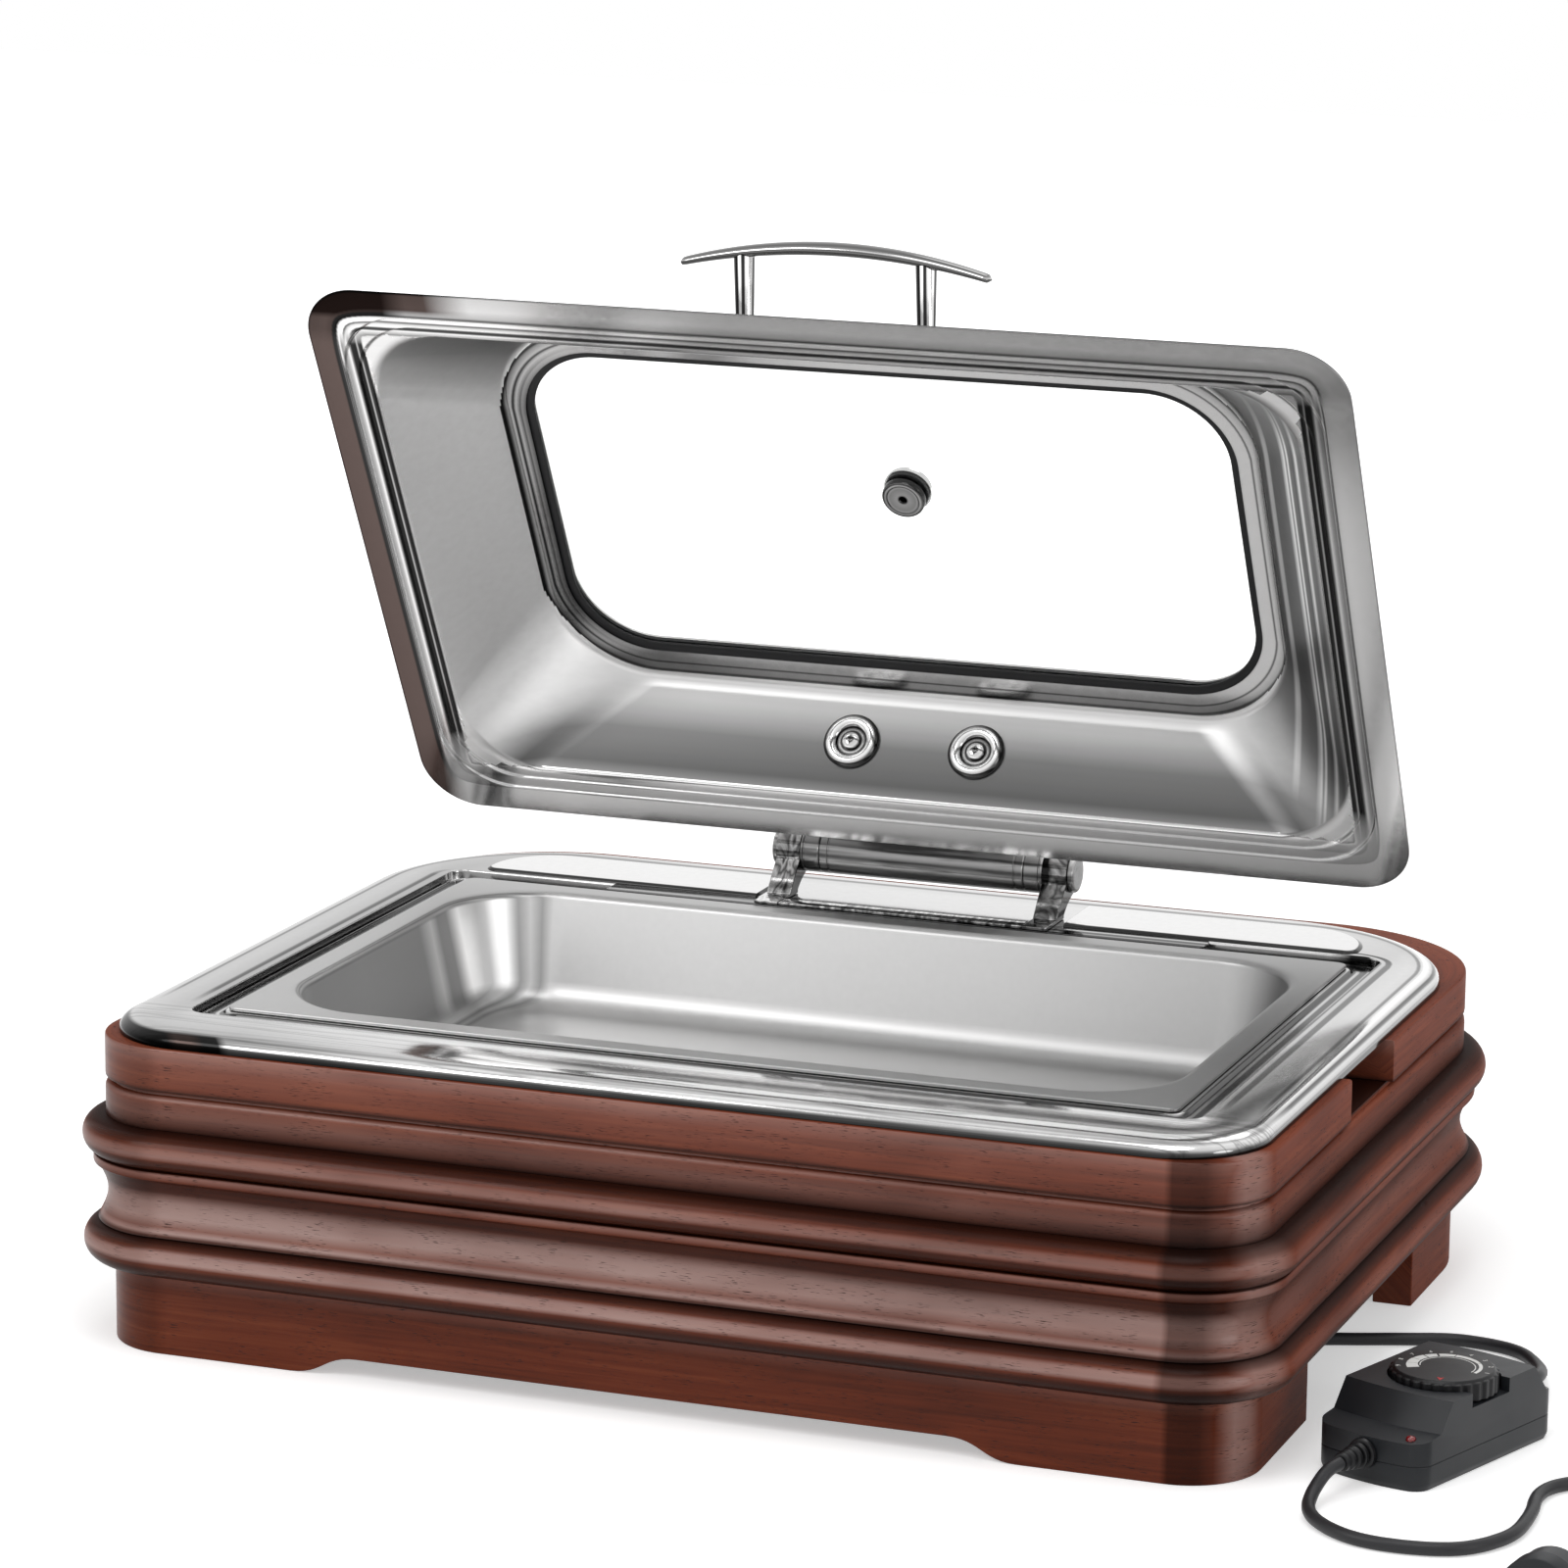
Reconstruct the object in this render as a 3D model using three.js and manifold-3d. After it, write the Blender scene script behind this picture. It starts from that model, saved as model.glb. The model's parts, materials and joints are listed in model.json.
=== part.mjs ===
// Electric chafing dish: a full-size food pan over a water pan, in a stainless frame with a hinged
// window lid, standing in a stacked wooden base with a heater, and a corded temperature controller.
// Millimetres, X to the right, Y to the back, Z up. The origin is the centre of the base's underside.

import * as THREE from "three";
import { mergeVertices } from "three/addons/utils/BufferGeometryUtils.js";
import Module from "manifold-3d";

const wasm = await Module();
wasm.setup();

// Sizes shared by all pieces
const seat = 0.3; // air between pieces that touch
const overrun = 30; // how far a cutter runs past the piece that it cuts
const tightest = 1; // least corner radius of an outline
const cornerSteps = 5;
const beadSteps = 7;
const coveSteps = 6;
const bandSteps = 3;
const turnedSides = 20;
const smallSides = 12;
const cutterSides = 16;

// Food pan, a standard full-size pan
const foodPan = {
  width: 530,
  depth: 325,
  height: 65,
  rimRadius: 5,
  rimThickness: 1.9,
  rimWidth: 14,
  sheet: 1,
  mouthRadius: 45,
  mouthRounding: 3,
  taper: 14,
  floorRounding: 12,
  lift: 0.2, // rim underside above the water pan's ledge, past the seat
};

// Wooden base, from the table up; it keeps its margins round the pan
const base = {
  sideMargin: 54,
  frontMargin: 58.1,
  rearMargin: 119.9,
  wall: 22,
  frontRadius: 40,
  rearRadius: 96,
  plinthHeight: 45,
  lowerBeadHeight: 22,
  coveHeight: 37,
  upperBeadHeight: 21,
  bandHeight: 21,
  railHeight: 23,
  beadReach: 17,
  coveReach: 9,
  coveWaist: 3.4,
  coveLipHeight: 5,
  coveLipReach: 11,
  bandReach: 4,
  bandRounding: 4,
  grooveHeight: 2.5,
  railReach: 4,
  railRounding: 1.5,
  railRearWidth: 42,
  railInnerFrontRadius: 18,
  railInnerRearRadius: 80,
};
const baseWidth = foodPan.width + 2 * base.sideMargin;
const baseDepth = foodPan.depth + base.frontMargin + base.rearMargin;
const panCentre = (base.frontMargin - base.rearMargin) / 2;
const arch = { halfWidth: 202, rise: 10.5, ogee: 25 };
const sideOpening = { front: -127.5, rear: 83.7 };
const handNotch = { front: -71.4, rear: 13.4 };

// Water pan under it
const waterPan = {
  height: 100,
  sheet: 1.3,
  rimReach: 12,
  ledgeReach: 3,
  ledgeInset: 7,
  ledgeRise: 2,
  radius: 12,
  mouthRadius: 30,
  taper: 16,
  floorRounding: 12,
};

// Stainless frame
const frame = {
  sheet: 1.5,
  height: 9,
  lipInsetSide: 5,
  lipInsetFront: 2.5,
  lipInsetRear: 33.5,
  roundingSide: 11,
  roundingFront: 12.7,
  roundingRear: 8.8,
  lipFrontRadius: 50,
  lipRearRadius: 106,
  borderFrontRadius: 44,
  borderRearRadius: 100,
  lipThickness: 1.5,
  recessReach: 16,
  recessDepth: 6,
  recessRadius: 10,
  recessRounding: 1.2,
  innerEdgeInset: 1,
  panelHalfWidth: 264,
  panelRaise: 1.6,
  panelGap: 2.5,
  panelRearInset: 13,
  panelFrontRadius: 8,
  panelRearRadius: 48,
  panelSlope: 2,
  saddleHalfWidth: 93,
  tongueHalfWidth: 180,
  tongueGap: 2.1,
  tongueRadius: 2,
};
const skinSteps = 4;

// Hinge: two brackets, a pin, and the lid's barrel between two rings
const hinge = {
  axisInset: 31.2, // ahead of the border's rear edge
  axisRise: 23.5, // above the border
  barrelRadius: 13,
  barrelHalfLength: 62,
  ringHalfLength: 73.5,
  halfLength: 88,
  pinRadius: 4.7,
  footDepth: 34,
  footThickness: 1.9,
  footToe: 20.8,
  stripDepth: 11,
  neckFrontAngle: 200,
  neckRearAngle: -60,
  capRadius: 11,
  capThickness: 3.5,
  capDome: 2,
  screwInset: 15,
  screwHead: 3.4,
  screwShank: 1.6,
  screwLength: 8,
};

// Lid, in its own frame: its rim plane at z = 0, centred, closed
const lid = {
  width: 593.5,
  depth: 371.8,
  openAngle: 61.03,
  edgeAhead: 29.2, // rear edge ahead of the hinge axis
  rimLift: 2.6, // closed rim above the frame's border
  sheet: 1.2,
  radius: 33,
  flangeWidth: 16.7,
  flangeRadius: 40,
  stepWidth: 7.9,
  stepRise: 1.3,
  stepSlope: 1,
  innerStepWidth: 5,
  wallInset: 31,
  wallRadius: 46,
  wallFoot: 1.6,
  height: 60,
  shoulder: 4,
  shoulderRadius: 62,
};

// Window in the lid
const glazing = {
  halfWidth: 203.5,
  halfDepth: 102.5,
  radius: 45,
  gasketLip: 4.5,
  lipThickness: 1.5,
  glassThickness: 4,
  glassBite: 10,
  gasketWeb: 2.7,
  upperLipInset: 2,
  domeRise: 23,
  trimReach: 6,
  trimThickness: 1.5,
  ringWidthSide: 20,
  ringWidthFront: 26.5,
};
const domeShares = [0, 0.15, 0.38, 0.62, 0.84, 1];

// Steam vent at the middle of the window
const vent = {
  discRadius: 12.5,
  discThickness: 4,
  stemRadius: 5,
  boreRadius: 2,
  holeGap: 0.5,
  glassGap: 0.6,
  sealThickness: 2,
  sealRadius: 13,
  capRadius: 14,
  capHeight: 6,
  capTopRadius: 10,
};

// Hinge leaf on the outside of the lid's rear wall
const leaf = {
  halfWidth: 55,
  thickness: 2.5,
  plateStartShare: 0.14,
  plateEndShare: 0.84,
  armUpperShare: 0.62,
  armLowerShare: 0.4,
  armUpperAtBarrel: 9,
  armLowerAtBarrel: -4,
  screwSpacing: 75,
  screwHeight: 33,
  screwShank: 2.4,
  washerRadius: 12.5,
  washerRise: 4.2,
  washerWell: 6.5,
  washerRim: 1.2,
  headRadius: 5.4,
  headThickness: 2.6,
};

// Lid handle, square to the front wall
const handle = {
  height: 30.5,
  postSpacing: 104,
  postLength: 43,
  postRadiusWall: 4.75,
  postRadiusBar: 5.4,
  footRadius: 6.5,
  footThickness: 1.6,
  barHalfLength: 89,
  crown: 17,
  crownThickness: 6,
  endThickness: 2.5,
  crownWidth: 13,
  endWidth: 8,
  screwRadius: 2.4,
  screwDepth: 14,
  headRadius: 6,
  headThickness: 2.6,
};
const barSteps = 16;
const barSides = 10;

// Heater under the water pan
const heater = {
  plateWidth: 340,
  plateDepth: 200,
  plateThickness: 4,
  plateRadius: 18,
  coverInset: 5,
  coverHeight: 7.1,
  coverSheet: 1,
  elementDiameter: 5.2,
  elementHalfWidth: 135,
  elementHalfDepth: 68,
  elementLoopRadius: 22,
  railWidth: 22,
  railSheet: 2,
  railSpacing: 150,
  railTab: 14,
  boxWidth: 62,
  boxDepth: 58,
  boxHeight: 24,
  boxFromCentre: 105,
  boxRounding: 4,
  cutoutRadius: 9,
  cutoutHeight: 7,
  cutoutFromCentre: -60,
  glandRadius: 8,
  glandLength: 16,
  glandHexRadius: 10,
  glandHexLength: 5,
  glandChamfer: 1.2,
};

const elementSides = 6;
const elementSteps = 32;

// Temperature controller, in its own frame: long side along X, dial notch towards -Y
const controller = {
  fromBase: 57,
  y: -150,
  turn: 71,
  length: 130,
  width: 65,
  height: 42,
  seam: 13,
  wall: 2.2,
  cornerRadius: 9,
  footInset: 1.6,
  footRise: 3,
  shoulderHeight: 27.5,
  leftShoulder: 17,
  leftSlope: 11,
  rightShoulder: 9,
  rightSlope: 12,
  shoulderFall: 2.5,
  dialRadius: 28,
  dialOffset: -4,
  dialHeight: 11,
  dialRise: 4.5,
  dialTopInset: 2.2,
  dialTopRise: 1.4,
  dialGap: 1,
  dialTeeth: 30,
  toothDepth: 0.9,
  notchHalfWidth: 17,
  pocketWall: 2,
  shaftRadius: 3,
  boardThickness: 1.6,
  boardHeight: 16,
  boardInset: 9,
  bossRadius: 3,
  bossInset: 16,
  potRadius: 9,
  potHeight: 10,
  lampRadius: 2.5,
  lampInsetX: 8,
  lampInsetY: 10,
  lampRise: 1.6,
  lampDepth: 4,
  reliefHeight: 16,
  reliefBody: 6,
  reliefCollar: 8,
  reliefCollarLength: 3,
  reliefRib: 5.4,
  reliefNeck: 4.4,
  reliefEnd: 4.2,
  reliefLength: 21,
  reliefInside: 6,
};
const reliefRibs = 4;
const reliefSides = 10;

// Cords
const cord = { diameter: 7, tableGap: 0.1 };
const cordSides = 8;
const heaterLeadSteps = 38;
const mainsLeadSteps = 32;
const plugLeadSteps = 12;

// Coil of the mains cord and its plug, past the right edge of the picture
const coil = {
  fromController: 197,
  y: -235,
  innerRadius: 44,
  pitch: 7.7,
  layerRise: 7.6,
  loopsPerLayer: 2.5,
};
const coilLoopSteps = 24;
const coilSides = 6;
const plug = {
  bodyRadius: 18,
  bodyLength: 22,
  faceRadius: 19,
  faceLength: 12,
  neckRadius: 8,
  neckLength: 22,
  endRadius: 5,
  pinRadius: 2.4,
  pinLength: 19,
  pinSpacing: 19,
  pinRounding: 0.8,
  reach: 95, // from the coil, along its lead
};
// Along the lead and up from the coil to the plug
const plugLeadShares = [
  [0, 0],
  [0.08, 0],
  [0.5, 0.5],
  [0.92, 1],
  [1, 1],
];

// Levels worked out from the stack
const plinthTop = base.plinthHeight;
const lowerBeadTop = plinthTop + base.lowerBeadHeight;
const coveTop = lowerBeadTop + base.coveHeight;
const upperBeadTop = coveTop + base.upperBeadHeight;
const bandTop = upperBeadTop + base.bandHeight;
const railTop = bandTop + base.railHeight;
const lipBottom = railTop + seat;
const borderTop = lipBottom + frame.height;
const recessFloor = borderTop - frame.recessDepth;
const waterRimBottom = recessFloor + seat;
const waterRimTop = waterRimBottom + waterPan.sheet;
const ledgeTop = waterRimTop + waterPan.ledgeRise;
const waterFloor = ledgeTop - waterPan.height;
const foodRimBottom = ledgeTop + seat + foodPan.lift;
const foodRimTop = foodRimBottom + foodPan.rimThickness;
const foodFloor = foodRimTop - foodPan.height;
const axisZ = borderTop + hinge.axisRise;

const steel = (color, roughness) => new THREE.MeshStandardMaterial({ color, roughness, metalness: 1 });
const matt = (color, roughness) => new THREE.MeshStandardMaterial({ color, roughness, metalness: 0 });
const mahogany = matt(0x6e372d, 0.35);
const polished = steel(0xc9c9c9, 0.12);
const satin = steel(0xb4b4b4, 0.35);
const aluminium = steel(0xbfc2c4, 0.45);
const darkSteel = steel(0x55585a, 0.4);
const rubber = matt(0x141414, 0.7);
const charcoal = matt(0x2a2c2f, 0.5);
const dialBlack = matt(0x111111, 0.4);
const lampRed = matt(0x8a0f12, 0.2);
const boardGreen = matt(0x1d4a2c, 0.6);
const cordBlack = matt(0x1b1b1b, 0.6);
const clearGlass = new THREE.MeshStandardMaterial({
  color: 0xe8f2f0,
  roughness: 0.03,
  metalness: 0,
  transparent: true,
  opacity: 0.3,
});

// A closed triangle mesh with shared corners and its faces outwards
function closed(geometry) {
  const bare = geometry.clone();
  bare.deleteAttribute("normal");
  bare.deleteAttribute("uv");
  const merged = mergeVertices(bare);
  const place = merged.getAttribute("position");
  const corners = Array.from(merged.index.array);
  const kept = [];
  let volume = 0;
  const [a, b, c] = [new THREE.Vector3(), new THREE.Vector3(), new THREE.Vector3()];
  for (let i = 0; i < corners.length; i += 3) {
    const [p, q, r] = corners.slice(i, i + 3);
    if (p === q || q === r || r === p) continue;
    kept.push([p, q, r]);
    a.fromBufferAttribute(place, p);
    b.fromBufferAttribute(place, q);
    c.fromBufferAttribute(place, r);
    volume += a.dot(b.cross(c));
  }
  const turned = kept.map(([p, q, r]) => (volume < 0 ? [p, r, q] : [p, q, r]));
  return new THREE.BufferGeometry().setAttribute("position", place).setIndex(turned.flat());
}

function toSolid(geometry) {
  const mesh = closed(geometry);
  return new wasm.Manifold(
    new wasm.Mesh({
      numProp: 3,
      vertProperties: new Float32Array(mesh.getAttribute("position").array),
      triVerts: new Uint32Array(mesh.index.array),
    }),
  );
}

function toGeometry(solid) {
  const mesh = solid.getMesh();
  return new THREE.BufferGeometry()
    .setAttribute("position", new THREE.BufferAttribute(new Float32Array(mesh.vertProperties), 3))
    .setIndex(Array.from(mesh.triVerts));
}

function cut(geometry, ...tools) {
  return toGeometry(tools.reduce((solid, tool) => solid.subtract(toSolid(tool)), toSolid(geometry)));
}

function join(geometry, ...others) {
  return toGeometry(others.reduce((solid, other) => solid.add(toSolid(other)), toSolid(geometry)));
}

function common(geometry, other) {
  return toGeometry(toSolid(geometry).intersect(toSolid(other)));
}

// A rounded rectangle seen from above
function outline(halfWidth, front, rear, frontRadius, rearRadius) {
  return { halfWidth, front, rear, frontRadius, rearRadius };
}

function centred(halfWidth, halfDepth, radius, centre = 0) {
  return outline(halfWidth, centre - halfDepth, centre + halfDepth, radius, radius);
}

function grown(o, by) {
  return outline(
    o.halfWidth + by,
    o.front - by,
    o.rear + by,
    Math.max(o.frontRadius + by, tightest),
    Math.max(o.rearRadius + by, tightest),
  );
}

function withRadius(o, radius) {
  return outline(o.halfWidth, o.front, o.rear, radius, radius);
}

function between(from, to, share) {
  const mix = (key) => THREE.MathUtils.lerp(from[key], to[key], share);
  return outline(mix("halfWidth"), mix("front"), mix("rear"), mix("frontRadius"), mix("rearRadius"));
}

// The outline's points at one height, anticlockwise from above
function loop(o, z) {
  const corners = [
    [-o.halfWidth + o.frontRadius, o.front + o.frontRadius, o.frontRadius],
    [o.halfWidth - o.frontRadius, o.front + o.frontRadius, o.frontRadius],
    [o.halfWidth - o.rearRadius, o.rear - o.rearRadius, o.rearRadius],
    [-o.halfWidth + o.rearRadius, o.rear - o.rearRadius, o.rearRadius],
  ];
  const points = [];
  corners.forEach(([x, y, radius], quarter) => {
    for (let step = 0; step <= cornerSteps; step++) {
      const angle = Math.PI + ((quarter + step / cornerSteps) * Math.PI) / 2;
      points.push(new THREE.Vector3(x + radius * Math.cos(angle), y + radius * Math.sin(angle), z));
    }
  });
  return points;
}

// A skin through loops of equal counts: round on itself, or capped at both ends
function loft(loops, ring) {
  const count = loops[0].length;
  const points = loops.flat().flatMap((p) => [p.x, p.y, p.z]);
  const faces = [];
  const last = ring ? loops.length : loops.length - 1;
  for (let i = 0; i < last; i++) {
    const here = i * count;
    const next = ((i + 1) % loops.length) * count;
    for (let j = 0; j < count; j++) {
      const k = (j + 1) % count;
      faces.push(here + j, here + k, next + k, here + j, next + k, next + j);
    }
  }
  if (!ring) {
    [0, loops.length - 1].forEach((i) => {
      const middle = loops[i].reduce((sum, p) => sum.add(p), new THREE.Vector3()).divideScalar(count);
      const centre = points.length / 3;
      points.push(middle.x, middle.y, middle.z);
      for (let j = 0; j < count; j++) {
        const [p, q] = [i * count + j, i * count + ((j + 1) % count)];
        faces.push(...(i === 0 ? [centre, q, p] : [centre, p, q]));
      }
    });
  }
  return closed(
    new THREE.BufferGeometry()
      .setAttribute("position", new THREE.Float32BufferAttribute(points, 3))
      .setIndex(faces),
  );
}

// A ring of the given section: pairs of outline and height
const ringOf = (section) => loft(section.map(([o, z]) => loop(o, z)), true);
const bodyOf = (section) => loft(section.map(([o, z]) => loop(o, z)), false);

function block(x0, x1, y0, y1, z0, z1) {
  return new THREE.BoxGeometry(x1 - x0, y1 - y0, z1 - z0).translate(
    (x0 + x1) / 2,
    (y0 + y1) / 2,
    (z0 + z1) / 2,
  );
}

// A side profile in Y and Z, drawn out along X
function alongX(shape, x0, x1) {
  const axes = new THREE.Matrix4().makeBasis(
    new THREE.Vector3(0, 1, 0),
    new THREE.Vector3(0, 0, 1),
    new THREE.Vector3(1, 0, 0),
  );
  return new THREE.ExtrudeGeometry(shape, { depth: x1 - x0, bevelEnabled: false, curveSegments: 8 })
    .applyMatrix4(axes)
    .translate(x0, 0, 0);
}

// A front profile in X and Z, drawn out along Y
function alongY(shape, y0, y1) {
  const axes = new THREE.Matrix4().makeBasis(
    new THREE.Vector3(1, 0, 0),
    new THREE.Vector3(0, 0, 1),
    new THREE.Vector3(0, -1, 0),
  );
  return new THREE.ExtrudeGeometry(shape, { depth: y1 - y0, bevelEnabled: false, curveSegments: 8 })
    .applyMatrix4(axes)
    .translate(0, y1, 0);
}

// Turned pieces: pairs of radius and place along the axis
function turned(profile, sides = turnedSides) {
  return new THREE.LatheGeometry(
    profile.map(([radius, along]) => new THREE.Vector2(radius, along)),
    sides,
  );
}
const turnedZ = (profile, sides) => closed(turned(profile, sides).rotateX(Math.PI / 2));
const turnedX = (profile, sides) => closed(turned(profile, sides).rotateZ(-Math.PI / 2));

function rod(radius, from, to, sides = cutterSides) {
  return turnedZ([[0, from], [radius, from], [radius, to], [0, to]], sides);
}

function tubeSection(inner, outer, from, to) {
  return [[inner, from], [outer, from], [outer, to], [inner, to], [inner, from]];
}

function add(group, name, geometry, material) {
  const mesh = new THREE.Mesh(closed(geometry), material);
  mesh.name = name;
  group.add(mesh);
  return mesh;
}

// A group on a wall: its +Z points along the given direction in the Y-Z plane
function standing(x, y, z, alongY_, alongZ_) {
  const group = new THREE.Group();
  group.position.set(x, y, z);
  group.rotation.x = Math.atan2(-alongY_, alongZ_);
  group.updateMatrix();
  return group;
}

const dish = new THREE.Group();

// Wooden base
const baseOutline = outline(
  baseWidth / 2,
  -baseDepth / 2,
  baseDepth / 2,
  base.frontRadius,
  base.rearRadius,
);
const moulding = (section) => ringOf(section.map(([reach, z]) => [grown(baseOutline, reach), z]));

function beadSection(bottom, top) {
  const radius = (top - bottom) / 2;
  const section = [[-base.wall, bottom]];
  for (let step = 0; step <= beadSteps; step++) {
    const angle = (step / beadSteps - 1 / 2) * Math.PI;
    section.push([
      base.beadReach - radius + radius * Math.cos(angle),
      bottom + radius + radius * Math.sin(angle),
    ]);
  }
  section.push([-base.wall, top]);
  return section;
}

function coveSection(bottom, top) {
  const coveEnd = top - base.coveLipHeight;
  const section = [[-base.wall, bottom]];
  for (let step = 0; step <= coveSteps; step++) {
    const share = step / coveSteps;
    const bow = Math.sin(share * Math.PI);
    section.push([
      base.coveReach - (base.coveReach - base.coveWaist) * bow,
      THREE.MathUtils.lerp(bottom, coveEnd, share),
    ]);
  }
  section.push([base.coveLipReach, coveEnd], [base.coveLipReach, top], [-base.wall, top]);
  return section;
}

function bandSection(bottom, top) {
  const grooveBottom = top - base.grooveHeight;
  const section = [[-base.wall, bottom], [base.bandReach, bottom]];
  for (let step = 0; step <= bandSteps; step++) {
    const angle = ((step / bandSteps) * Math.PI) / 2;
    section.push([
      base.bandReach - base.bandRounding * (1 - Math.cos(angle)),
      grooveBottom - base.bandRounding * (1 - Math.sin(angle)),
    ]);
  }
  section.push([0, top], [-base.wall, top]);
  return section;
}

// The top rail is wider at the back, where the frame's lip lies further in
function railBody(bottom, top) {
  const inside = outline(
    baseWidth / 2 - base.wall,
    -baseDepth / 2 + base.wall,
    baseDepth / 2 - base.railRearWidth,
    base.railInnerFrontRadius,
    base.railInnerRearRadius,
  );
  const outside = grown(baseOutline, base.railReach);
  return ringOf([
    [inside, bottom],
    [outside, bottom],
    [outside, top - base.railRounding],
    [grown(outside, -base.railRounding), top],
    [inside, top],
  ]);
}

// Everything in front of, or behind, a crosswise plane
const farX = baseWidth;
const farY = baseDepth;
const behind = (y, z0, z1) => block(-farX, farX, y, farY, z0 - overrun, z1 + overrun);
const ahead = (y, z0, z1) => block(-farX, farX, -farY, y, z0 - overrun, z1 + overrun);

function archShape() {
  const shape = new THREE.Shape();
  const [outer, inner, rise] = [arch.halfWidth, arch.halfWidth - arch.ogee, arch.rise];
  const middle = (outer + inner) / 2;
  shape.moveTo(-outer, -overrun);
  shape.lineTo(-outer, 0);
  shape.bezierCurveTo(-middle, 0, -middle, rise, -inner, rise);
  shape.lineTo(inner, rise);
  shape.bezierCurveTo(middle, rise, middle, 0, outer, 0);
  shape.lineTo(outer, -overrun);
  return shape;
}

const plinth = moulding([
  [-base.wall, 0],
  [0, 0],
  [0, plinthTop - seat],
  [-base.wall, plinthTop - seat],
]);
const archCutter = alongY(archShape(), -farY, farY);
const plinthFront = cut(plinth, archCutter, behind(sideOpening.front, 0, plinthTop));
const plinthRear = cut(plinth, archCutter, ahead(sideOpening.rear, 0, plinthTop));
add(dish, "wood_plinth_front", plinthFront, mahogany);
add(dish, "wood_plinth_rear", plinthRear, mahogany);
add(dish, "wood_lower_bead", moulding(beadSection(plinthTop, lowerBeadTop - seat)), mahogany);
add(dish, "wood_cove", moulding(coveSection(lowerBeadTop, coveTop - seat)), mahogany);
add(dish, "wood_upper_bead", moulding(beadSection(coveTop, upperBeadTop - seat)), mahogany);
add(dish, "wood_band", moulding(bandSection(upperBeadTop, bandTop - seat)), mahogany);
const rail = railBody(bandTop, railTop);
add(dish, "wood_rail_front", cut(rail, behind(handNotch.front, bandTop, railTop)), mahogany);
add(dish, "wood_rail_rear", cut(rail, ahead(handNotch.rear, bandTop, railTop)), mahogany);

// Stainless frame
const railHalfWidth = baseWidth / 2 + base.railReach;
const railHalfDepth = baseDepth / 2 + base.railReach;
const lipOutline = outline(
  railHalfWidth - frame.lipInsetSide,
  -railHalfDepth + frame.lipInsetFront,
  railHalfDepth - frame.lipInsetRear,
  frame.lipFrontRadius,
  frame.lipRearRadius,
);
const borderOutline = outline(
  lipOutline.halfWidth - frame.roundingSide,
  lipOutline.front + frame.roundingFront,
  lipOutline.rear - frame.roundingRear,
  frame.borderFrontRadius,
  frame.borderRearRadius,
);
const foodRim = centred(foodPan.width / 2, foodPan.depth / 2, foodPan.rimRadius, panCentre);
const recess = withRadius(grown(foodRim, frame.recessReach), frame.recessRadius);
const innerEdge = withRadius(grown(foodRim, -frame.innerEdgeInset), frame.recessRadius);

function frameSection() {
  const { sheet, recessRounding } = frame;
  const section = [];
  const lipTop = lipBottom + frame.lipThickness;
  for (let step = 0; step <= skinSteps; step++) {
    const angle = ((1 - step / skinSteps) * Math.PI) / 2;
    const o = between(borderOutline, lipOutline, Math.sin(angle));
    section.push([o, THREE.MathUtils.lerp(lipTop, borderTop, Math.cos(angle))]);
  }
  const floorBottom = recessFloor - sheet;
  section.push(
    [grown(recess, recessRounding), borderTop],
    [recess, borderTop - recessRounding],
    [grown(recess, -recessRounding / 2), recessFloor + recessRounding],
    [grown(recess, -recessRounding * 2), recessFloor],
    [innerEdge, recessFloor],
    [innerEdge, floorBottom],
    [grown(recess, -recessRounding), floorBottom],
    [grown(recess, sheet - recessRounding / 2), recessFloor],
    [grown(recess, sheet), borderTop - sheet],
  );
  for (let step = 0; step <= skinSteps; step++) {
    const angle = ((step / skinSteps) * Math.PI) / 2;
    const o = grown(between(borderOutline, lipOutline, Math.sin(angle)), -sheet);
    section.push([o, THREE.MathUtils.lerp(lipBottom, borderTop - sheet, Math.cos(angle))]);
  }
  section.push([lipOutline, lipBottom]);
  return section;
}

const panelOutline = outline(
  frame.panelHalfWidth,
  recess.rear + frame.panelGap,
  borderOutline.rear - frame.panelRearInset,
  frame.panelFrontRadius,
  frame.panelRearRadius,
);
const sheetBottom = borderTop - frame.sheet;
const panelTop = borderTop + frame.panelRaise;
const panelFoot = borderTop - frame.sheet / 2;
const panel = bodyOf([
  [panelOutline, panelFoot],
  [panelOutline, borderTop + frame.sheet / 3],
  [grown(panelOutline, -frame.panelSlope), panelTop],
]);
const saddle = block(
  -frame.saddleHalfWidth,
  frame.saddleHalfWidth,
  recess.rear,
  lipOutline.rear,
  panelFoot - overrun,
  panelTop + overrun,
);
const tongueFront = foodRim.rear + frame.tongueGap;
const tongueOutline = outline(
  frame.tongueHalfWidth,
  tongueFront,
  panelOutline.front,
  frame.tongueRadius,
  frame.tongueRadius,
);
const tongue = bodyOf([[tongueOutline, sheetBottom], [tongueOutline, borderTop]]);

// Hinge places
const axisY = borderOutline.rear - hinge.axisInset;
const footBottom = borderTop + seat;
const footTop = footBottom + hinge.footThickness;
const bracketMiddle = (hinge.ringHalfLength + hinge.halfLength) / 2;
const screwY = tongueFront + hinge.screwInset;
const screwCutter = (x) =>
  rod(hinge.screwShank + seat, sheetBottom - overrun, footTop + overrun, smallSides).translate(x, screwY, 0);

const deck = join(ringOf(frameSection()), cut(panel, saddle), tongue);
const steelFrame = cut(deck, screwCutter(-bracketMiddle), screwCutter(bracketMiddle));
add(dish, "steel_frame", steelFrame, polished);

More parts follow.
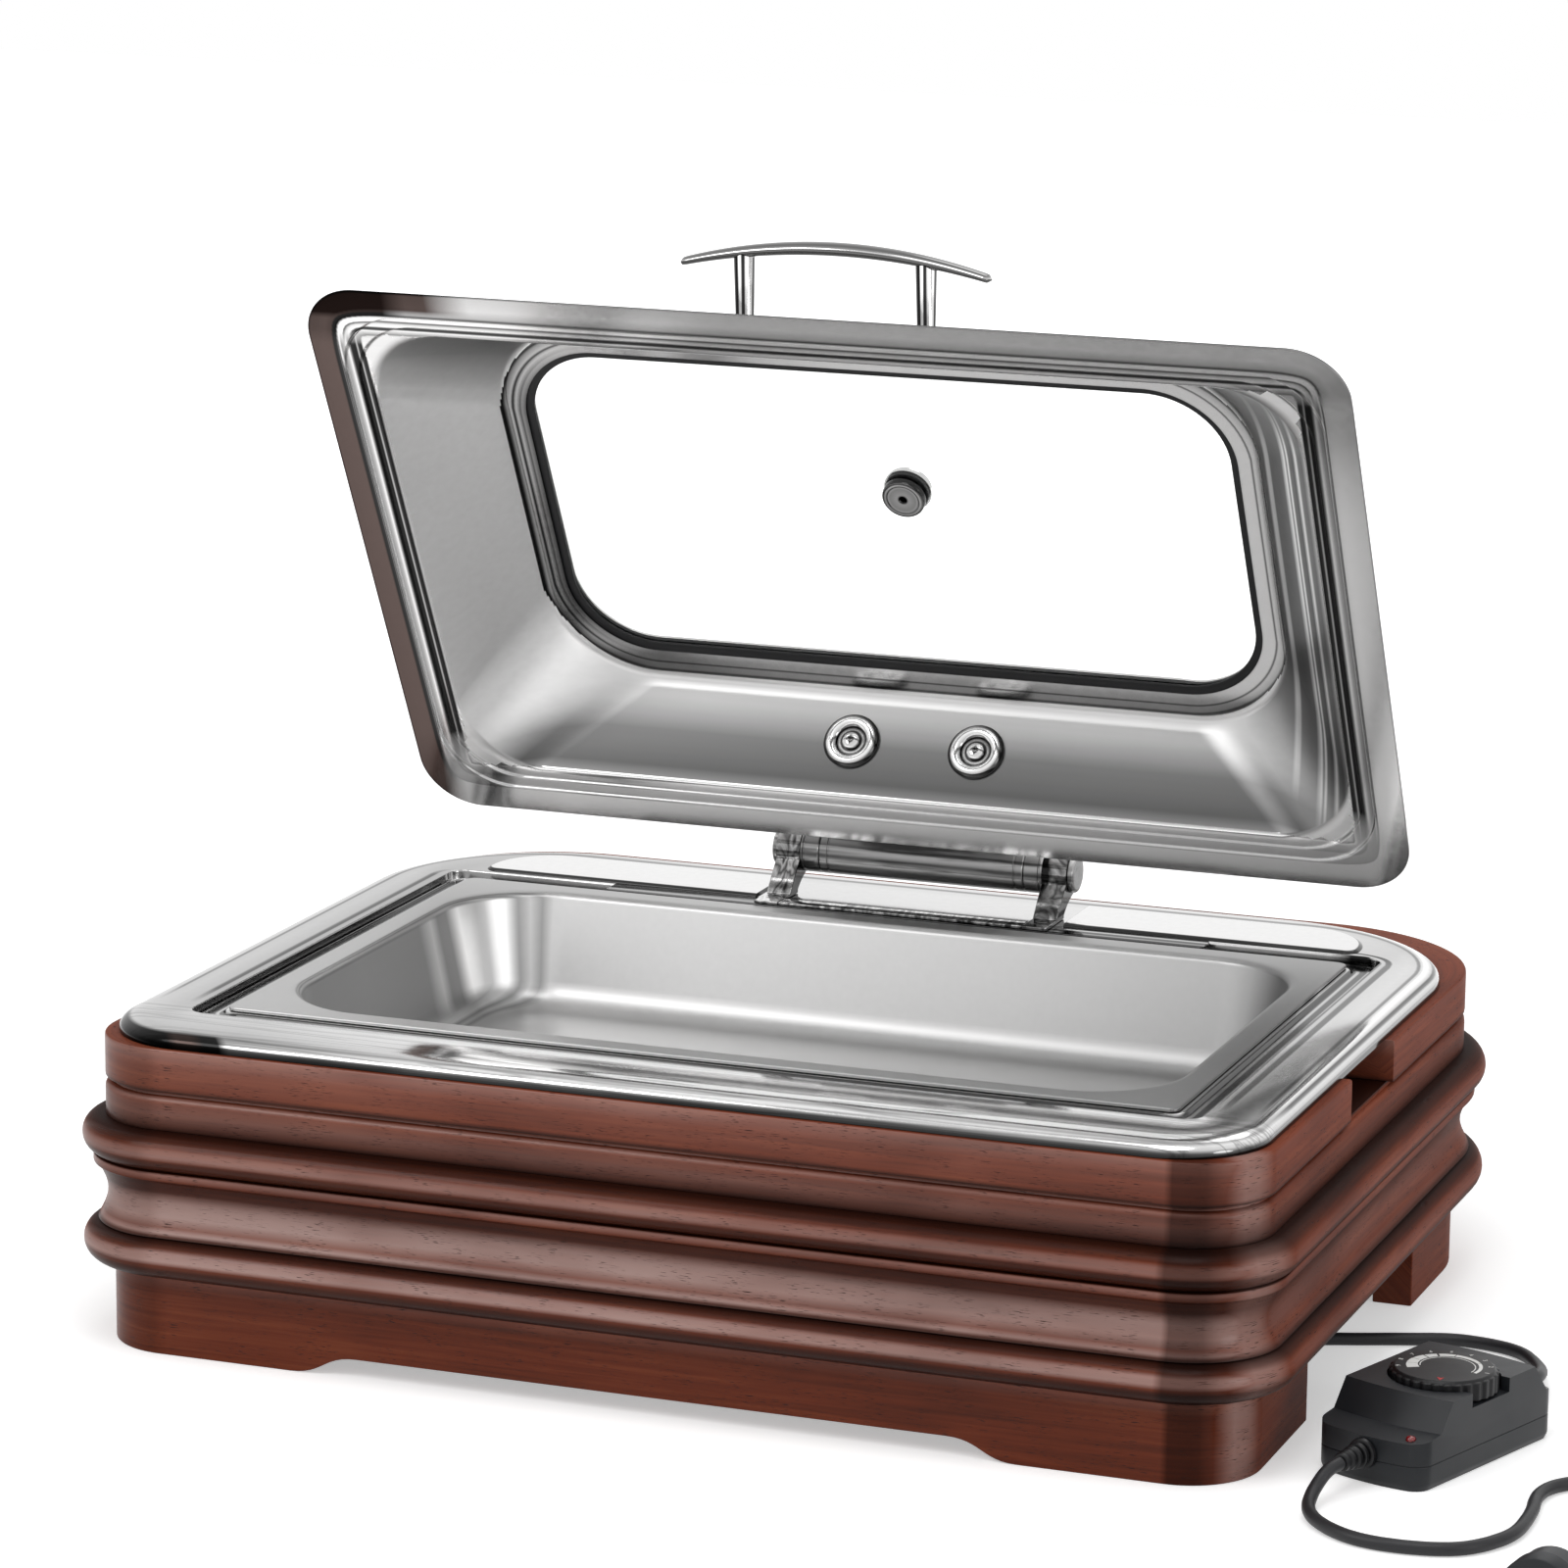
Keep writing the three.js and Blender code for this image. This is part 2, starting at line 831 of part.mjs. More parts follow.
// Pans: from the middle of the floor, up the inside, over the rim and down the outside
function panWalls(mouth, floorOutline, top, floor, rounding, sheet) {
  const inside = (share) => THREE.MathUtils.lerp(floor + rounding, top, share);
  const corner = rounding * (1 - Math.SQRT1_2);
  return {
    inner: [
      [grown(floorOutline, -rounding), floor],
      [grown(floorOutline, -corner), floor + corner],
      [floorOutline, inside(0)],
      [mouth, top],
    ],
    outer: [
      [grown(mouth, sheet), top],
      [grown(floorOutline, sheet), inside(0)],
      [grown(floorOutline, sheet - corner), floor + corner - sheet],
      [grown(floorOutline, -rounding), floor - sheet],
    ],
  };
}

function waterPanBody() {
  const { sheet } = waterPan;
  const rim = withRadius(grown(foodRim, waterPan.rimReach), waterPan.radius);
  const ledge = withRadius(grown(foodRim, waterPan.ledgeReach), waterPan.radius);
  const mouth = withRadius(grown(foodRim, -waterPan.ledgeInset - sheet), waterPan.mouthRadius);
  const floorOutline = grown(mouth, -waterPan.taper);
  const walls = panWalls(
    mouth,
    floorOutline,
    ledgeTop - sheet,
    waterFloor + sheet,
    waterPan.floorRounding,
    sheet,
  );
  return bodyOf([
    ...walls.inner,
    [grown(mouth, sheet), ledgeTop],
    [ledge, ledgeTop],
    [grown(ledge, sheet), waterRimTop],
    [rim, waterRimTop],
    [rim, waterRimBottom],
    [ledge, waterRimBottom],
    [grown(ledge, -sheet), ledgeTop - sheet],
    ...walls.outer,
  ]);
}

function foodPanBody() {
  const { sheet } = foodPan;
  const mouth = withRadius(grown(foodRim, -foodPan.rimWidth), foodPan.mouthRadius);
  const neck = grown(mouth, -foodPan.mouthRounding);
  const floorOutline = grown(neck, -foodPan.taper);
  const neckTop = foodRimTop - foodPan.mouthRounding;
  const walls = panWalls(
    neck,
    floorOutline,
    neckTop,
    foodFloor + sheet,
    foodPan.floorRounding,
    sheet,
  );
  return bodyOf([
    ...walls.inner,
    [grown(neck, foodPan.mouthRounding * (1 - Math.SQRT1_2)), foodRimTop - foodPan.mouthRounding / 3],
    [mouth, foodRimTop],
    [grown(foodRim, -sheet / 2), foodRimTop],
    [foodRim, foodRimTop - sheet / 2],
    [foodRim, foodRimBottom],
    [grown(foodRim, -sheet), foodRimBottom],
    [grown(foodRim, -sheet), foodRimTop - sheet],
    [mouth, foodRimTop - sheet],
    ...walls.outer,
  ]);
}
add(dish, "water_pan", waterPanBody(), satin);
add(dish, "food_pan", foodPanBody(), satin);

// Hinge brackets, side view: a flat foot, a neck that leans back, and a round knuckle
function bracketShape() {
  const radius = hinge.barrelRadius;
  const shape = new THREE.Shape();
  const footRear = tongueFront + hinge.footDepth;
  const toeEnd = tongueFront + hinge.footToe;
  const frontAngle = THREE.MathUtils.degToRad(hinge.neckFrontAngle);
  const rearAngle = THREE.MathUtils.degToRad(hinge.neckRearAngle);
  const front = [axisY + radius * Math.cos(frontAngle), axisZ + radius * Math.sin(frontAngle)];
  shape.moveTo(tongueFront, footBottom);
  shape.lineTo(tongueFront, footTop);
  shape.lineTo(toeEnd, footTop);
  shape.quadraticCurveTo(toeEnd + radius / 2, (footTop + front[1]) / 2, ...front);
  shape.absarc(axisY, axisZ, radius, frontAngle, rearAngle, true);
  shape.quadraticCurveTo(footRear + radius / 2, footTop + radius / 2, footRear, footTop);
  shape.lineTo(footRear, footBottom);
  shape.closePath();
  const bore = new THREE.Path();
  bore.absarc(axisY, axisZ, hinge.pinRadius + seat, 0, 2 * Math.PI, false);
  shape.holes.push(bore);
  return shape;
}

function countersunk(x) {
  return turnedZ(
    [
      [0, footBottom - seat],
      [hinge.screwShank + seat, footBottom - seat],
      [hinge.screwShank + seat, footBottom],
      [hinge.screwHead + seat, footTop],
      [hinge.screwHead + seat, footTop + overrun],
      [0, footTop + overrun],
    ],
    smallSides,
  ).translate(x, screwY, 0);
}

const strip = block(
  -hinge.ringHalfLength + seat,
  hinge.ringHalfLength - seat,
  tongueFront,
  tongueFront + hinge.stripDepth,
  footBottom,
  footTop,
);
add(dish, "hinge_strip", strip, polished);

for (const [side, sign] of [["left", -1], ["right", 1]]) {
  const [x0, x1] = [sign * hinge.ringHalfLength, sign * hinge.halfLength].sort((a, b) => a - b);
  const bracket = cut(alongX(bracketShape(), x0, x1), countersunk(sign * bracketMiddle));
  add(dish, `hinge_bracket_${side}`, bracket, polished);
  const screw = add(
    dish,
    `hinge_screw_${side}`,
    turnedZ(
      [
        [0, -hinge.screwLength],
        [hinge.screwShank, -hinge.screwLength],
        [hinge.screwShank, -hinge.footThickness],
        [hinge.screwHead, 0],
        [0, 0],
      ],
      smallSides,
    ),
    darkSteel,
  );
  screw.position.set(sign * bracketMiddle, screwY, footTop);
  const ring = add(
    dish,
    `hinge_ring_${side}`,
    turnedX(
      tubeSection(
        hinge.pinRadius + seat,
        hinge.barrelRadius,
        hinge.barrelHalfLength + seat / 2,
        hinge.ringHalfLength - seat,
      ),
    ),
    polished,
  );
  ring.position.set(0, axisY, axisZ);
  ring.rotation.z = sign < 0 ? Math.PI : 0;
  const cap = add(
    dish,
    `hinge_cap_${side}`,
    turnedX([
      [0, hinge.halfLength + seat],
      [hinge.capRadius, hinge.halfLength + seat],
      [hinge.capRadius, hinge.halfLength + hinge.capThickness - hinge.capDome],
      [hinge.capRadius - hinge.capDome, hinge.halfLength + hinge.capThickness],
      [0, hinge.halfLength + hinge.capThickness],
    ]),
    polished,
  );
  cap.position.set(0, axisY, axisZ);
  cap.rotation.z = sign < 0 ? Math.PI : 0;
}
const pin = add(
  dish,
  "hinge_pin",
  turnedX([
    [0, -hinge.halfLength],
    [hinge.pinRadius, -hinge.halfLength],
    [hinge.pinRadius, hinge.halfLength],
    [0, hinge.halfLength],
  ], cutterSides),
  darkSteel,
);
pin.position.set(0, axisY, axisZ);

// Lid: it turns about the hinge axis; its pieces are placed from the middle of its rim
const rimDrop = hinge.axisRise - lid.rimLift;
const lidTurn = new THREE.Group();
lidTurn.position.set(0, axisY, axisZ);
lidTurn.rotation.x = -THREE.MathUtils.degToRad(lid.openAngle);
dish.add(lidTurn);
const lidFrame = new THREE.Group();
lidFrame.position.set(0, -lid.edgeAhead - lid.depth / 2, -rimDrop);
lidTurn.add(lidFrame);

const windowOutline = centred(glazing.halfWidth, glazing.halfDepth, glazing.radius);
const lidOutline = centred(lid.width / 2, lid.depth / 2, lid.radius);
const wallTop = centred(
  glazing.halfWidth + glazing.ringWidthSide,
  glazing.halfDepth + glazing.ringWidthFront,
  lid.shoulderRadius,
);
const wallFootHeight = 2 * lid.stepRise + lid.wallFoot;
const wallTopHeight = lid.height - lid.shoulder;
const stepEnd = lid.flangeWidth + lid.stepWidth;
const wallFoot = withRadius(grown(lidOutline, -lid.wallInset), lid.wallRadius);

// The rear wall's slope, with its outward normal; the front wall mirrors it
const wallRun = wallFoot.rear - wallTop.rear;
const wallRise = wallTopHeight - wallFootHeight;
const wallLength = Math.hypot(wallRun, wallRise);
const wallNormal = { y: wallRise / wallLength, z: wallRun / wallLength };
const wallY = (height) => wallFoot.rear - (wallRun * (height - wallFootHeight)) / wallRise;

function lidShellBody() {
  const inset = (by, radius) => withRadius(grown(lidOutline, -by), radius);
  const { sheet, stepSlope, stepRise, flangeWidth, flangeRadius, shoulder } = lid;
  const steep = sheet / 2;
  const inner = [
    [lidOutline, 0],
    [inset(flangeWidth, flangeRadius), 0],
    [inset(flangeWidth + stepSlope, flangeRadius), stepRise],
    [inset(stepEnd - stepSlope, flangeRadius), stepRise],
    [inset(stepEnd, flangeRadius), 2 * stepRise],
    [inset(lid.wallInset - lid.wallFoot, lid.wallRadius), 2 * stepRise],
    [wallFoot, wallFootHeight],
    [wallTop, wallTopHeight],
    [grown(wallTop, -shoulder / 3), lid.height - shoulder / 3],
    [grown(wallTop, -shoulder), lid.height],
    [grown(windowOutline, glazing.gasketLip), lid.height],
  ];
  const outer = [
    [lidOutline, sheet],
    [inset(flangeWidth - steep, flangeRadius), sheet],
    [inset(flangeWidth + stepSlope - steep, flangeRadius), stepRise + sheet],
    [inset(stepEnd - stepSlope - steep, flangeRadius), stepRise + sheet],
    [inset(stepEnd - steep, flangeRadius), 2 * stepRise + sheet],
    [inset(lid.wallInset - lid.wallFoot - steep, lid.wallRadius), 2 * stepRise + sheet],
    [grown(wallFoot, sheet * wallNormal.y), wallFootHeight + sheet * wallNormal.z],
    [grown(wallTop, sheet * wallNormal.y), wallTopHeight + sheet * wallNormal.z],
    [grown(wallTop, sheet - shoulder / 3), lid.height - shoulder / 3 + sheet * wallNormal.y],
    [grown(wallTop, -shoulder + steep), lid.height + sheet],
    [grown(windowOutline, glazing.gasketLip), lid.height + sheet],
  ];
  return ringOf([...inner, ...outer.reverse()]);
}

// Places on the walls, on their outer skin, square to them
const leafStand = (x) =>
  standing(
    x,
    wallY(leaf.screwHeight) + lid.sheet * wallNormal.y,
    leaf.screwHeight + lid.sheet * wallNormal.z,
    wallNormal.y,
    wallNormal.z,
  );
const handleStand = (x) =>
  standing(
    x,
    -wallY(handle.height) - lid.sheet * wallNormal.y,
    handle.height + lid.sheet * wallNormal.z,
    -wallNormal.y,
    wallNormal.z,
  );
const throughWall = (stand, radius) =>
  rod(radius, -lid.sheet - overrun / 2, lid.sheet + overrun / 2, smallSides).applyMatrix4(stand.matrix);
const halfScrews = leaf.screwSpacing / 2;
const halfPosts = handle.postSpacing / 2;
const shell = cut(
  lidShellBody(),
  ...[-halfScrews, halfScrews].map((x) => throughWall(leafStand(x), leaf.screwShank + seat)),
  ...[-halfPosts, halfPosts].map((x) => throughWall(handleStand(x), handle.screwRadius + seat)),
);
add(lidFrame, "lid_shell", shell, polished);

// Window: gasket, domed glass and outer trim
const gasketBottom = lid.height + lid.sheet + seat;
const glassBottom = gasketBottom + glazing.lipThickness + seat;
const glassTop = glassBottom + glazing.glassThickness;
const gasketTop = glassTop + seat + glazing.lipThickness;
const gasketInner = glazing.glassBite + seat;
const gasketOuter = gasketInner + glazing.gasketWeb;
const atWindow = (section) => ringOf(section.map(([reach, z]) => [grown(windowOutline, reach), z]));
const gasket = atWindow([
  [0, gasketBottom],
  [gasketOuter, gasketBottom],
  [gasketOuter, gasketTop],
  [glazing.upperLipInset, gasketTop],
  [glazing.upperLipInset, glassTop + seat],
  [gasketInner, glassTop + seat],
  [gasketInner, glassBottom - seat],
  [0, glassBottom - seat],
]);
add(lidFrame, "window_gasket", gasket, rubber);

const ventHole = vent.stemRadius + vent.holeGap;
const holeOutline = centred(ventHole, ventHole, ventHole);
function glassBody() {
  const edge = grown(windowOutline, glazing.glassBite);
  const dome = (bottom) =>
    domeShares.map((share) => [
      between(holeOutline, windowOutline, share),
      bottom + glazing.domeRise * (1 - share * share),
    ]);
  return ringOf([...dome(glassBottom), [edge, glassBottom], [edge, glassTop], ...dome(glassTop).reverse()]);
}
add(lidFrame, "window_glass", glassBody(), clearGlass);

const trimTop = gasketTop + seat + glazing.trimThickness;
const trimOuter = gasketOuter + glazing.trimReach;
const trim = atWindow([
  [glazing.upperLipInset, gasketTop + seat],
  [gasketOuter + seat, gasketTop + seat],
  [gasketOuter + seat, gasketBottom],
  [trimOuter, gasketBottom],
  [trimOuter, gasketBottom + glazing.trimThickness],
  [gasketOuter + seat + glazing.trimThickness, trimTop],
  [glazing.upperLipInset, trimTop],
]);
add(lidFrame, "window_trim", trim, polished);

const ventInside = glassBottom + glazing.domeRise - vent.glassGap;
const sealBottom = glassTop + glazing.domeRise + seat;
const capBottom = sealBottom + vent.sealThickness + seat;
const capTop = capBottom + vent.capHeight;
const ventBody = turnedZ([
  [vent.boreRadius, ventInside - vent.discThickness],
  [vent.discRadius - vent.holeGap, ventInside - vent.discThickness],
  [vent.discRadius, ventInside - vent.discThickness + vent.holeGap],
  [vent.discRadius, ventInside],
  [vent.stemRadius, ventInside],
  [vent.stemRadius, capTop - vent.sealThickness],
  [vent.boreRadius, capTop - vent.sealThickness],
  [vent.boreRadius, ventInside - vent.discThickness],
]);
add(lidFrame, "vent_body", ventBody, polished);
const sealSection = tubeSection(ventHole, vent.sealRadius, sealBottom, capBottom - seat);
add(lidFrame, "vent_seal", turnedZ(sealSection), rubber);
const ventCap = turnedZ([
  [vent.stemRadius + seat, capBottom],
  [vent.capRadius, capBottom],
  [vent.capRadius, capBottom + vent.capHeight / 3],
  [vent.capTopRadius, capTop],
  [vent.stemRadius + seat, capTop],
  [vent.stemRadius + seat, capBottom],
]);
add(lidFrame, "vent_cap", ventCap, polished);

// Hinge barrel and leaf, in the lid's frame
const axisInLid = { y: lid.depth / 2 + lid.edgeAhead, z: rimDrop };
const barrelSection = tubeSection(
  hinge.pinRadius + seat,
  hinge.barrelRadius,
  -hinge.barrelHalfLength + seat / 2,
  hinge.barrelHalfLength - seat / 2,
);
const barrel = add(lidFrame, "hinge_barrel", turnedX(barrelSection), polished);
barrel.position.set(0, axisInLid.y, axisInLid.z);

function leafBody() {
  const onWall = (share, off) => {
    const height = THREE.MathUtils.lerp(wallFootHeight, wallTopHeight, share);
    const out = lid.sheet + seat + off;
    return [wallY(height) + out * wallNormal.y, height + out * wallNormal.z];
  };
  const shape = new THREE.Shape();
  shape.moveTo(...onWall(leaf.plateStartShare, 0));
  shape.lineTo(...onWall(leaf.plateEndShare, 0));
  shape.lineTo(...onWall(leaf.plateEndShare, leaf.thickness));
  shape.lineTo(...onWall(leaf.armUpperShare, leaf.thickness));
  shape.lineTo(axisInLid.y, axisInLid.z + leaf.armUpperAtBarrel);
  shape.lineTo(axisInLid.y, axisInLid.z + leaf.armLowerAtBarrel);
  shape.lineTo(...onWall(leaf.armLowerShare, leaf.thickness));
  shape.lineTo(...onWall(leaf.plateStartShare, leaf.thickness));
  shape.closePath();
  const body = alongX(shape, -leaf.halfWidth, leaf.halfWidth);
  const clearance = turnedX([
    [0, -farX],
    [hinge.barrelRadius + seat, -farX],
    [hinge.barrelRadius + seat, farX],
    [0, farX],
  ]).translate(0, axisInLid.y, axisInLid.z);
  const holes = [-halfScrews, halfScrews].map((x) => throughWall(leafStand(x), leaf.screwShank + seat));
  return cut(body, clearance, ...holes);
}
add(lidFrame, "hinge_leaf", leafBody(), polished);

// Domed washers and screws inside the rear wall
for (const [side, sign] of [["left", -1], ["right", 1]]) {
  const stand = leafStand(sign * halfScrews);
  lidFrame.add(stand);
  const inside = -lid.sheet - seat;
  const rimTop = inside - leaf.washerRim;
  const washer = turnedZ([
    [leaf.screwShank + seat, inside],
    [leaf.washerRadius, inside],
    [leaf.washerRadius, rimTop],
    [leaf.washerRadius - leaf.washerRim, inside - leaf.washerRise],
    [leaf.washerWell + leaf.washerRim, inside - leaf.washerRise],
    [leaf.washerWell, rimTop],
    [leaf.screwShank + seat, rimTop],
    [leaf.screwShank + seat, inside],
  ], cutterSides);
  add(stand, `leaf_washer_${side}`, washer, polished);
  const headBottom = rimTop - seat;
  const screw = turnedZ(
    [
      [0, headBottom - leaf.headThickness],
      [leaf.headRadius, headBottom - leaf.headThickness],
      [leaf.headRadius, headBottom],
      [leaf.screwShank, headBottom],
      [leaf.screwShank, leaf.thickness + seat],
      [0, leaf.thickness + seat],
    ],
    cutterSides,
  );
  add(stand, `leaf_screw_${side}`, screw, polished);
}

// Handle: an arched bar on two tapered posts
function barBody(by) {
  const loops = [];
  for (let step = 0; step <= barSteps; step++) {
    const along = 2 * (step / barSteps) - 1;
    const bow = along * along;
    const z = handle.postLength + handle.crown * (1 - bow);
    const thick = THREE.MathUtils.lerp(handle.crownThickness, handle.endThickness, bow) / 2 + by;
    const wide = THREE.MathUtils.lerp(handle.crownWidth, handle.endWidth, bow) / 2 + by;
    const section = [];
    for (let side = 0; side < barSides; side++) {
      const angle = (2 * Math.PI * side) / barSides;
      section.push(
        new THREE.Vector3(
          handle.barHalfLength * along,
          wide * Math.cos(angle),
          z + thick * Math.sin(angle),
        ),
      );
    }
    loops.push(section);
  }
  return loft(loops, false);
}

const handleFrame = handleStand(0);
lidFrame.add(handleFrame);
add(handleFrame, "handle_bar", barBody(0), polished);
const postBow = (halfPosts / handle.barHalfLength) ** 2;
const postReach = handle.postLength + handle.crown * (1 - postBow);
for (const [side, sign] of [["left", -1], ["right", 1]]) {
  const post = turnedZ(
    [
      [0, handle.screwDepth],
      [handle.screwRadius + seat, handle.screwDepth],
      [handle.screwRadius + seat, seat],
      [handle.footRadius, seat],
      [handle.footRadius, seat + handle.footThickness / 2],
      [handle.postRadiusWall, seat + handle.footThickness],
      [handle.postRadiusBar, postReach],
      [0, postReach],
    ],
    cutterSides,
  ).translate(sign * halfPosts, 0, 0);
  add(handleFrame, `handle_post_${side}`, cut(post, barBody(seat)), polished);
  const headTop = -lid.sheet - seat;
  const screw = turnedZ(
    [
      [0, headTop - handle.headThickness],
      [handle.headRadius - handle.headThickness / 2, headTop - handle.headThickness],
      [handle.headRadius, headTop],
      [handle.screwRadius, headTop],
      [handle.screwRadius, handle.screwDepth - seat],
      [0, handle.screwDepth - seat],
    ],
    smallSides,
  );
  add(handleFrame, `handle_screw_${side}`, screw, polished).position.x = sign * halfPosts;
}

// Heater: two rails across the base, a tray with the element, and the plate under the water pan
const plateTop = waterFloor - seat;
const plateBottom = plateTop - heater.plateThickness;
const coverTop = plateBottom - seat;
const coverBottom = coverTop - heater.coverHeight;
const railTopZ = coverBottom - seat;
const plateOutline = centred(
  heater.plateWidth / 2,
  heater.plateDepth / 2,
  heater.plateRadius,
  panCentre,
);
add(dish, "heater_plate", bodyOf([[plateOutline, plateBottom], [plateOutline, plateTop]]), aluminium);
const coverOutline = grown(plateOutline, -heater.coverInset);
const coverInside = grown(coverOutline, -heater.coverSheet);
const cover = bodyOf([
  [coverInside, coverBottom + heater.coverSheet],
  [coverInside, coverTop],
  [coverOutline, coverTop],
  [coverOutline, coverBottom],
]);
add(dish, "heater_cover", cover, aluminium);

function elementPath() {
  const path = new THREE.CurvePath();
  const z = coverBottom + heater.coverSheet + seat + heater.elementDiameter / 2;
  const { elementHalfWidth: w, elementHalfDepth: d, elementLoopRadius: r } = heater;
  const at = (x, y) => new THREE.Vector3(x, panCentre + y, z);
  const points = [
    at(w, -d / 2),
    at(0, -d / 2 - r / 4),
    at(-w + r, -d),
    at(-w, -d + r),
    at(-w, d - r),
    at(-w + r, d),
    at(0, d / 2 + r / 4),
    at(w, d / 2),
  ];
  path.add(new THREE.CatmullRomCurve3(points));
  return path;
}

function roundSection(diameter, sides) {
  const radius = diameter / 2;
  const shape = new THREE.Shape();
  for (let side = 0; side < sides; side++) {
    const angle = (2 * Math.PI * (side + 1 / 2)) / sides;
    const point = [radius * Math.cos(angle), radius * Math.sin(angle)];
    if (side === 0) shape.moveTo(...point);
    else shape.lineTo(...point);
  }
  shape.closePath();
  return shape;
}

const element = new THREE.ExtrudeGeometry(roundSection(heater.elementDiameter, elementSides), {
  steps: elementSteps,
  extrudePath: elementPath(),
  bevelEnabled: false,
});
add(dish, "heater_element", element, darkSteel);

function railShape() {
  const half = baseWidth / 2 - base.wall - seat;
  const [top, bottom] = [railTopZ, railTopZ - heater.railSheet];
  const foot = bottom - heater.railTab;
  const shape = new THREE.Shape();
  shape.moveTo(-half, top);
  shape.lineTo(-half, foot);
  shape.lineTo(-half + heater.railSheet, foot);
  shape.lineTo(-half + heater.railSheet, bottom);
  shape.lineTo(half - heater.railSheet, bottom);
  shape.lineTo(half - heater.railSheet, foot);
  shape.lineTo(half, foot);
  shape.lineTo(half, top);
  shape.closePath();
  return shape;
}
for (const [place, sign] of [["front", -1], ["rear", 1]]) {
  const middle = panCentre + (sign * heater.railSpacing) / 2;
  const strap = alongY(railShape(), middle - heater.railWidth / 2, middle + heater.railWidth / 2);
  add(dish, `heater_rail_${place}`, strap, darkSteel);
}

const boxTop = coverBottom - seat;
const boxBottom = boxTop - heater.boxHeight;
const boxOutline = centred(heater.boxWidth / 2, heater.boxDepth / 2, heater.boxRounding, panCentre);
const terminalBox = bodyOf([
  [grown(boxOutline, -heater.boxRounding / 2), boxBottom],
  [boxOutline, boxBottom + heater.boxRounding / 2],
  [boxOutline, boxTop],
]).translate(heater.boxFromCentre, 0, 0);
add(dish, "terminal_box", terminalBox, charcoal);
const cutout = rod(heater.cutoutRadius, boxTop - heater.cutoutHeight, boxTop, cutterSides);
add(dish, "thermal_cutout", cutout, darkSteel).position.set(heater.cutoutFromCentre, panCentre, 0);

const glandFoot = heater.boxFromCentre + heater.boxWidth / 2 + seat;
const glandZ = (boxTop + boxBottom) / 2;
const gland = turnedX(
  [
    [0, 0],
    [heater.glandHexRadius, 0],
    [heater.glandHexRadius, heater.glandHexLength],
    [heater.glandRadius, heater.glandHexLength],
    [heater.glandRadius, heater.glandLength - heater.glandHexLength],
    [heater.glandRadius - heater.glandChamfer, heater.glandLength],
    [0, heater.glandLength],
  ],
  smallSides,
);
add(dish, "cord_gland", gland, charcoal).position.set(glandFoot, panCentre, glandZ);

// Temperature controller
const box = new THREE.Group();
const boxX = baseWidth / 2 + base.beadReach + controller.fromBase;
box.position.set(boxX, controller.y, 0);
box.rotation.z = THREE.MathUtils.degToRad(controller.turn);
dish.add(box);
const halfLength = controller.length / 2;
const halfWidth = controller.width / 2;
const boxPlan = centred(halfLength, halfWidth, controller.cornerRadius);
const seamTop = controller.seam;

// Side view of the upper case, moved in by the wall for its inside
function caseShape(by, bottom) {
  const c = controller;
  const shape = new THREE.Shape();
  const left = -halfLength + c.leftShoulder;
  const right = halfLength - c.rightShoulder;
  shape.moveTo(-halfLength + by, bottom);
  shape.lineTo(-halfLength + by, c.shoulderHeight - c.shoulderFall - by);
  shape.lineTo(left + by, c.shoulderHeight - by);
  shape.lineTo(left + c.leftSlope + by, c.height - by);
  shape.lineTo(right - c.rightSlope - by, c.height - by);
  shape.lineTo(right - by, c.shoulderHeight - by);
  shape.lineTo(halfLength - by, c.shoulderHeight - c.shoulderFall - by);
  shape.lineTo(halfLength - by, bottom);
  shape.closePath();
  return shape;
}

const pocketFloor = controller.height + controller.dialRise - controller.dialHeight - controller.dialGap;
const dialY = controller.dialOffset;
const upright = (radius, from, to, sides) => rod(radius, from, to, sides).translate(0, dialY, 0);
const reliefHole = turnedX([
  [0, -farX],
  [controller.reliefBody + seat, -farX],
  [controller.reliefBody + seat, farX],
  [0, farX],
], cutterSides).translate(0, 0, controller.reliefHeight);

function upperCase() {
  const c = controller;
  const bottom = seamTop + seat;
  const planPrism = (by, z0, z1) => bodyOf([[grown(boxPlan, -by), z0], [grown(boxPlan, -by), z1]]);
  const outside = common(alongY(caseShape(0, bottom), -halfWidth, halfWidth), planPrism(0, 0, c.height));
  const roof = upright(c.dialRadius + c.dialGap + c.pocketWall, pocketFloor - c.pocketWall, c.height);
  const room = common(
    alongY(caseShape(c.wall, bottom - overrun), -halfWidth + c.wall, halfWidth - c.wall),
    planPrism(c.wall, -overrun, c.height),
  );
  const notchFloor = block(
    -c.notchHalfWidth - c.pocketWall,
    c.notchHalfWidth + c.pocketWall,
    -halfWidth,
    dialY,
    pocketFloor - c.pocketWall,
    c.height,
  );
  const pocket = upright(c.dialRadius + c.dialGap, pocketFloor, c.height + overrun, 2 * turnedSides);
  const notch = block(
    -c.notchHalfWidth,
    c.notchHalfWidth,
    -halfWidth - overrun,
    dialY,
    pocketFloor,
    c.height + overrun,
  );
  const shaftHole = upright(c.shaftRadius + seat, 0, c.height + overrun, smallSides);
  const lampHole = rod(c.lampRadius + seat, seamTop, c.height, smallSides).translate(
    -halfLength + c.lampInsetX,
    -halfWidth + c.lampInsetY,
    0,
  );
  return cut(outside, cut(room, roof, notchFloor), pocket, notch, shaftHole, lampHole, reliefHole);
}
add(box, "controller_upper_case", upperCase(), charcoal);

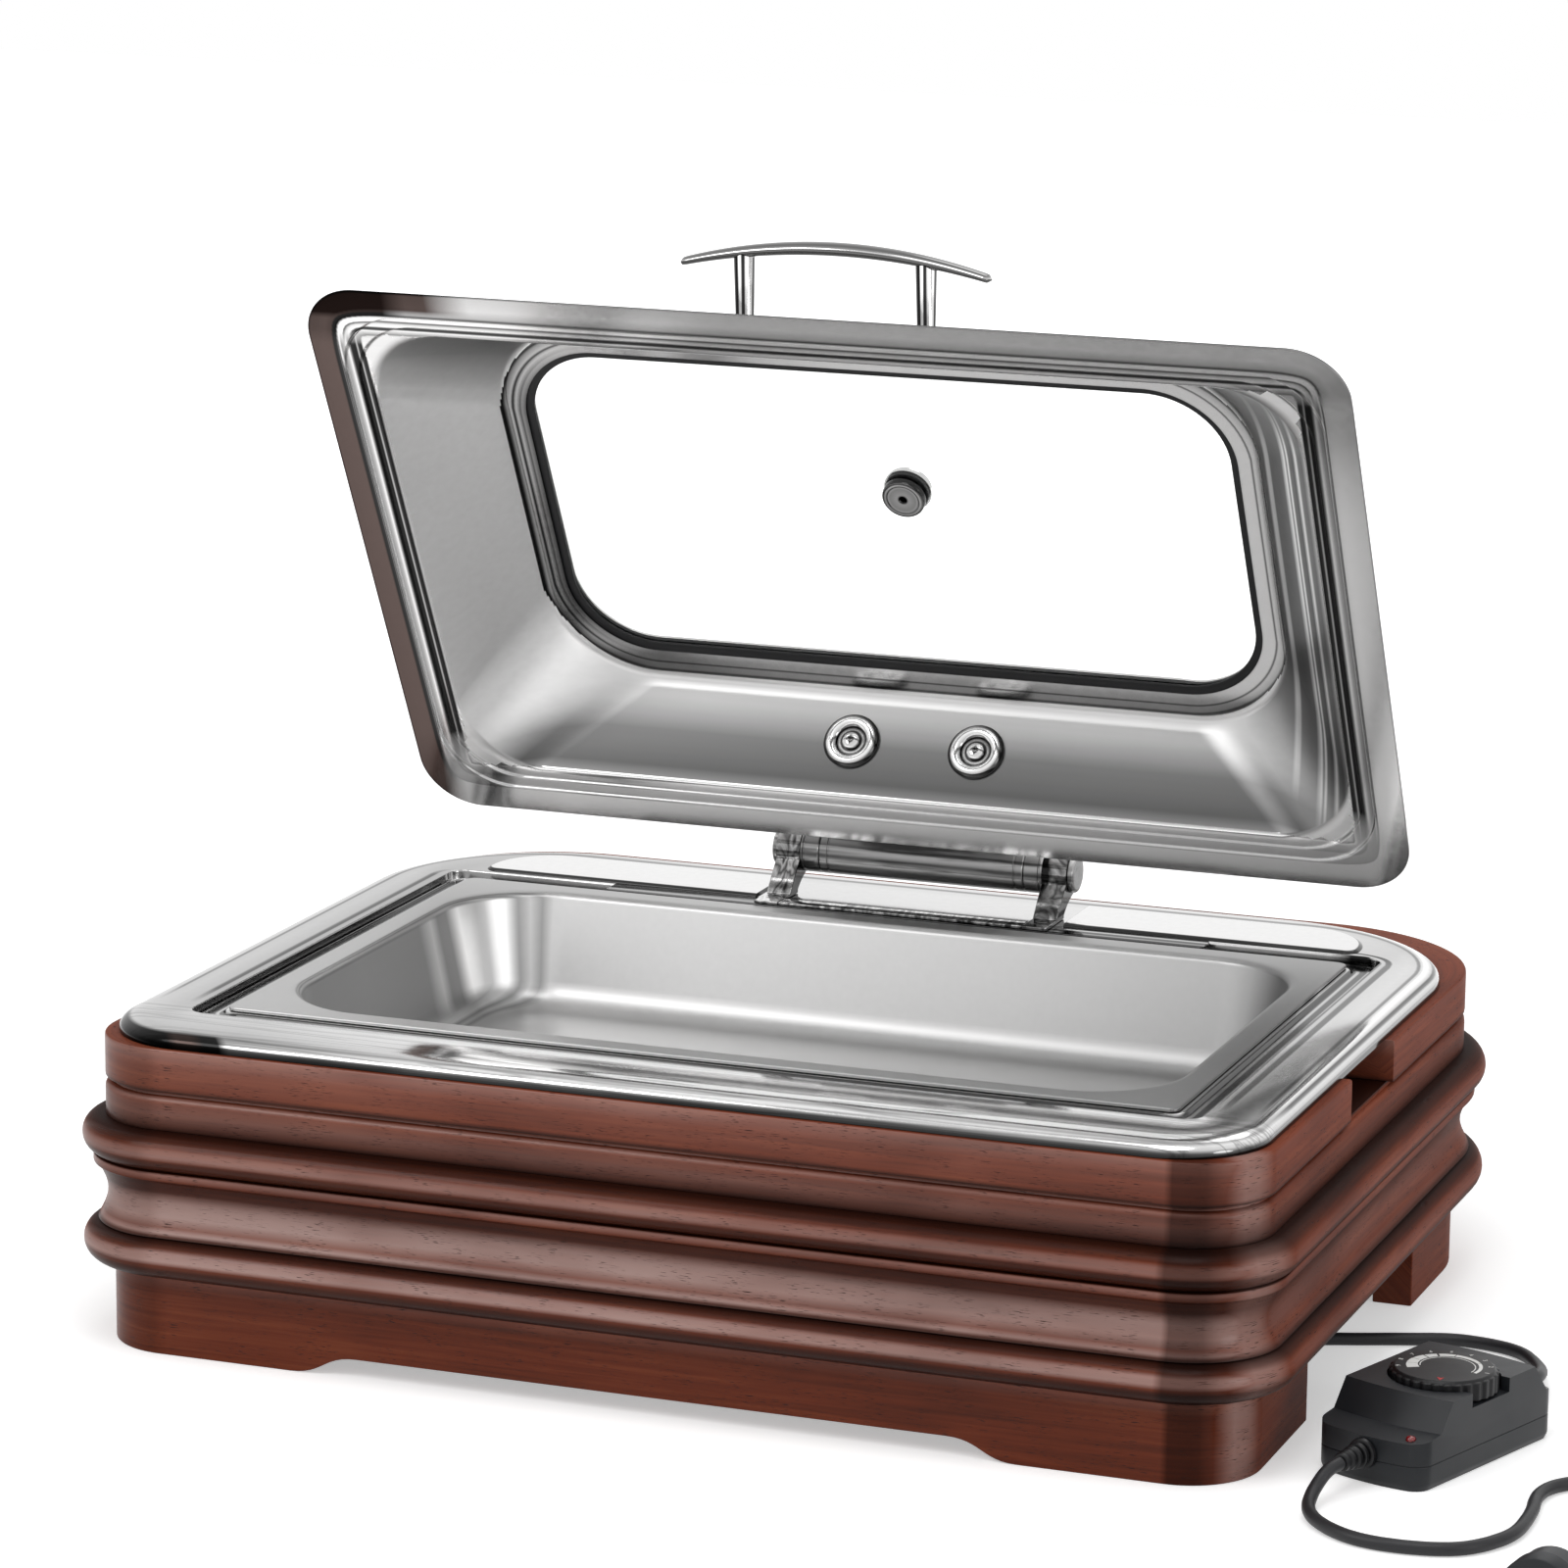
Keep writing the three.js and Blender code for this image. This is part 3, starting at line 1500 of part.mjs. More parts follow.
function lowerCase() {
  const c = controller;
  const tray = bodyOf([
    [grown(boxPlan, -c.wall), c.wall],
    [grown(boxPlan, -c.wall), seamTop],
    [boxPlan, seamTop],
    [boxPlan, c.footRise],
    [grown(boxPlan, -c.footInset), 0],
  ]);
  const bosses = [-1, 1].flatMap((a) =>
    [-1, 1].map((b) =>
      rod(c.bossRadius, c.wall / 2, c.boardHeight - seat, smallSides).translate(
        a * (halfLength - c.bossInset),
        b * (halfWidth - c.bossInset),
        0,
      ),
    ),
  );
  return join(cut(tray, reliefHole), ...bosses);
}
add(box, "controller_lower_case", lowerCase(), charcoal);

const boardTop = controller.boardHeight + controller.boardThickness;
function boardBody() {
  const c = controller;
  const plate = block(
    -halfLength + c.boardInset,
    halfLength - c.boardInset,
    -halfWidth + c.boardInset,
    halfWidth - c.boardInset,
    c.boardHeight,
    boardTop,
  );
  const pot = upright(c.potRadius, boardTop - c.boardThickness / 2, boardTop + c.potHeight);
  const bore = upright(c.shaftRadius + seat, boardTop, boardTop + c.potHeight + overrun, smallSides);
  const reliefRoom = block(
    -halfLength,
    halfLength,
    -c.reliefBody - seat,
    c.reliefBody + seat,
    0,
    boardTop + overrun,
  );
  const middle = block(
    -halfLength + c.bossInset,
    halfLength - c.bossInset,
    -halfWidth,
    halfWidth,
    0,
    boardTop + overrun,
  );
  return cut(join(plate, pot), bore, cut(reliefRoom, middle));
}
add(box, "controller_board", boardBody(), boardGreen);

const dialBottom = pocketFloor + controller.dialGap;
const dialTop = dialBottom + controller.dialHeight;
function dialBody() {
  const c = controller;
  const shape = new THREE.Shape();
  const points = 2 * c.dialTeeth;
  for (let i = 0; i < points; i++) {
    const angle = (2 * Math.PI * i) / points;
    const radius = c.dialRadius - (i % 2 ? c.toothDepth : 0);
    const point = [radius * Math.cos(angle), radius * Math.sin(angle)];
    if (i === 0) shape.moveTo(...point);
    else shape.lineTo(...point);
  }
  shape.closePath();
  const ridged = new THREE.ExtrudeGeometry(shape, {
    depth: c.dialHeight - c.dialTopRise,
    bevelEnabled: false,
  }).translate(0, dialY, dialBottom);
  const face = turnedZ([
    [0, dialTop - 2 * c.dialTopRise],
    [c.dialRadius - c.dialTopInset, dialTop - 2 * c.dialTopRise],
    [c.dialRadius - c.dialTopInset, dialTop - c.dialTopRise / 2],
    [c.dialRadius - c.dialTopInset - c.dialTopRise / 2, dialTop],
    [0, dialTop],
  ], 2 * cutterSides).translate(0, dialY, 0);
  const bore = upright(c.shaftRadius + seat, dialBottom - overrun, dialTop - c.pocketWall, smallSides);
  return cut(join(ridged, face), bore);
}
add(box, "controller_dial", dialBody(), dialBlack);
const shaftTop = dialTop - controller.pocketWall - seat;
add(box, "dial_shaft", upright(controller.shaftRadius, boardTop + seat, shaftTop, smallSides), darkSteel);

function lampBody() {
  const c = controller;
  const surface = c.shoulderHeight - (c.shoulderFall * (c.leftShoulder - c.lampInsetX)) / c.leftShoulder;
  return turnedZ(
    [
      [0, surface - c.lampDepth],
      [c.lampRadius, surface - c.lampDepth],
      [c.lampRadius, surface + c.lampRise / 2],
      [c.lampRadius / 2, surface + c.lampRise],
      [0, surface + c.lampRise],
    ],
    smallSides,
  ).translate(-halfLength + c.lampInsetX, -halfWidth + c.lampInsetY, 0);
}
add(box, "controller_lamp", lampBody(), lampRed);

// Ribbed strain relief at each end: a body in the wall, a collar inside and ribs outside
const reliefStart = halfLength - controller.reliefInside;
const reliefFace = halfLength + controller.reliefLength;
function reliefBody() {
  const c = controller;
  const profile = [
    [0, reliefStart],
    [c.reliefBody, reliefStart],
    [c.reliefBody, halfLength + seat],
    [c.reliefCollar, halfLength + seat],
    [c.reliefCollar - seat, halfLength + c.reliefCollarLength],
  ];
  const ribLength = (c.reliefLength - c.reliefCollarLength) / reliefRibs;
  for (let rib = 0; rib < reliefRibs; rib++) {
    const start = halfLength + c.reliefCollarLength + rib * ribLength;
    const crest = c.reliefRib - ((c.reliefRib - c.reliefEnd) * rib) / reliefRibs;
    profile.push(
      [c.reliefNeck - (c.reliefNeck * rib) / (reliefRibs * smallSides), start],
      [crest, start + ribLength / 3],
      [crest, start + (2 * ribLength) / 3],
    );
  }
  profile.push([c.reliefNeck - seat, reliefFace], [0, reliefFace]);
  return turnedX(profile, reliefSides).translate(0, 0, c.reliefHeight);
}
add(box, "strain_relief_heater", reliefBody(), cordBlack);
add(box, "strain_relief_mains", reliefBody().rotateZ(Math.PI), cordBlack);

// Cord routes, in the dish's frame. The first and last points are the faces that the cord meets.
const cordZ = cord.diameter / 2 + cord.tableGap;
const boxPoint = (x, y, z) => box.localToWorld(new THREE.Vector3(x, y, z));
dish.updateMatrixWorld(true);
const straight = cord.diameter;
const [farEnd, nearEnd] = [1, -1].map((end) => ({
  face: boxPoint(end * (reliefFace + seat), 0, controller.reliefHeight),
  next: boxPoint(end * (reliefFace + seat + straight), 0, controller.reliefHeight),
}));
const glandFace = new THREE.Vector3(glandFoot + heater.glandLength + seat, panCentre, glandZ);
const heaterRoute = [
  [glandFace.x, glandFace.y, glandFace.z],
  [glandFace.x + straight, glandFace.y, glandFace.z],
  [210, -29, 38],
  [242, -22, 13],
  [274, -10, 4.8],
  [304, 3, cordZ],
  [334, 15, cordZ],
  [362, 24, cordZ],
  [394, 17, cordZ],
  [413, -10, 5],
  [farEnd.next.x, farEnd.next.y, farEnd.next.z],
  [farEnd.face.x, farEnd.face.y, farEnd.face.z],
];

function leadOf(route, steps) {
  const path = new THREE.CatmullRomCurve3(route.map((p) => new THREE.Vector3(...p)), false, "centripetal");
  return new THREE.ExtrudeGeometry(roundSection(cord.diameter, cordSides), {
    steps,
    extrudePath: path,
    bevelEnabled: false,
  });
}
add(dish, "heater_lead", leadOf(heaterRoute, heaterLeadSteps), cordBlack);

// The coil spirals in on the table, climbs a layer in half a turn, and spirals out again
const coilTurns = 2 * coil.loopsPerLayer;
const coilStart = Math.PI;
const coilX = boxX + coil.fromController;
function coilPoint(turn) {
  const fromMiddle = turn - coilTurns / 2;
  const climb = Math.min(Math.max(2 * fromMiddle + 1 / 2, 0), 1);
  const radius = coil.innerRadius + coil.pitch * Math.abs(fromMiddle);
  const angle = coilStart + 2 * Math.PI * turn;
  const ease = climb * climb * (3 - 2 * climb);
  return new THREE.Vector3(
    coilX + radius * Math.cos(angle),
    coil.y + radius * Math.sin(angle),
    cordZ + coil.layerRise * ease,
  );
}

function coilLine() {
  const line = [];
  const steps = Math.round(coilTurns * coilLoopSteps);
  for (let step = 0; step <= steps; step++) line.push(coilPoint((coilTurns * step) / steps));
  const run = (from, to) => to.clone().sub(from).setZ(0).normalize();
  const first = line[0].clone().addScaledVector(run(line[1], line[0]), straight);
  const last = line[steps].clone().addScaledVector(run(line[steps - 1], line[steps]), straight);
  return [first, ...line, last];
}

function tubeAlong(line, diameter, sides) {
  const up = new THREE.Vector3(0, 0, 1);
  const loops = line.map((point, i) => {
    const before = line[Math.max(i - 1, 0)];
    const after = line[Math.min(i + 1, line.length - 1)];
    const ahead_ = after.clone().sub(before).normalize();
    const across = new THREE.Vector3().crossVectors(ahead_, up).normalize();
    const rise = new THREE.Vector3().crossVectors(across, ahead_);
    const section = [];
    for (let side = 0; side < sides; side++) {
      const angle = (2 * Math.PI * side) / sides;
      section.push(
        point
          .clone()
          .addScaledVector(across, (diameter / 2) * Math.cos(angle))
          .addScaledVector(rise, (diameter / 2) * Math.sin(angle)),
      );
    }
    return section;
  });
  return loft(loops, false);
}

const coilPath = coilLine();
add(dish, "mains_coil", tubeAlong(coilPath, cord.diameter, coilSides), cordBlack);

// Least gap of the coil to itself, between points at least a quarter turn apart
function leastGap(line, diameter, apart) {
  let least = Infinity;
  for (let i = 0; i < line.length; i++) {
    for (let j = i + apart; j < line.length; j++) least = Math.min(least, line[i].distanceTo(line[j]));
  }
  return least - diameter;
}
const coilGap = leastGap(coilPath, cord.diameter, coilLoopSteps / 4);
console.log(`mains coil: least gap to itself ${coilGap.toFixed(2)} mm`);

const coilIn = { face: coilPath[0], next: coilPath[1] };
const coilOut = { face: coilPath[coilPath.length - 1], next: coilPath[coilPath.length - 2] };
const pastCoil = ({ face, next }, by) => {
  const step = face.clone().sub(next).setZ(0).normalize();
  return face.clone().addScaledVector(step, by);
};
const mainsArrive = pastCoil(coilIn, seat + straight);
const mainsEnd = pastCoil(coilIn, seat);
const mainsRoute = [
  [nearEnd.face.x, nearEnd.face.y, nearEnd.face.z],
  [nearEnd.next.x, nearEnd.next.y, nearEnd.next.z],
  [358, -254, 8],
  [364, -280, 4.6],
  [394, -303, cordZ],
  [446, -302, cordZ],
  [486, -272, cordZ],
  [512, -222, cordZ],
  [mainsArrive.x, mainsArrive.y + 2 * straight, cordZ],
  [mainsArrive.x, mainsArrive.y, cordZ],
  [mainsEnd.x, mainsEnd.y, cordZ],
];
add(dish, "mains_lead", leadOf(mainsRoute, mainsLeadSteps), cordBlack);

// Plug, lying on its side, and the short lead from the coil to it
function plugBody() {
  const face = plug.neckLength + plug.bodyLength + plug.faceLength;
  const body = turnedX([
    [0, 0],
    [plug.endRadius, 0],
    [plug.neckRadius, plug.neckLength / 2],
    [plug.neckRadius, plug.neckLength],
    [plug.bodyRadius, plug.neckLength + plug.bodyLength / 2],
    [plug.bodyRadius, plug.neckLength + plug.bodyLength],
    [plug.faceRadius, plug.neckLength + plug.bodyLength],
    [plug.faceRadius, face],
    [0, face],
  ]);
  const prong = turnedX(
    [
      [0, face - plug.pinRounding],
      [plug.pinRadius, face - plug.pinRounding],
      [plug.pinRadius, face + plug.pinLength - plug.pinRounding],
      [plug.pinRadius - plug.pinRounding, face + plug.pinLength],
      [0, face + plug.pinLength],
    ],
    smallSides,
  );
  const half = plug.pinSpacing / 2;
  return join(body, prong.clone().translate(0, -half, 0), prong.clone().translate(0, half, 0));
}
const plugZ = plug.faceRadius + cord.tableGap;
const leave = coilOut.face.clone().sub(coilOut.next).setZ(0).normalize();
const plugLeadStart = pastCoil(coilOut, seat);
const plugFace = plugLeadStart.clone().addScaledVector(leave, plug.reach).setZ(plugZ);
const plugMesh = add(dish, "mains_plug", plugBody(), charcoal);
plugMesh.position.copy(plugFace.clone().addScaledVector(leave, seat));
plugMesh.rotation.z = Math.atan2(leave.y, leave.x);
const alongPlugLead = (share, z) => {
  const p = plugLeadStart.clone().addScaledVector(leave, plug.reach * share);
  return [p.x, p.y, z];
};
const plugRoute = plugLeadShares.map(([reachShare, riseShare]) =>
  alongPlugLead(reachShare, THREE.MathUtils.lerp(plugLeadStart.z, plugZ, riseShare)),
);
add(dish, "plug_lead", leadOf(plugRoute, plugLeadSteps), cordBlack);

export default dish;
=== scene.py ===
"""Dresses the electric chafing dish: fine surfaces, finishes, camera and light for its solids.

Lengths are written in millimetres in the dish's own frame, X to the right, Y to the back and Z up
from the middle of the base's underside. Each finished mesh is in metres in the same frame.
"""

import json
import logging
import math
from dataclasses import dataclass
from enum import Enum
from typing import Callable, Iterable, Optional, Sequence

import bmesh
import bpy
from mathutils import Matrix, Vector

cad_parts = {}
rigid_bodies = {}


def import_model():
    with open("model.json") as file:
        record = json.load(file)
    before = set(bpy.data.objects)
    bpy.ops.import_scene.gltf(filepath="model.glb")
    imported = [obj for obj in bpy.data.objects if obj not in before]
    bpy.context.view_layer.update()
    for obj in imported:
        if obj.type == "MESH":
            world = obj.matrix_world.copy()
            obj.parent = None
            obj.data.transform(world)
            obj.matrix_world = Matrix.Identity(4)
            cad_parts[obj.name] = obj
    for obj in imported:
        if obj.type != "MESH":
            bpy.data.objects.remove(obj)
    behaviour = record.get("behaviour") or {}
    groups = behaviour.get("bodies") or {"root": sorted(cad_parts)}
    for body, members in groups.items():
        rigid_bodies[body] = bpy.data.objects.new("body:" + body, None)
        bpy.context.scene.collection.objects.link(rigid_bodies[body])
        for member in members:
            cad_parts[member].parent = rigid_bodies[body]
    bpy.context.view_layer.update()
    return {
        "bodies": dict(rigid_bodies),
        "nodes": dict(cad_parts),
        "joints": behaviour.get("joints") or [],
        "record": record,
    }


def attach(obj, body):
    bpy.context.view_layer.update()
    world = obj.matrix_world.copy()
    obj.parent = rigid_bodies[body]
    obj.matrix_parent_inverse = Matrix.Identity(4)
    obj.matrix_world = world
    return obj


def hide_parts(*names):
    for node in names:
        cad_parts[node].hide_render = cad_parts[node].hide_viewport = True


log = logging.getLogger("chafing_dish")

METRE = 0.001
SEAT = 0.3
FULL_TURN = 2 * math.pi
QUARTER = math.pi / 2
HINGE_Y, HINGE_Z = 182.0, 201.8


class Body(Enum):
    """The moving bodies that a piece can ride on."""

    BASE = "base"
    STEEL = "steel_unit"
    LID = "lid"
    DIAL = "dial"


class Slot(Enum):
    """The record's material slots that the made pieces belong to."""

    MAHOGANY = "mahogany"
    POLISHED = "polished_steel"
    SATIN = "satin_steel"
    DARK = "dark_steel"
    SEAL = "seal_rubber"
    GLASS = "window_glass"
    CASE = "case_plastic"
    DIAL = "dial_plastic"
    LAMP = "lamp_lens"
    CORD = "cord_sheath"


class Axis(Enum):
    """The direction that a turned piece's own axis takes."""

    X = 0
    Z = 2


class Cut(Enum):
    """What a tool does to a piece."""

    AWAY = "DIFFERENCE"
    WITHIN = "INTERSECT"
    JOINED = "UNION"


# Outlines and sections


Section = Sequence[tuple[float, float]]


def polar(radius: float, angle: float, x: float = 0.0, y: float = 0.0) -> tuple[float, float]:
    """The point at a radius and an angle in radians about a centre."""
    return (x + radius * math.cos(angle), y + radius * math.sin(angle))


def arc(
    centre: tuple[float, float], radius: float, start: float, end: float, steps: int
) -> list[tuple[float, float]]:
    """Points of an arc in a section, from one angle to another in degrees."""
    angles = (math.radians(start + (end - start) * step / steps) for step in range(steps + 1))
    return [polar(radius, angle, *centre) for angle in angles]


@dataclass(frozen=True)
class Outline:
    """A rounded rectangle seen from above, with its own radii at the front and at the rear."""

    half_width: float
    front: float
    rear: float
    front_radius: float
    rear_radius: float

    def grown(self, by: float) -> "Outline":
        """The outline moved outwards by a length.

        Args:
            by: how far each side moves; below zero it moves inwards.

        Returns:
            The moved outline, with radii that stay above zero.
        """
        return Outline(
            self.half_width + by, self.front - by, self.rear + by, max(self.front_radius + by, 1.0),
            max(self.rear_radius + by, 1.0)
        )

    def rounded(self, radius: float) -> "Outline":
        """The same sides with one radius at all corners."""
        return Outline(self.half_width, self.front, self.rear, radius, radius)

    def toward(self, other: "Outline", share: float) -> "Outline":
        """The outline part of the way to another one, which stands at share 1."""
        mix = [a + (b - a) * share for a, b in zip(self.numbers(), other.numbers())]
        return Outline(*mix)

    def numbers(self) -> tuple[float, ...]:
        """The five sizes in order."""
        return (self.half_width, self.front, self.rear, self.front_radius, self.rear_radius)

    def corners(self) -> list[tuple[float, float, float]]:
        """The corners, anticlockwise from the front left.

        Returns:
            The centre and the radius of each.
        """
        inset_front = self.half_width - self.front_radius
        inset_rear = self.half_width - self.rear_radius
        low, high = self.front + self.front_radius, self.rear - self.rear_radius
        return [
            (-inset_front, low, self.front_radius), (inset_front, low, self.front_radius),
            (inset_rear, high, self.rear_radius), (-inset_rear, high, self.rear_radius)
        ]

    def places(self, height: float, steps: int) -> list[Vector]:
        """Points round the outline, anticlockwise from the left end of the front left corner.

        Args:
            height: the height of all points.
            steps: how many steps each corner takes.

        Returns:
            Four times steps plus one points.
        """
        made = []
        for quarter, (x, y, radius) in enumerate(self.corners()):
            for step in range(steps + 1):
                angle = math.pi + (quarter + step / steps) * QUARTER
                made.append(Vector((*polar(radius, angle, x, y), height)))
        return made

    def outside(self, point: Vector) -> float:
        """How far outside the outline a point lies.

        Args:
            point: the point; its height doesn't count.

        Returns:
            The distance, below zero if the point lies inside.
        """
        radius = self.front_radius if point.y < (self.front + self.rear) / 2 else self.rear_radius
        across = abs(point.x) - (self.half_width - radius)
        along = max(self.front + radius - point.y, point.y - (self.rear - radius))
        outward = math.hypot(max(across, 0.0), max(along, 0.0))
        return min(max(across, along), 0.0) + outward - radius

    def inside(self, point: Vector) -> float:
        """How far inside the outline a point lies."""
        return -self.outside(point)

    def run_of(self, middle: Vector, point: Vector) -> float:
        """How far round the outline a point lies, as the grain of bent wood runs.

        Args:
            middle: the middle of the point's face, which says on which side it lies.
            point: the point itself.

        Returns:
            A length along the side or corner, the same on both sides of a corner's end.
        """
        side = 1.0 if middle.x >= 0 else -1.0
        _, (front_x, front_y, front_r), (rear_x, rear_y, rear_r), _ = self.corners()
        x, mirrored = side * point.x, side * middle.x
        if middle.y < front_y:
            if mirrored <= front_x:
                return point.x
            turned = math.atan2(point.y - front_y, x - front_x) + QUARTER
            return side * (front_x + front_r * turned)
        start = front_x + front_r * QUARTER
        if middle.y <= rear_y:
            return side * (start + point.y - front_y)
        start += rear_y - front_y
        if mirrored > rear_x:
            return side * (start + rear_r * math.atan2(point.y - rear_y, x - rear_x))
        start += rear_r * QUARTER
        return start + rear_x - point.x


def centred(half_width: float, half_depth: float, radius: float, centre: float = 0.0) -> Outline:
    """A rounded rectangle about a centre on the Y axis.

    Args:
        half_width: half its size in X.
        half_depth: half its size in Y.
        radius: its corner radius.
        centre: the Y of its middle.

    Returns:
        The outline.
    """
    return Outline(half_width, centre - half_depth, centre + half_depth, radius, radius)


@dataclass(frozen=True)
class Station:
    """One place of a section that runs round an outline, with the fillet wanted there."""

    outline: Outline
    height: float
    fillet: float = 0.0

    def toward(self, other: "Station", share: float) -> "Station":
        """The station part of the way to another one."""
        height = self.height + (other.height - self.height) * share
        return Station(self.outline.toward(other.outline, share), height)

    def gap_to(self, other: "Station") -> float:
        """The length of section between this station and another.

        Args:
            other: the other station.

        Returns:
            The length.
        """
        sides = list(zip(self.outline.numbers(), other.outline.numbers()))[:3]
        across = max(abs(mine - theirs) for mine, theirs in sides)
        return math.hypot(across, self.height - other.height)


def filleted(stations: Sequence[Station], closed: bool, steps: int = 4) -> list[Station]:
    """Rounds the corners of a section.

    Args:
        stations: the section's corners, each with its own fillet.
        closed: whether the last corner joins the first.
        steps: how many steps a fillet takes.

    Returns:
        The section with a curve in place of each corner that has a fillet.
    """
    made: list[Station] = []
    count = len(stations)
    for index, here in enumerate(stations):
        at_end = not closed and index in (0, count - 1)
        if here.fillet <= 0 or at_end:
            made.append(here)
            continue
        before, after = stations[index - 1], stations[(index + 1) % count]
        back, ahead = here.gap_to(before), here.gap_to(after)
        reach = min(here.fillet, 0.49 * back, 0.49 * ahead)
        if reach < 0.02:
            made.append(here)
            continue
        first, last = here.toward(before, reach / back), here.toward(after, reach / ahead)
        for step in range(steps + 1):
            share = step / steps
            made.append(first.toward(here, share).toward(here.toward(last, share), share))
    return made


# The bench that makes a piece


class Bench:
    """One piece in the making: a bmesh in millimetres that ends as an object in metres."""

    def __init__(self, name: str) -> None:
        """Starts an empty piece.

        Args:
            name: the piece's name.
        """
        self.name = name
        self.mesh = bmesh.new()
        self.rise = self.mesh.verts.layers.float.new("rise")

    def vertex(self, place: Sequence[float]) -> bmesh.types.BMVert:
        """Adds one vertex."""
        return bmesh.ops.create_vert(self.mesh, co=Vector(place))["vert"][0]

    def chain(self, places: Iterable[Sequence[float]], closed: bool = False) -> tuple[list, list]:
        """Adds a few vertices joined in a row.

        Args:
            places: where they lie.
            closed: whether the last joins the first.

        Returns:
            The vertices and the edges.
        """
        verts = [self.vertex(place) for place in places]
        pairs = list(zip(verts, verts[1:]))
        if closed:
            pairs.append((verts[-1], verts[0]))
        return verts, [self.mesh.edges.new(pair) for pair in pairs]

    def polygon(self, places: Iterable[Sequence[float]]) -> bmesh.types.BMFace:
        """Adds one flat face through the places."""
        verts, edges = self.chain(places, closed=True)
        return bmesh.ops.contextual_create(self.mesh, geom=verts + edges)["faces"][0]

    def extruded(self, face: bmesh.types.BMFace, along: Sequence[float]) -> None:
        """Draws a face out into a closed block.

        Args:
            face: the face that stays as one end.
            along: the way to the other end.
        """
        made = bmesh.ops.extrude_face_region(self.mesh, geom=[face], use_keep_orig=True)["geom"]
        far = [part for part in made if isinstance(part, bmesh.types.BMVert)]
        bmesh.ops.translate(self.mesh, verts=far, vec=Vector(along))

    def block(self, low: Sequence[float], high: Sequence[float]) -> None:
        """Adds a box between two corners.

        Args:
            low: the corner with the least coordinates.
            high: the opposite corner.
        """
        low, high = Vector(low), Vector(high)
        place = Matrix.Translation((low + high) / 2) @ Matrix.Diagonal((*(high - low), 1.0))
        bmesh.ops.create_cube(self.mesh, size=1.0, matrix=place)

    def sweep(self, section: Section, outline: Outline, steps: int) -> None:
        """Draws a closed section of (reach, height) round an outline, reach measured outwards."""
        self.loft([Station(outline.grown(reach), height) for reach, height in section], True, steps)

    def loft(self, stations: Sequence[Station], closed: bool, steps: int) -> None:
        """Draws a loop of edges from station to station; an open section gets end faces."""
        self.drawn([here.outline.places(here.height, steps) for here in stations], closed)

    def drawn(self, loops: Sequence[Sequence[Vector]], closed: bool) -> None:
        """Draws a loop of edges through rows of places.

        Args:
            loops: the rows, each with as many places.
            closed: whether the last row joins the first; if not, both ends get a face.
        """
        count = len(loops[0])
        circle = bmesh.ops.create_circle(self.mesh, cap_ends=False, radius=1.0, segments=count)
        first = loop = self._placed(self._in_order(circle["verts"]), loops[0])
        run = 0.0
        for before, here in zip(loops, loops[1:]):
            run += (here[0] - before[0]).length
            loop = self._placed(self._next_loop(loop), here)
            for vert in loop:
                vert[self.rise] = run
        if closed:
            bmesh.ops.bridge_loops(self.mesh, edges=self._edges_of(first) + self._edges_of(loop))
        else:
            for end in (first, loop):
                bmesh.ops.contextual_create(self.mesh, geom=self._edges_of(end))

    @staticmethod
    def _placed(loop: list, places: Sequence[Vector]) -> list:
        """Moves a loop's vertices to a row of places.

        Args:
            loop: the vertices.
            places: as many places.

        Returns:
            The vertices.
        """
        for vert, place in zip(loop, places):
            vert.co = place
        return loop

    @staticmethod
    def _in_order(verts: list) -> list:
        """Puts the vertices of one closed loop of edges in order.

        Args:
            verts: the vertices in any order.

        Returns:
            The vertices, each next to its neighbour.
        """
        ordered, here = [verts[0]], verts[0]
        while len(ordered) < len(verts):
            around = [edge.other_vert(here) for edge in here.link_edges]
            here = next(vert for vert in around if vert not in ordered[-2:])
            ordered.append(here)
        return ordered

    @staticmethod
    def _edges_of(loop: list) -> list:
        """The edges between neighbours of a closed loop."""
        pairs = list(zip(loop, loop[1:])) + [(loop[-1], loop[0])]
        return [next(e for e in a.link_edges if e.other_vert(a) is b) for a, b in pairs]

    def _next_loop(self, loop: list) -> list:
        """Extrudes a closed loop of edges.

        Args:
            loop: its vertices in order.

        Returns:
            The new vertices in the same order.
        """
        made = bmesh.ops.extrude_edge_only(self.mesh, edges=self._edges_of(loop))["geom"]
        fresh = {part for part in made if isinstance(part, bmesh.types.BMVert)}
        following = []
        for vert in loop:
            around = [edge.other_vert(vert) for edge in vert.link_edges]
            following.append(next(other for other in around if other in fresh))
        return following

    def turned(self, profile: Section, axis: Axis, place: Matrix, steps: int) -> None:
        """Spins a profile of (radius, along) a full turn.

        Args:
            profile: its corners; a closed ring repeats none of them.
            axis: the direction of the piece's own axis.
            place: where the turned piece goes.
            steps: how many steps the turn takes.
        """
        on_axis = profile[0][0] == 0 and profile[-1][0] == 0
        places = [(radius, 0.0, along) for radius, along in profile]
        verts, edges = self.chain(places, closed=not on_axis)
        before = set(self.mesh.verts) - set(verts)
        bmesh.ops.spin(
            self.mesh, geom=verts + edges, cent=(0, 0, 0), axis=(0, 0, 1), angle=FULL_TURN,
            steps=steps, use_merge=True, use_duplicate=False
        )
        made = [vert for vert in self.mesh.verts if vert not in before]
        bmesh.ops.remove_doubles(self.mesh, verts=made, dist=0.002)
        made = [vert for vert in self.mesh.verts if vert not in before]
        turn = Matrix.Rotation(QUARTER, 4, "Y") if axis is Axis.X else Matrix()
        bmesh.ops.transform(self.mesh, matrix=place @ turn, verts=made)

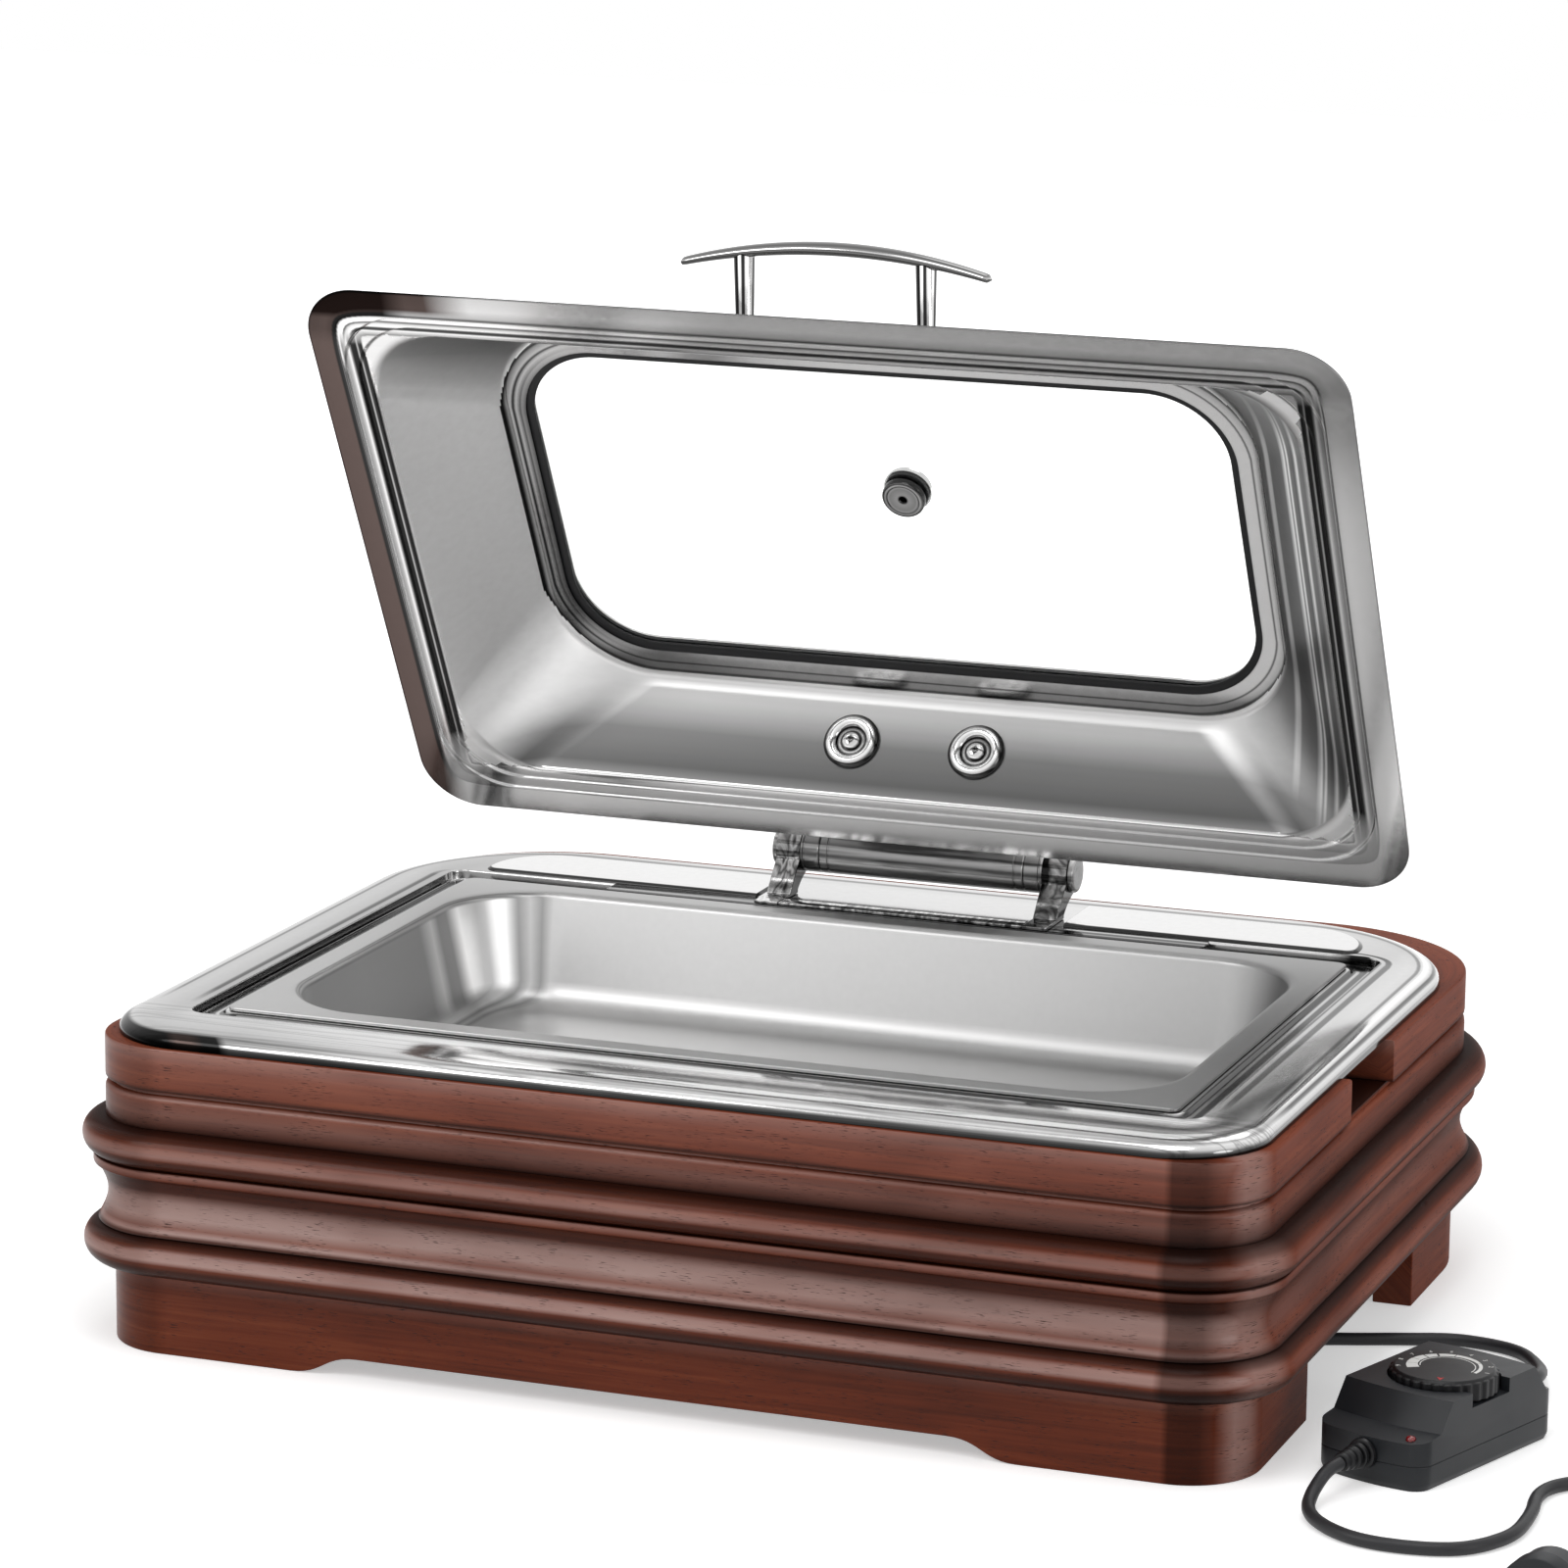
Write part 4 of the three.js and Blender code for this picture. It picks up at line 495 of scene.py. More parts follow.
    def keep_side(self, point: Sequence[float], normal: Sequence[float]) -> None:
        """Cuts the piece with a plane, keeps the side away from the normal and closes the cut.

        Args:
            point: a point of the plane.
            normal: the side that goes.
        """
        geom = self.mesh.verts[:] + self.mesh.edges[:] + self.mesh.faces[:]
        made = bmesh.ops.bisect_plane(
            self.mesh, geom=geom, plane_co=Vector(point), plane_no=Vector(normal), clear_outer=True
        )["geom_cut"]
        rims = [part for part in made if isinstance(part, bmesh.types.BMEdge)]
        bmesh.ops.holes_fill(self.mesh, edges=rims, sides=0)

    def bevel_sharp(self, width: float, segments: int = 3, limit: float = 40.0) -> None:
        """Rounds the edges whose faces meet at more than an angle.

        Args:
            width: the width of the rounding.
            segments: how many steps it takes.
            limit: the least angle in degrees.
        """
        chosen = [
            edge for edge in self.mesh.edges if edge.is_manifold
            and edge.calc_face_angle(0.0) > math.radians(limit)
        ]
        bmesh.ops.bevel(
            self.mesh, geom=chosen, offset=width, offset_type="OFFSET", segments=segments,
            profile=0.5, affect="EDGES", clamp_overlap=True, material=-1
        )

    def moved(self, matrix: Matrix) -> "Bench":
        """Moves all that is made so far."""
        bmesh.ops.transform(self.mesh, matrix=matrix, verts=self.mesh.verts[:])
        return self

    def to_object(self, sharp: float = 32.0, grain: Optional[Outline] = None) -> bpy.types.Object:
        """Ends the work on the mesh.

        Args:
            sharp: edges whose faces meet at more than this angle in degrees stay sharp.
            grain: the outline that the wood's grain follows, if the piece is wood.

        Returns:
            The object, at the origin, with its place in its mesh.
        """
        bmesh.ops.recalc_face_normals(self.mesh, faces=self.mesh.faces[:])
        shaded(self.mesh, sharp)
        if grain is not None:
            self._lay_grain(grain)
        bmesh.ops.scale(self.mesh, vec=Vector((METRE,) * 3), verts=self.mesh.verts[:])
        data = bpy.data.meshes.new(self.name)
        self.mesh.to_mesh(data)
        self.mesh.free()
        made = bpy.data.objects.new(self.name, data)
        bpy.context.scene.collection.objects.link(made)
        return made

    def _lay_grain(self, outline: Outline) -> None:
        """Writes a UV map in metres: U along the grain, V along the section."""
        uv = self.mesh.loops.layers.uv.new("grain")
        for face in self.mesh.faces:
            middle = face.calc_center_median()
            for corner in face.loops:
                run = outline.run_of(middle, corner.vert.co)
                corner[uv].uv = (run * METRE, corner.vert[self.rise] * METRE)


def shaded(mesh: bmesh.types.BMesh, limit: float) -> None:
    """Shades a mesh smooth up to its sharp edges.

    Args:
        mesh: the mesh.
        limit: edges whose faces meet at more than this angle in degrees are sharp.
    """
    for face in mesh.faces:
        face.smooth = True
    for edge in mesh.edges:
        edge.smooth = edge.is_manifold and edge.calc_face_angle(0.0) < math.radians(limit)


def evaluated(piece: bpy.types.Object) -> None:
    """Applies a piece's modifiers to its mesh.

    Args:
        piece: the piece.
    """
    graph = bpy.context.evaluated_depsgraph_get()
    graph.update()
    data = bpy.data.meshes.new_from_object(piece.evaluated_get(graph), depsgraph=graph)
    piece.modifiers.clear()
    old = piece.data
    piece.data = data
    bpy.data.meshes.remove(old)


def carved(
    piece: bpy.types.Object, *tools: bpy.types.Object, how: Cut = Cut.AWAY
) -> bpy.types.Object:
    """Cuts a piece with closed tools or joins them to it; the tools go afterwards.

    Args:
        piece: what is worked on.
        *tools: the tools, in order.
        how: what they do.

    Returns:
        The piece.
    """
    for tool in tools:
        cut = piece.modifiers.new("cut", "BOOLEAN")
        cut.object, cut.operation, cut.solver = tool, how.value, "EXACT"
    evaluated(piece)
    for tool in tools:
        data = tool.data
        bpy.data.objects.remove(tool)
        bpy.data.meshes.remove(data)
    return piece


def sharpened(piece: bpy.types.Object, limit: float = 32.0) -> bpy.types.Object:
    """Marks the sharp edges of a cut piece.

    Args:
        piece: the piece.
        limit: edges whose faces meet at more than this angle in degrees are sharp.

    Returns:
        The piece.
    """
    mesh = bmesh.new()
    mesh.from_mesh(piece.data)
    shaded(mesh, limit)
    mesh.to_mesh(piece.data)
    mesh.free()
    return piece


def softened(piece: bpy.types.Object, width: float, segments: int = 2) -> bpy.types.Object:
    """Rounds a piece's sharp edges with a Bevel modifier.

    Args:
        piece: the piece.
        width: the width in millimetres.
        segments: how many steps the rounding takes.

    Returns:
        The piece.
    """
    rounding = piece.modifiers.new("rounded edges", "BEVEL")
    rounding.width = width * METRE
    rounding.segments = segments
    rounding.limit_method = "ANGLE"
    rounding.angle_limit = math.radians(40)
    rounding.harden_normals = True
    return piece


def flats_kept(piece: bpy.types.Object) -> bpy.types.Object:
    """Lets the large faces of a cut piece keep their own normals.

    Args:
        piece: the piece.

    Returns:
        The piece.
    """
    even = piece.modifiers.new("even normals", "WEIGHTED_NORMAL")
    even.keep_sharp = True
    return piece


def turning(
    name: str, profile: Section, place: Matrix, steps: int, axis: Axis = Axis.Z
) -> bpy.types.Object:
    """A turned piece.

    Args:
        name: its name.
        profile: its corners of (radius, along).
        place: where it goes.
        steps: how many steps the turn takes.
        axis: the direction of its own axis.

    Returns:
        The piece.
    """
    bench = Bench(name)
    bench.turned(profile, axis, place, steps)
    return bench.to_object()


def rod(
    radius: float, low: float, high: float, place: Matrix, steps: int, axis: Axis = Axis.Z
) -> bpy.types.Object:
    """A round tool from one place to another along its own axis."""
    profile = [(0, low), (radius, low), (radius, high), (0, high)]
    return turning("rod_cutter", profile, place, steps, axis)


def block(
    low: Sequence[float], high: Sequence[float], place: Matrix = Matrix()
) -> bpy.types.Object:
    """A square tool between two corners, moved to a place.

    Args:
        low: the corner with the least coordinates.
        high: the opposite corner.
        place: where it goes.

    Returns:
        The tool.
    """
    bench = Bench("block_cutter")
    bench.block(low, high)
    return bench.moved(place).to_object()


def crossed(
    half_length: float, half_width: float, low: float, high: float, place: Matrix
) -> list[bpy.types.Object]:
    """The two tools of a cross recess, from one height to another."""
    sides = ((half_length, half_width), (half_width, half_length))
    return [block((-x, -y, low), (x, y, high), place) for x, y in sides]


def painted(
    piece: bpy.types.Object, material: bpy.types.Material, chosen: Callable[[Vector], bool]
) -> None:
    """Gives part of a piece a second finish.

    Args:
        piece: the piece, with its main finish.
        material: the second finish.
        chosen: says for the middle of a face, in millimetres, whether it takes the second finish.
    """
    piece.data.materials.append(material)
    for face in piece.data.polygons:
        if chosen(face.center / METRE):
            face.material_index = 1


def written(
    piece: bpy.types.Object, band: str, measure: Callable[[Vector], float], place: Matrix = Matrix()
) -> None:
    """Writes a distance on each vertex, for a finish to follow.

    Args:
        piece: the piece.
        band: the name of the written distance.
        measure: gives the distance of a point, both in millimetres.
        place: the place in whose frame the point is taken.
    """
    back = place.inverted()
    layer = piece.data.attributes.new(band, "FLOAT", "POINT")
    for vertex, value in zip(piece.data.vertices, layer.data):
        value.value = measure(back @ (vertex.co / METRE))


def from_axis(point: Vector) -> float:
    """How far a point lies from the Z axis."""
    return point.xy.length


# Finishes


Colour = tuple[float, float, float]
Stops = Sequence[tuple[float, Colour]]

UP, RIGHT, AHEAD, BACK = (0.0, 0.0, 1.0), (1.0, 0.0, 0.0), (0.0, -1.0, 0.0), (0.0, 1.0, 0.0)


class NodePen:
    """Draws the nodes of one material round its shader."""

    def __init__(self, name: str) -> None:
        """Starts a material.

        Args:
            name: the material's name.
        """
        self.material = bpy.data.materials.new(name)
        self.material.use_nodes = True
        self.tree = self.material.node_tree
        self.shader = self.tree.nodes["Principled BSDF"]

    def set(self, **values: float) -> None:
        """Sets the shader's own sockets; an underscore stands for a space."""
        for socket, value in values.items():
            self.shader.inputs[socket.replace("_", " ")].default_value = value

    def node(self, kind: str, **sockets: object) -> bpy.types.Node:
        """Adds a node.

        Args:
            kind: Blender's name of the node.
            **sockets: values or sockets for its inputs; an underscore stands for a space.

        Returns:
            The node.
        """
        made = self.tree.nodes.new(kind)
        for socket, value in sockets.items():
            self.feed(made.inputs[socket.replace("_", " ")], value)
        return made

    def node_named(self, kind: str, **settings: object) -> bpy.types.Node:
        """Adds a node with settings of its own.

        Args:
            kind: Blender's name of the node.
            **settings: the settings.

        Returns:
            The node.
        """
        made = self.tree.nodes.new(kind)
        for setting, value in settings.items():
            setattr(made, setting, value)
        return made

    def feed(self, socket: bpy.types.NodeSocket, value: object) -> None:
        """Gives an input a value or links it."""
        if isinstance(value, bpy.types.NodeSocket):
            self.tree.links.new(value, socket)
        else:
            socket.default_value = value

    def to_shader(self, socket: str, value: bpy.types.NodeSocket) -> None:
        """Links a pattern to one of the shader's inputs."""
        self.tree.links.new(value, self.shader.inputs[socket])

    def places(self, uv: str = "") -> bpy.types.NodeSocket:
        """The coordinates that a pattern follows: Object ones, or the named UV map."""
        if uv:
            made = self.tree.nodes.new("ShaderNodeUVMap")
            made.uv_map = uv
            return made.outputs["UV"]
        return self.tree.nodes.new("ShaderNodeTexCoord").outputs["Object"]

    def facing(self) -> bpy.types.NodeSocket:
        """The surface's own normal in the dish's frame."""
        return self.tree.nodes.new("ShaderNodeTexCoord").outputs["Normal"]

    def stretched(
        self,
        places: bpy.types.NodeSocket,
        scale: Sequence[float],
        turn: Sequence[float] = (0, 0, 0),
    ) -> bpy.types.NodeSocket:
        """Coordinates scaled, and turned in degrees.

        Args:
            places: the coordinates.
            scale: the factor along each axis.
            turn: the turn about each axis.

        Returns:
            The new coordinates.
        """
        angles = tuple(math.radians(angle) for angle in turn)
        made = self.node("ShaderNodeMapping", Vector=places, Scale=tuple(scale), Rotation=angles)
        return made.outputs["Vector"]

    def noise(
        self, places: bpy.types.NodeSocket, scale: float, detail: float = 3.0, bend: float = 0.0
    ) -> bpy.types.NodeSocket:
        """A cloudy pattern from 0 to 1, with so many clouds to a metre and so many finer layers."""
        sockets = {"Scale": scale, "Detail": detail, "Distortion": bend}
        return self.node("ShaderNodeTexNoise", Vector=places, **sockets).outputs["Fac"]

    def cells(self, places: bpy.types.NodeSocket, scale: float) -> bpy.types.NodeSocket:
        """The distance to the nearest of scattered points."""
        return self.node("ShaderNodeTexVoronoi", Vector=places, Scale=scale).outputs["Distance"]

    def ramp(self, value: bpy.types.NodeSocket, stops: Stops) -> bpy.types.NodeSocket:
        """Colours along a value.

        Args:
            value: from 0 to 1.
            stops: places and linear colours.

        Returns:
            The colour.
        """
        made = self.node("ShaderNodeValToRGB", Fac=value)
        points = made.color_ramp.elements
        for index, (place, colour) in enumerate(stops):
            point = points[index] if index < 2 else points.new(place)
            point.position = place
            point.color = (*colour, 1.0)
        return made.outputs["Color"]

    def steps(
        self, value: bpy.types.NodeSocket, *stops: tuple[float, float]
    ) -> bpy.types.NodeSocket:
        """A value from another one, by places and heights of a curve."""
        return self.ramp(value, [(place, (height,) * 3) for place, height in stops])

    def mixed(
        self, share: bpy.types.NodeSocket, first: object, second: object, blend: str = "MIX"
    ) -> bpy.types.NodeSocket:
        """Two colours mixed.

        Args:
            share: how much of the second shows.
            first: a colour or a socket.
            second: a colour or a socket.
            blend: Blender's name for the way of mixing.

        Returns:
            The colour.
        """
        made = self.tree.nodes.new("ShaderNodeMix")
        made.data_type = "RGBA"
        made.blend_type = blend
        self.feed(made.inputs["Factor"], share)
        for socket, value in ((made.inputs[6], first), (made.inputs[7], second)):
            self.feed(socket, (*value, 1.0) if isinstance(value, tuple) else value)
        return made.outputs[2]

    def worked(
        self, work: str, first: object, second: object = 0.0, third: object = 0.0
    ) -> bpy.types.NodeSocket:
        """One step of arithmetic.

        Args:
            work: Blender's name for it.
            first: a value or a socket.
            second: a value or a socket.
            third: a value or a socket.

        Returns:
            The outcome.
        """
        made = self.node_named("ShaderNodeMath", operation=work)
        for socket, value in zip(made.inputs, (first, second, third)):
            self.feed(socket, value)
        return made.outputs[0]

    def mean(
        self, first: bpy.types.NodeSocket, second: bpy.types.NodeSocket
    ) -> bpy.types.NodeSocket:
        """The mean of two values."""
        halves = [self.worked("MULTIPLY", value, 0.5) for value in (first, second)]
        return self.worked("ADD", *halves)

    def along(
        self, direction: Sequence[float], vector: bpy.types.NodeSocket
    ) -> bpy.types.NodeSocket:
        """How far a vector goes along a direction.

        Args:
            direction: the direction in the dish's frame.
            vector: the vector.

        Returns:
            The length.
        """
        made = self.node_named("ShaderNodeVectorMath", operation="DOT_PRODUCT")
        self.feed(made.inputs[0], vector)
        made.inputs[1].default_value = Vector(direction)
        return made.outputs["Value"]

    def relief(self, height: bpy.types.NodeSocket, millimetres: float) -> None:
        """Gives the surface small hills, on top of those that it has.

        Args:
            height: their pattern, from 0 to 1.
            millimetres: how high they are.
        """
        distance = millimetres * METRE
        made = self.node("ShaderNodeBump", Height=height, Strength=1.0, Distance=distance)
        target = self.shader.inputs["Normal"]
        if target.is_linked:
            self.tree.links.new(target.links[0].from_socket, made.inputs["Normal"])
        self.to_shader("Normal", made.outputs["Normal"])


class Guide(Enum):
    """What a shade follows."""

    FACING = "the way the surface faces"
    PLACE = "the place in the dish's frame, in millimetres"
    BAND = "a distance written on the surface, in millimetres"
    CLOUDS = "drawn-out clouds"


@dataclass(frozen=True)
class Shade:
    """A painted shade or highlight along a guide, standing in for the light, shade and reflections
    that lacquer or a bent sheet shows.
    """

    guide: Guide
    key: object
    stops: tuple[tuple[float, object], ...]
    where: tuple["Shade", ...] = ()

    def value(self, pen: NodePen) -> bpy.types.NodeSocket:
        """The guide's value in its own measure.

        Args:
            pen: draws the nodes.

        Returns:
            The value.
        """
        if self.guide is Guide.BAND:
            return pen.node_named("ShaderNodeAttribute", attribute_name=self.key).outputs["Fac"]
        if self.guide is Guide.CLOUDS:
            return pen.noise(pen.stretched(pen.places(), self.key), 1.0, 3.0, 0.6)
        return pen.along(self.key, pen.facing() if self.guide is Guide.FACING else pen.places())

    def draw(self, pen: NodePen) -> bpy.types.NodeSocket:
        """The shade's colour, its ramp drawn from the first stop to the last.

        Args:
            pen: draws the nodes.

        Returns:
            The colour.
        """
        low, high = self.stops[0][0], self.stops[-1][0]
        unit = METRE if self.guide is Guide.PLACE else 1.0
        scale = 1.0 / (high - low)
        value = pen.worked("MULTIPLY_ADD", self.value(pen), scale / unit, -low * scale)
        stops = [
            ((at - low) * scale, level if isinstance(level, tuple) else (level,) * 3) for at,
            level in self.stops
        ]
        shade = pen.ramp(value, stops)
        for place in self.where:
            shade = pen.mixed(place.draw(pen), (1.0, 1.0, 1.0), shade)
        return shade


def facing(direction: tuple[float, float, float], *stops: tuple[float, object]) -> Shade:
    """A shade by the way that the surface faces."""
    return Shade(Guide.FACING, direction, stops)


def placed(
    direction: tuple[float, float, float],
    *stops: tuple[float, object],
    where: tuple[Shade, ...] = (),
) -> Shade:
    """A shade by place along a direction."""
    return Shade(Guide.PLACE, direction, stops, where)


def banded(band: str, *stops: tuple[float, object], where: tuple[Shade, ...] = ()) -> Shade:
    """A shade by a distance that is written on the surface."""
    return Shade(Guide.BAND, band, stops, where)


def clouded(
    scale: tuple[float, float, float],
    *stops: tuple[float, object],
    where: tuple[Shade, ...] = (),
) -> Shade:
    """A shade by drawn-out clouds, so many to a metre along each axis, for painted reflection
    streaks.
    """
    return Shade(Guide.CLOUDS, scale, stops, where)


@dataclass(frozen=True)
class Mahogany:
    """Stained and lacquered mahogany, its grain along the moulding, with painted shade and
    highlights.
    """

    name: str = "lacquered mahogany"
    dark: Colour = (0.060, 0.0100, 0.0026)
    middle: Colour = (0.130, 0.0225, 0.0062)
    light: Colour = (0.205, 0.0460, 0.0150)
    # The pale colour of the painted highlight.
    bloom: Colour = (0.44, 0.30, 0.27)
    uv: str = "grain"
    # Painted shade on the rounded front corners, by place along the grain, darkest at the right.
    corner: tuple[tuple[float, float], ...] = (
        (-0.345, 1.0), (-0.285, 0.72), (-0.279, 0.75), (-0.276, 1.0), (0.2775, 1.0), (0.2805, 0.34),
        (0.296, 0.30), (0.304, 0.62), (0.313, 1.0), (0.345, 0.95), (0.36, 1.0)
    )
    # Painted highlight on the right front corner, by place along the grain.
    glow: tuple[tuple[float, float], ...] = (
        (0.806, 0.0), (0.816, 0.55), (0.826, 0.5), (0.838, 0.0)
    )
    # Painted shade and light by height: darker in the grooves and under the beads and the cove,
    # lighter where a stop passes 1.
    soot: Shade = placed(
        UP, (38.0, 1.0), (43.0, 1.3), (44.9, 0.08), (46.5, 0.16), (52.0, 0.34), (56.5, 1.3),
        (61.0, 1.2), (64.0, 0.4), (66.8, 0.06), (68.2, 0.4), (71.0, 1.2), (80.0, 1.1), (86.0, 0.75),
        (92.0, 0.40), (98.5, 0.36), (99.4, 0.8), (102.8, 1.4), (103.9, 0.08), (105.5, 0.22),
        (111.0, 0.45), (113.5, 1.25), (118.0, 1.1), (121.5, 0.4), (124.8, 0.10), (127.5, 0.40),
        (134.0, 0.75), (141.0, 1.1), (143.3, 1.4), (145.8, 0.08), (148.5, 1.1), (168.0, 1.35)
    )
    # Painted highlight by height: how much of the pale highlight colour shows on the bead tops, the
    # cove, the band and the rail.
    sheen: Shade = placed(
        UP, (36.0, 0.0), (42.0, 0.12), (44.0, 0.0), (54.5, 0.03), (57.0, 0.85), (60.5, 0.70),
        (62.5, 0.02), (68.5, 0.10), (70.0, 0.85), (72.5, 0.30), (77.5, 0.95), (85.0, 0.75),
        (91.5, 0.03), (99.3, 0.0), (102.6, 0.40), (103.8, 0.0), (111.5, 0.02), (114.0, 0.46),
        (117.5, 0.36), (119.5, 0.0), (127.0, 0.03), (134.0, 0.20), (140.0, 0.14), (143.0, 0.60),
        (144.4, 0.05), (147.0, 0.05), (160.0, 0.14), (167.5, 0.40)
    )

    def build(self) -> bpy.types.Material:
        """Draws streaks, pores and worn places, with painted shade and highlights in bands along
        the mouldings and at the front corners.

        Returns:
            The material.
        """
        pen = NodePen(self.name)
        run = pen.places(self.uv)
        streaks = pen.noise(pen.stretched(run, (9, 330, 1)), 1.0, 6.0, 0.6)
        clouds = pen.noise(pen.stretched(run, (7, 26, 1)), 1.0, 3.0, 0.8)
        figure = pen.mean(streaks, clouds)
        stain_and_painted_light = pen.ramp(figure, [(0.28, self.dark), (0.74, self.light), (0.50, self.middle)])
        split = pen.node("ShaderNodeSeparateXYZ", Vector=run)
        along = pen.worked("ADD", split.outputs["X"], 0.5)
        # block: painted shade at the front corners; side: keeps the painted highlight and the coat
        # to the faces that look ahead.
        block = pen.steps(along, *((place + 0.5, level) for place, level in self.corner))
        patches = pen.steps(clouds, (0.3, 0.55), (0.6, 1.0))
        side = facing(AHEAD, (0.35, 0.12), (0.8, 1.0)).draw(pen)
        soot = self.soot.draw(pen)
        # lit: the painted highlight bands; corner: the painted highlight on the right front corner.
        lit = pen.worked("MULTIPLY", self.sheen.draw(pen), pen.worked("MULTIPLY", side, block))
        glow = pen.steps(along, *self.glow)
        corner = pen.worked("MULTIPLY", glow, pen.worked("MINIMUM", soot, 1.0))
        shown = pen.worked("MULTIPLY", pen.worked("MAXIMUM", lit, corner), patches)
        # The stain is darkened by the painted shade, then mixed with the painted highlight colour.
        stain_and_painted_light = pen.mixed(1.0, pen.mixed(1.0, stain_and_painted_light, block, "MULTIPLY"), soot, "MULTIPLY")
        stain_and_painted_light = pen.mixed(shown, stain_and_painted_light, self.bloom)
        dashes = pen.noise(pen.stretched(run, (150, 2100, 1)), 1.0, 1.0, 0.0)
        pores = pen.steps(dashes, (0.62, 0.0), (0.70, 1.0))
        scattered = pen.noise(pen.stretched(run, (45, 120, 1)), 1.0, 2.0, 0.0)
        porous = pen.worked("MULTIPLY", pores, pen.steps(scattered, (0.42, 0.0), (0.60, 1.0)))
        pen.to_shader("Base Color", pen.mixed(porous, stain_and_painted_light, (0.016, 0.004, 0.003)))
        shine = pen.noise(pen.stretched(run, (30, 60, 1)), 1.0, 3.0)
        dull = pen.steps(side, (0.12, 0.60), (0.7, 0.0))
        polish = pen.steps(shine, (0.2, 0.26), (0.8, 0.38))
        pen.to_shader("Roughness", pen.worked("MAXIMUM", polish, dull))
        coat = pen.worked("MULTIPLY", pen.steps(block, (0.3, 0.05), (1.0, 0.30)), soot)
        pen.to_shader("Coat Weight", pen.worked("MULTIPLY", coat, side))
        pen.set(Specular_IOR_Level=0.06, Coat_Roughness=0.16, Coat_IOR=1.4)
        dents = pen.steps(pen.cells(pen.stretched(run, (16, 60, 1)), 1.0), (0.03, 0.0), (0.10, 1.0))
        pen.relief(pen.worked("MULTIPLY", porous, -1.0), 0.12)
        pen.relief(dents, 0.3)
        pen.relief(pen.noise(pen.stretched(run, (14, 40, 1)), 1.0, 2.0), 0.4)
        return pen.material


@dataclass(frozen=True)
class Steel:
    """Stainless steel, from mirror polish to a satin haze."""

    name: str
    tone: float
    roughness: float
    shades: tuple[Shade, ...] = ()
    wave: float = 0.03
    wave_scale: float = 14.0
    haze: float = 0.02
    streak: float = 0.03
    brush: tuple[float, float, float] = (1.0, 1.0, 1.0)
    metal: float = 1.0
    warm: Colour = (1.0, 0.995, 0.992)

    def build(self) -> bpy.types.Material:
        """Draws the tone, the brushing, the haze and the waves of the sheet, with its painted
        reflections and shade.

        Returns:
            The material.
        """
        pen = NodePen(self.name)
        here = pen.places()
        clouds = pen.noise(here, 5.0, 2.0, 0.3)
        cloth = pen.noise(pen.stretched(here, self.brush), 240.0, 3.0)
        worn = pen.mean(clouds, cloth)
        low, high = self.tone * (1 - self.streak), min(self.tone * (1 + self.streak), 1.0)
        tint = [tuple(level * part for part in self.warm) for level in (low, high)]
        colour = pen.ramp(worn, [(0.35, tint[0]), (0.65, tint[1])])
        # Each shade multiplies the tone by a painted reflection and shade.
        for shade in self.shades:
            colour = pen.mixed(1.0, colour, shade.draw(pen), "MULTIPLY")
        pen.to_shader("Base Color", colour)
        least, most = max(self.roughness - self.haze, 0.02), self.roughness + self.haze
        pen.to_shader("Roughness", pen.steps(worn, (0.35, least), (0.65, most)))
        pen.set(Metallic=self.metal)
        pen.relief(pen.noise(here, self.wave_scale, 1.0, 0.2), self.wave)
        return pen.material


@dataclass(frozen=True)
class Moulded:
    """Moulded plastic or rubber with a fine spark texture."""

    name: str
    colour: Colour
    roughness: float = 0.5
    grain: float = 900.0
    depth: float = 0.03
    variation: float = 0.12
    level: float = 0.4

    def build(self) -> bpy.types.Material:
        """Draws the tone and the texture.

        Returns:
            The material.
        """
        pen = NodePen(self.name)
        here = pen.places()
        clouds = pen.noise(here, 30.0, 4.0)
        low = tuple(part * (1 - self.variation) for part in self.colour)
        high = tuple(part * (1 + self.variation) for part in self.colour)
        pen.to_shader("Base Color", pen.ramp(clouds, [(0.3, low), (0.7, high)]))
        rubbed = pen.steps(clouds, (0.3, self.roughness - 0.06), (0.7, self.roughness + 0.06))
        pen.to_shader("Roughness", rubbed)
        pen.set(Specular_IOR_Level=self.level)
        pen.relief(pen.noise(here, self.grain, 2.0), self.depth)
        return pen.material


@dataclass(frozen=True)
class Tempered:
    """Clear tempered glass."""

    name: str = "tempered glass"
    colour: Colour = (0.985, 0.995, 0.99)

    def build(self) -> bpy.types.Material:
        """Draws clear glass with faint roller waves and a trace of handling.

        Returns:
            The material.
        """
        pen = NodePen(self.name)
        here = pen.places()
        pen.set(Transmission_Weight=1.0, IOR=1.45, Specular_IOR_Level=0.15)
        tone = pen.ramp(pen.noise(here, 3.0, 1.0), [(0.3, self.colour), (0.7, (1.0, 1.0, 1.0))])
        pen.to_shader("Base Color", tone)
        pen.to_shader("Roughness", pen.steps(pen.noise(here, 18.0, 4.0), (0.4, 0.0), (0.9, 0.03)))
        pen.relief(pen.noise(here, 9.0, 0.0), 0.02)
        return pen.material


@dataclass(frozen=True)
class Lens:
    """A small tinted lamp lens."""

    name: str
    colour: Colour

    def build(self) -> bpy.types.Material:
        """Draws a deep clear red with prisms under the surface.

        Returns:
            The material.
        """
        pen = NodePen(self.name)
        here = pen.places()
        deep = tuple(part * 0.35 for part in self.colour)
        prisms = pen.cells(here, 1400.0)
        pen.to_shader("Base Color", pen.ramp(prisms, [(0.1, self.colour), (0.8, deep)]))
        pen.to_shader("Roughness", pen.steps(pen.noise(here, 300.0), (0.3, 0.08), (0.7, 0.16)))
        pen.set(Transmission_Weight=0.25, IOR=1.49, Coat_Weight=0.6, Coat_Roughness=0.04)
        return pen.material


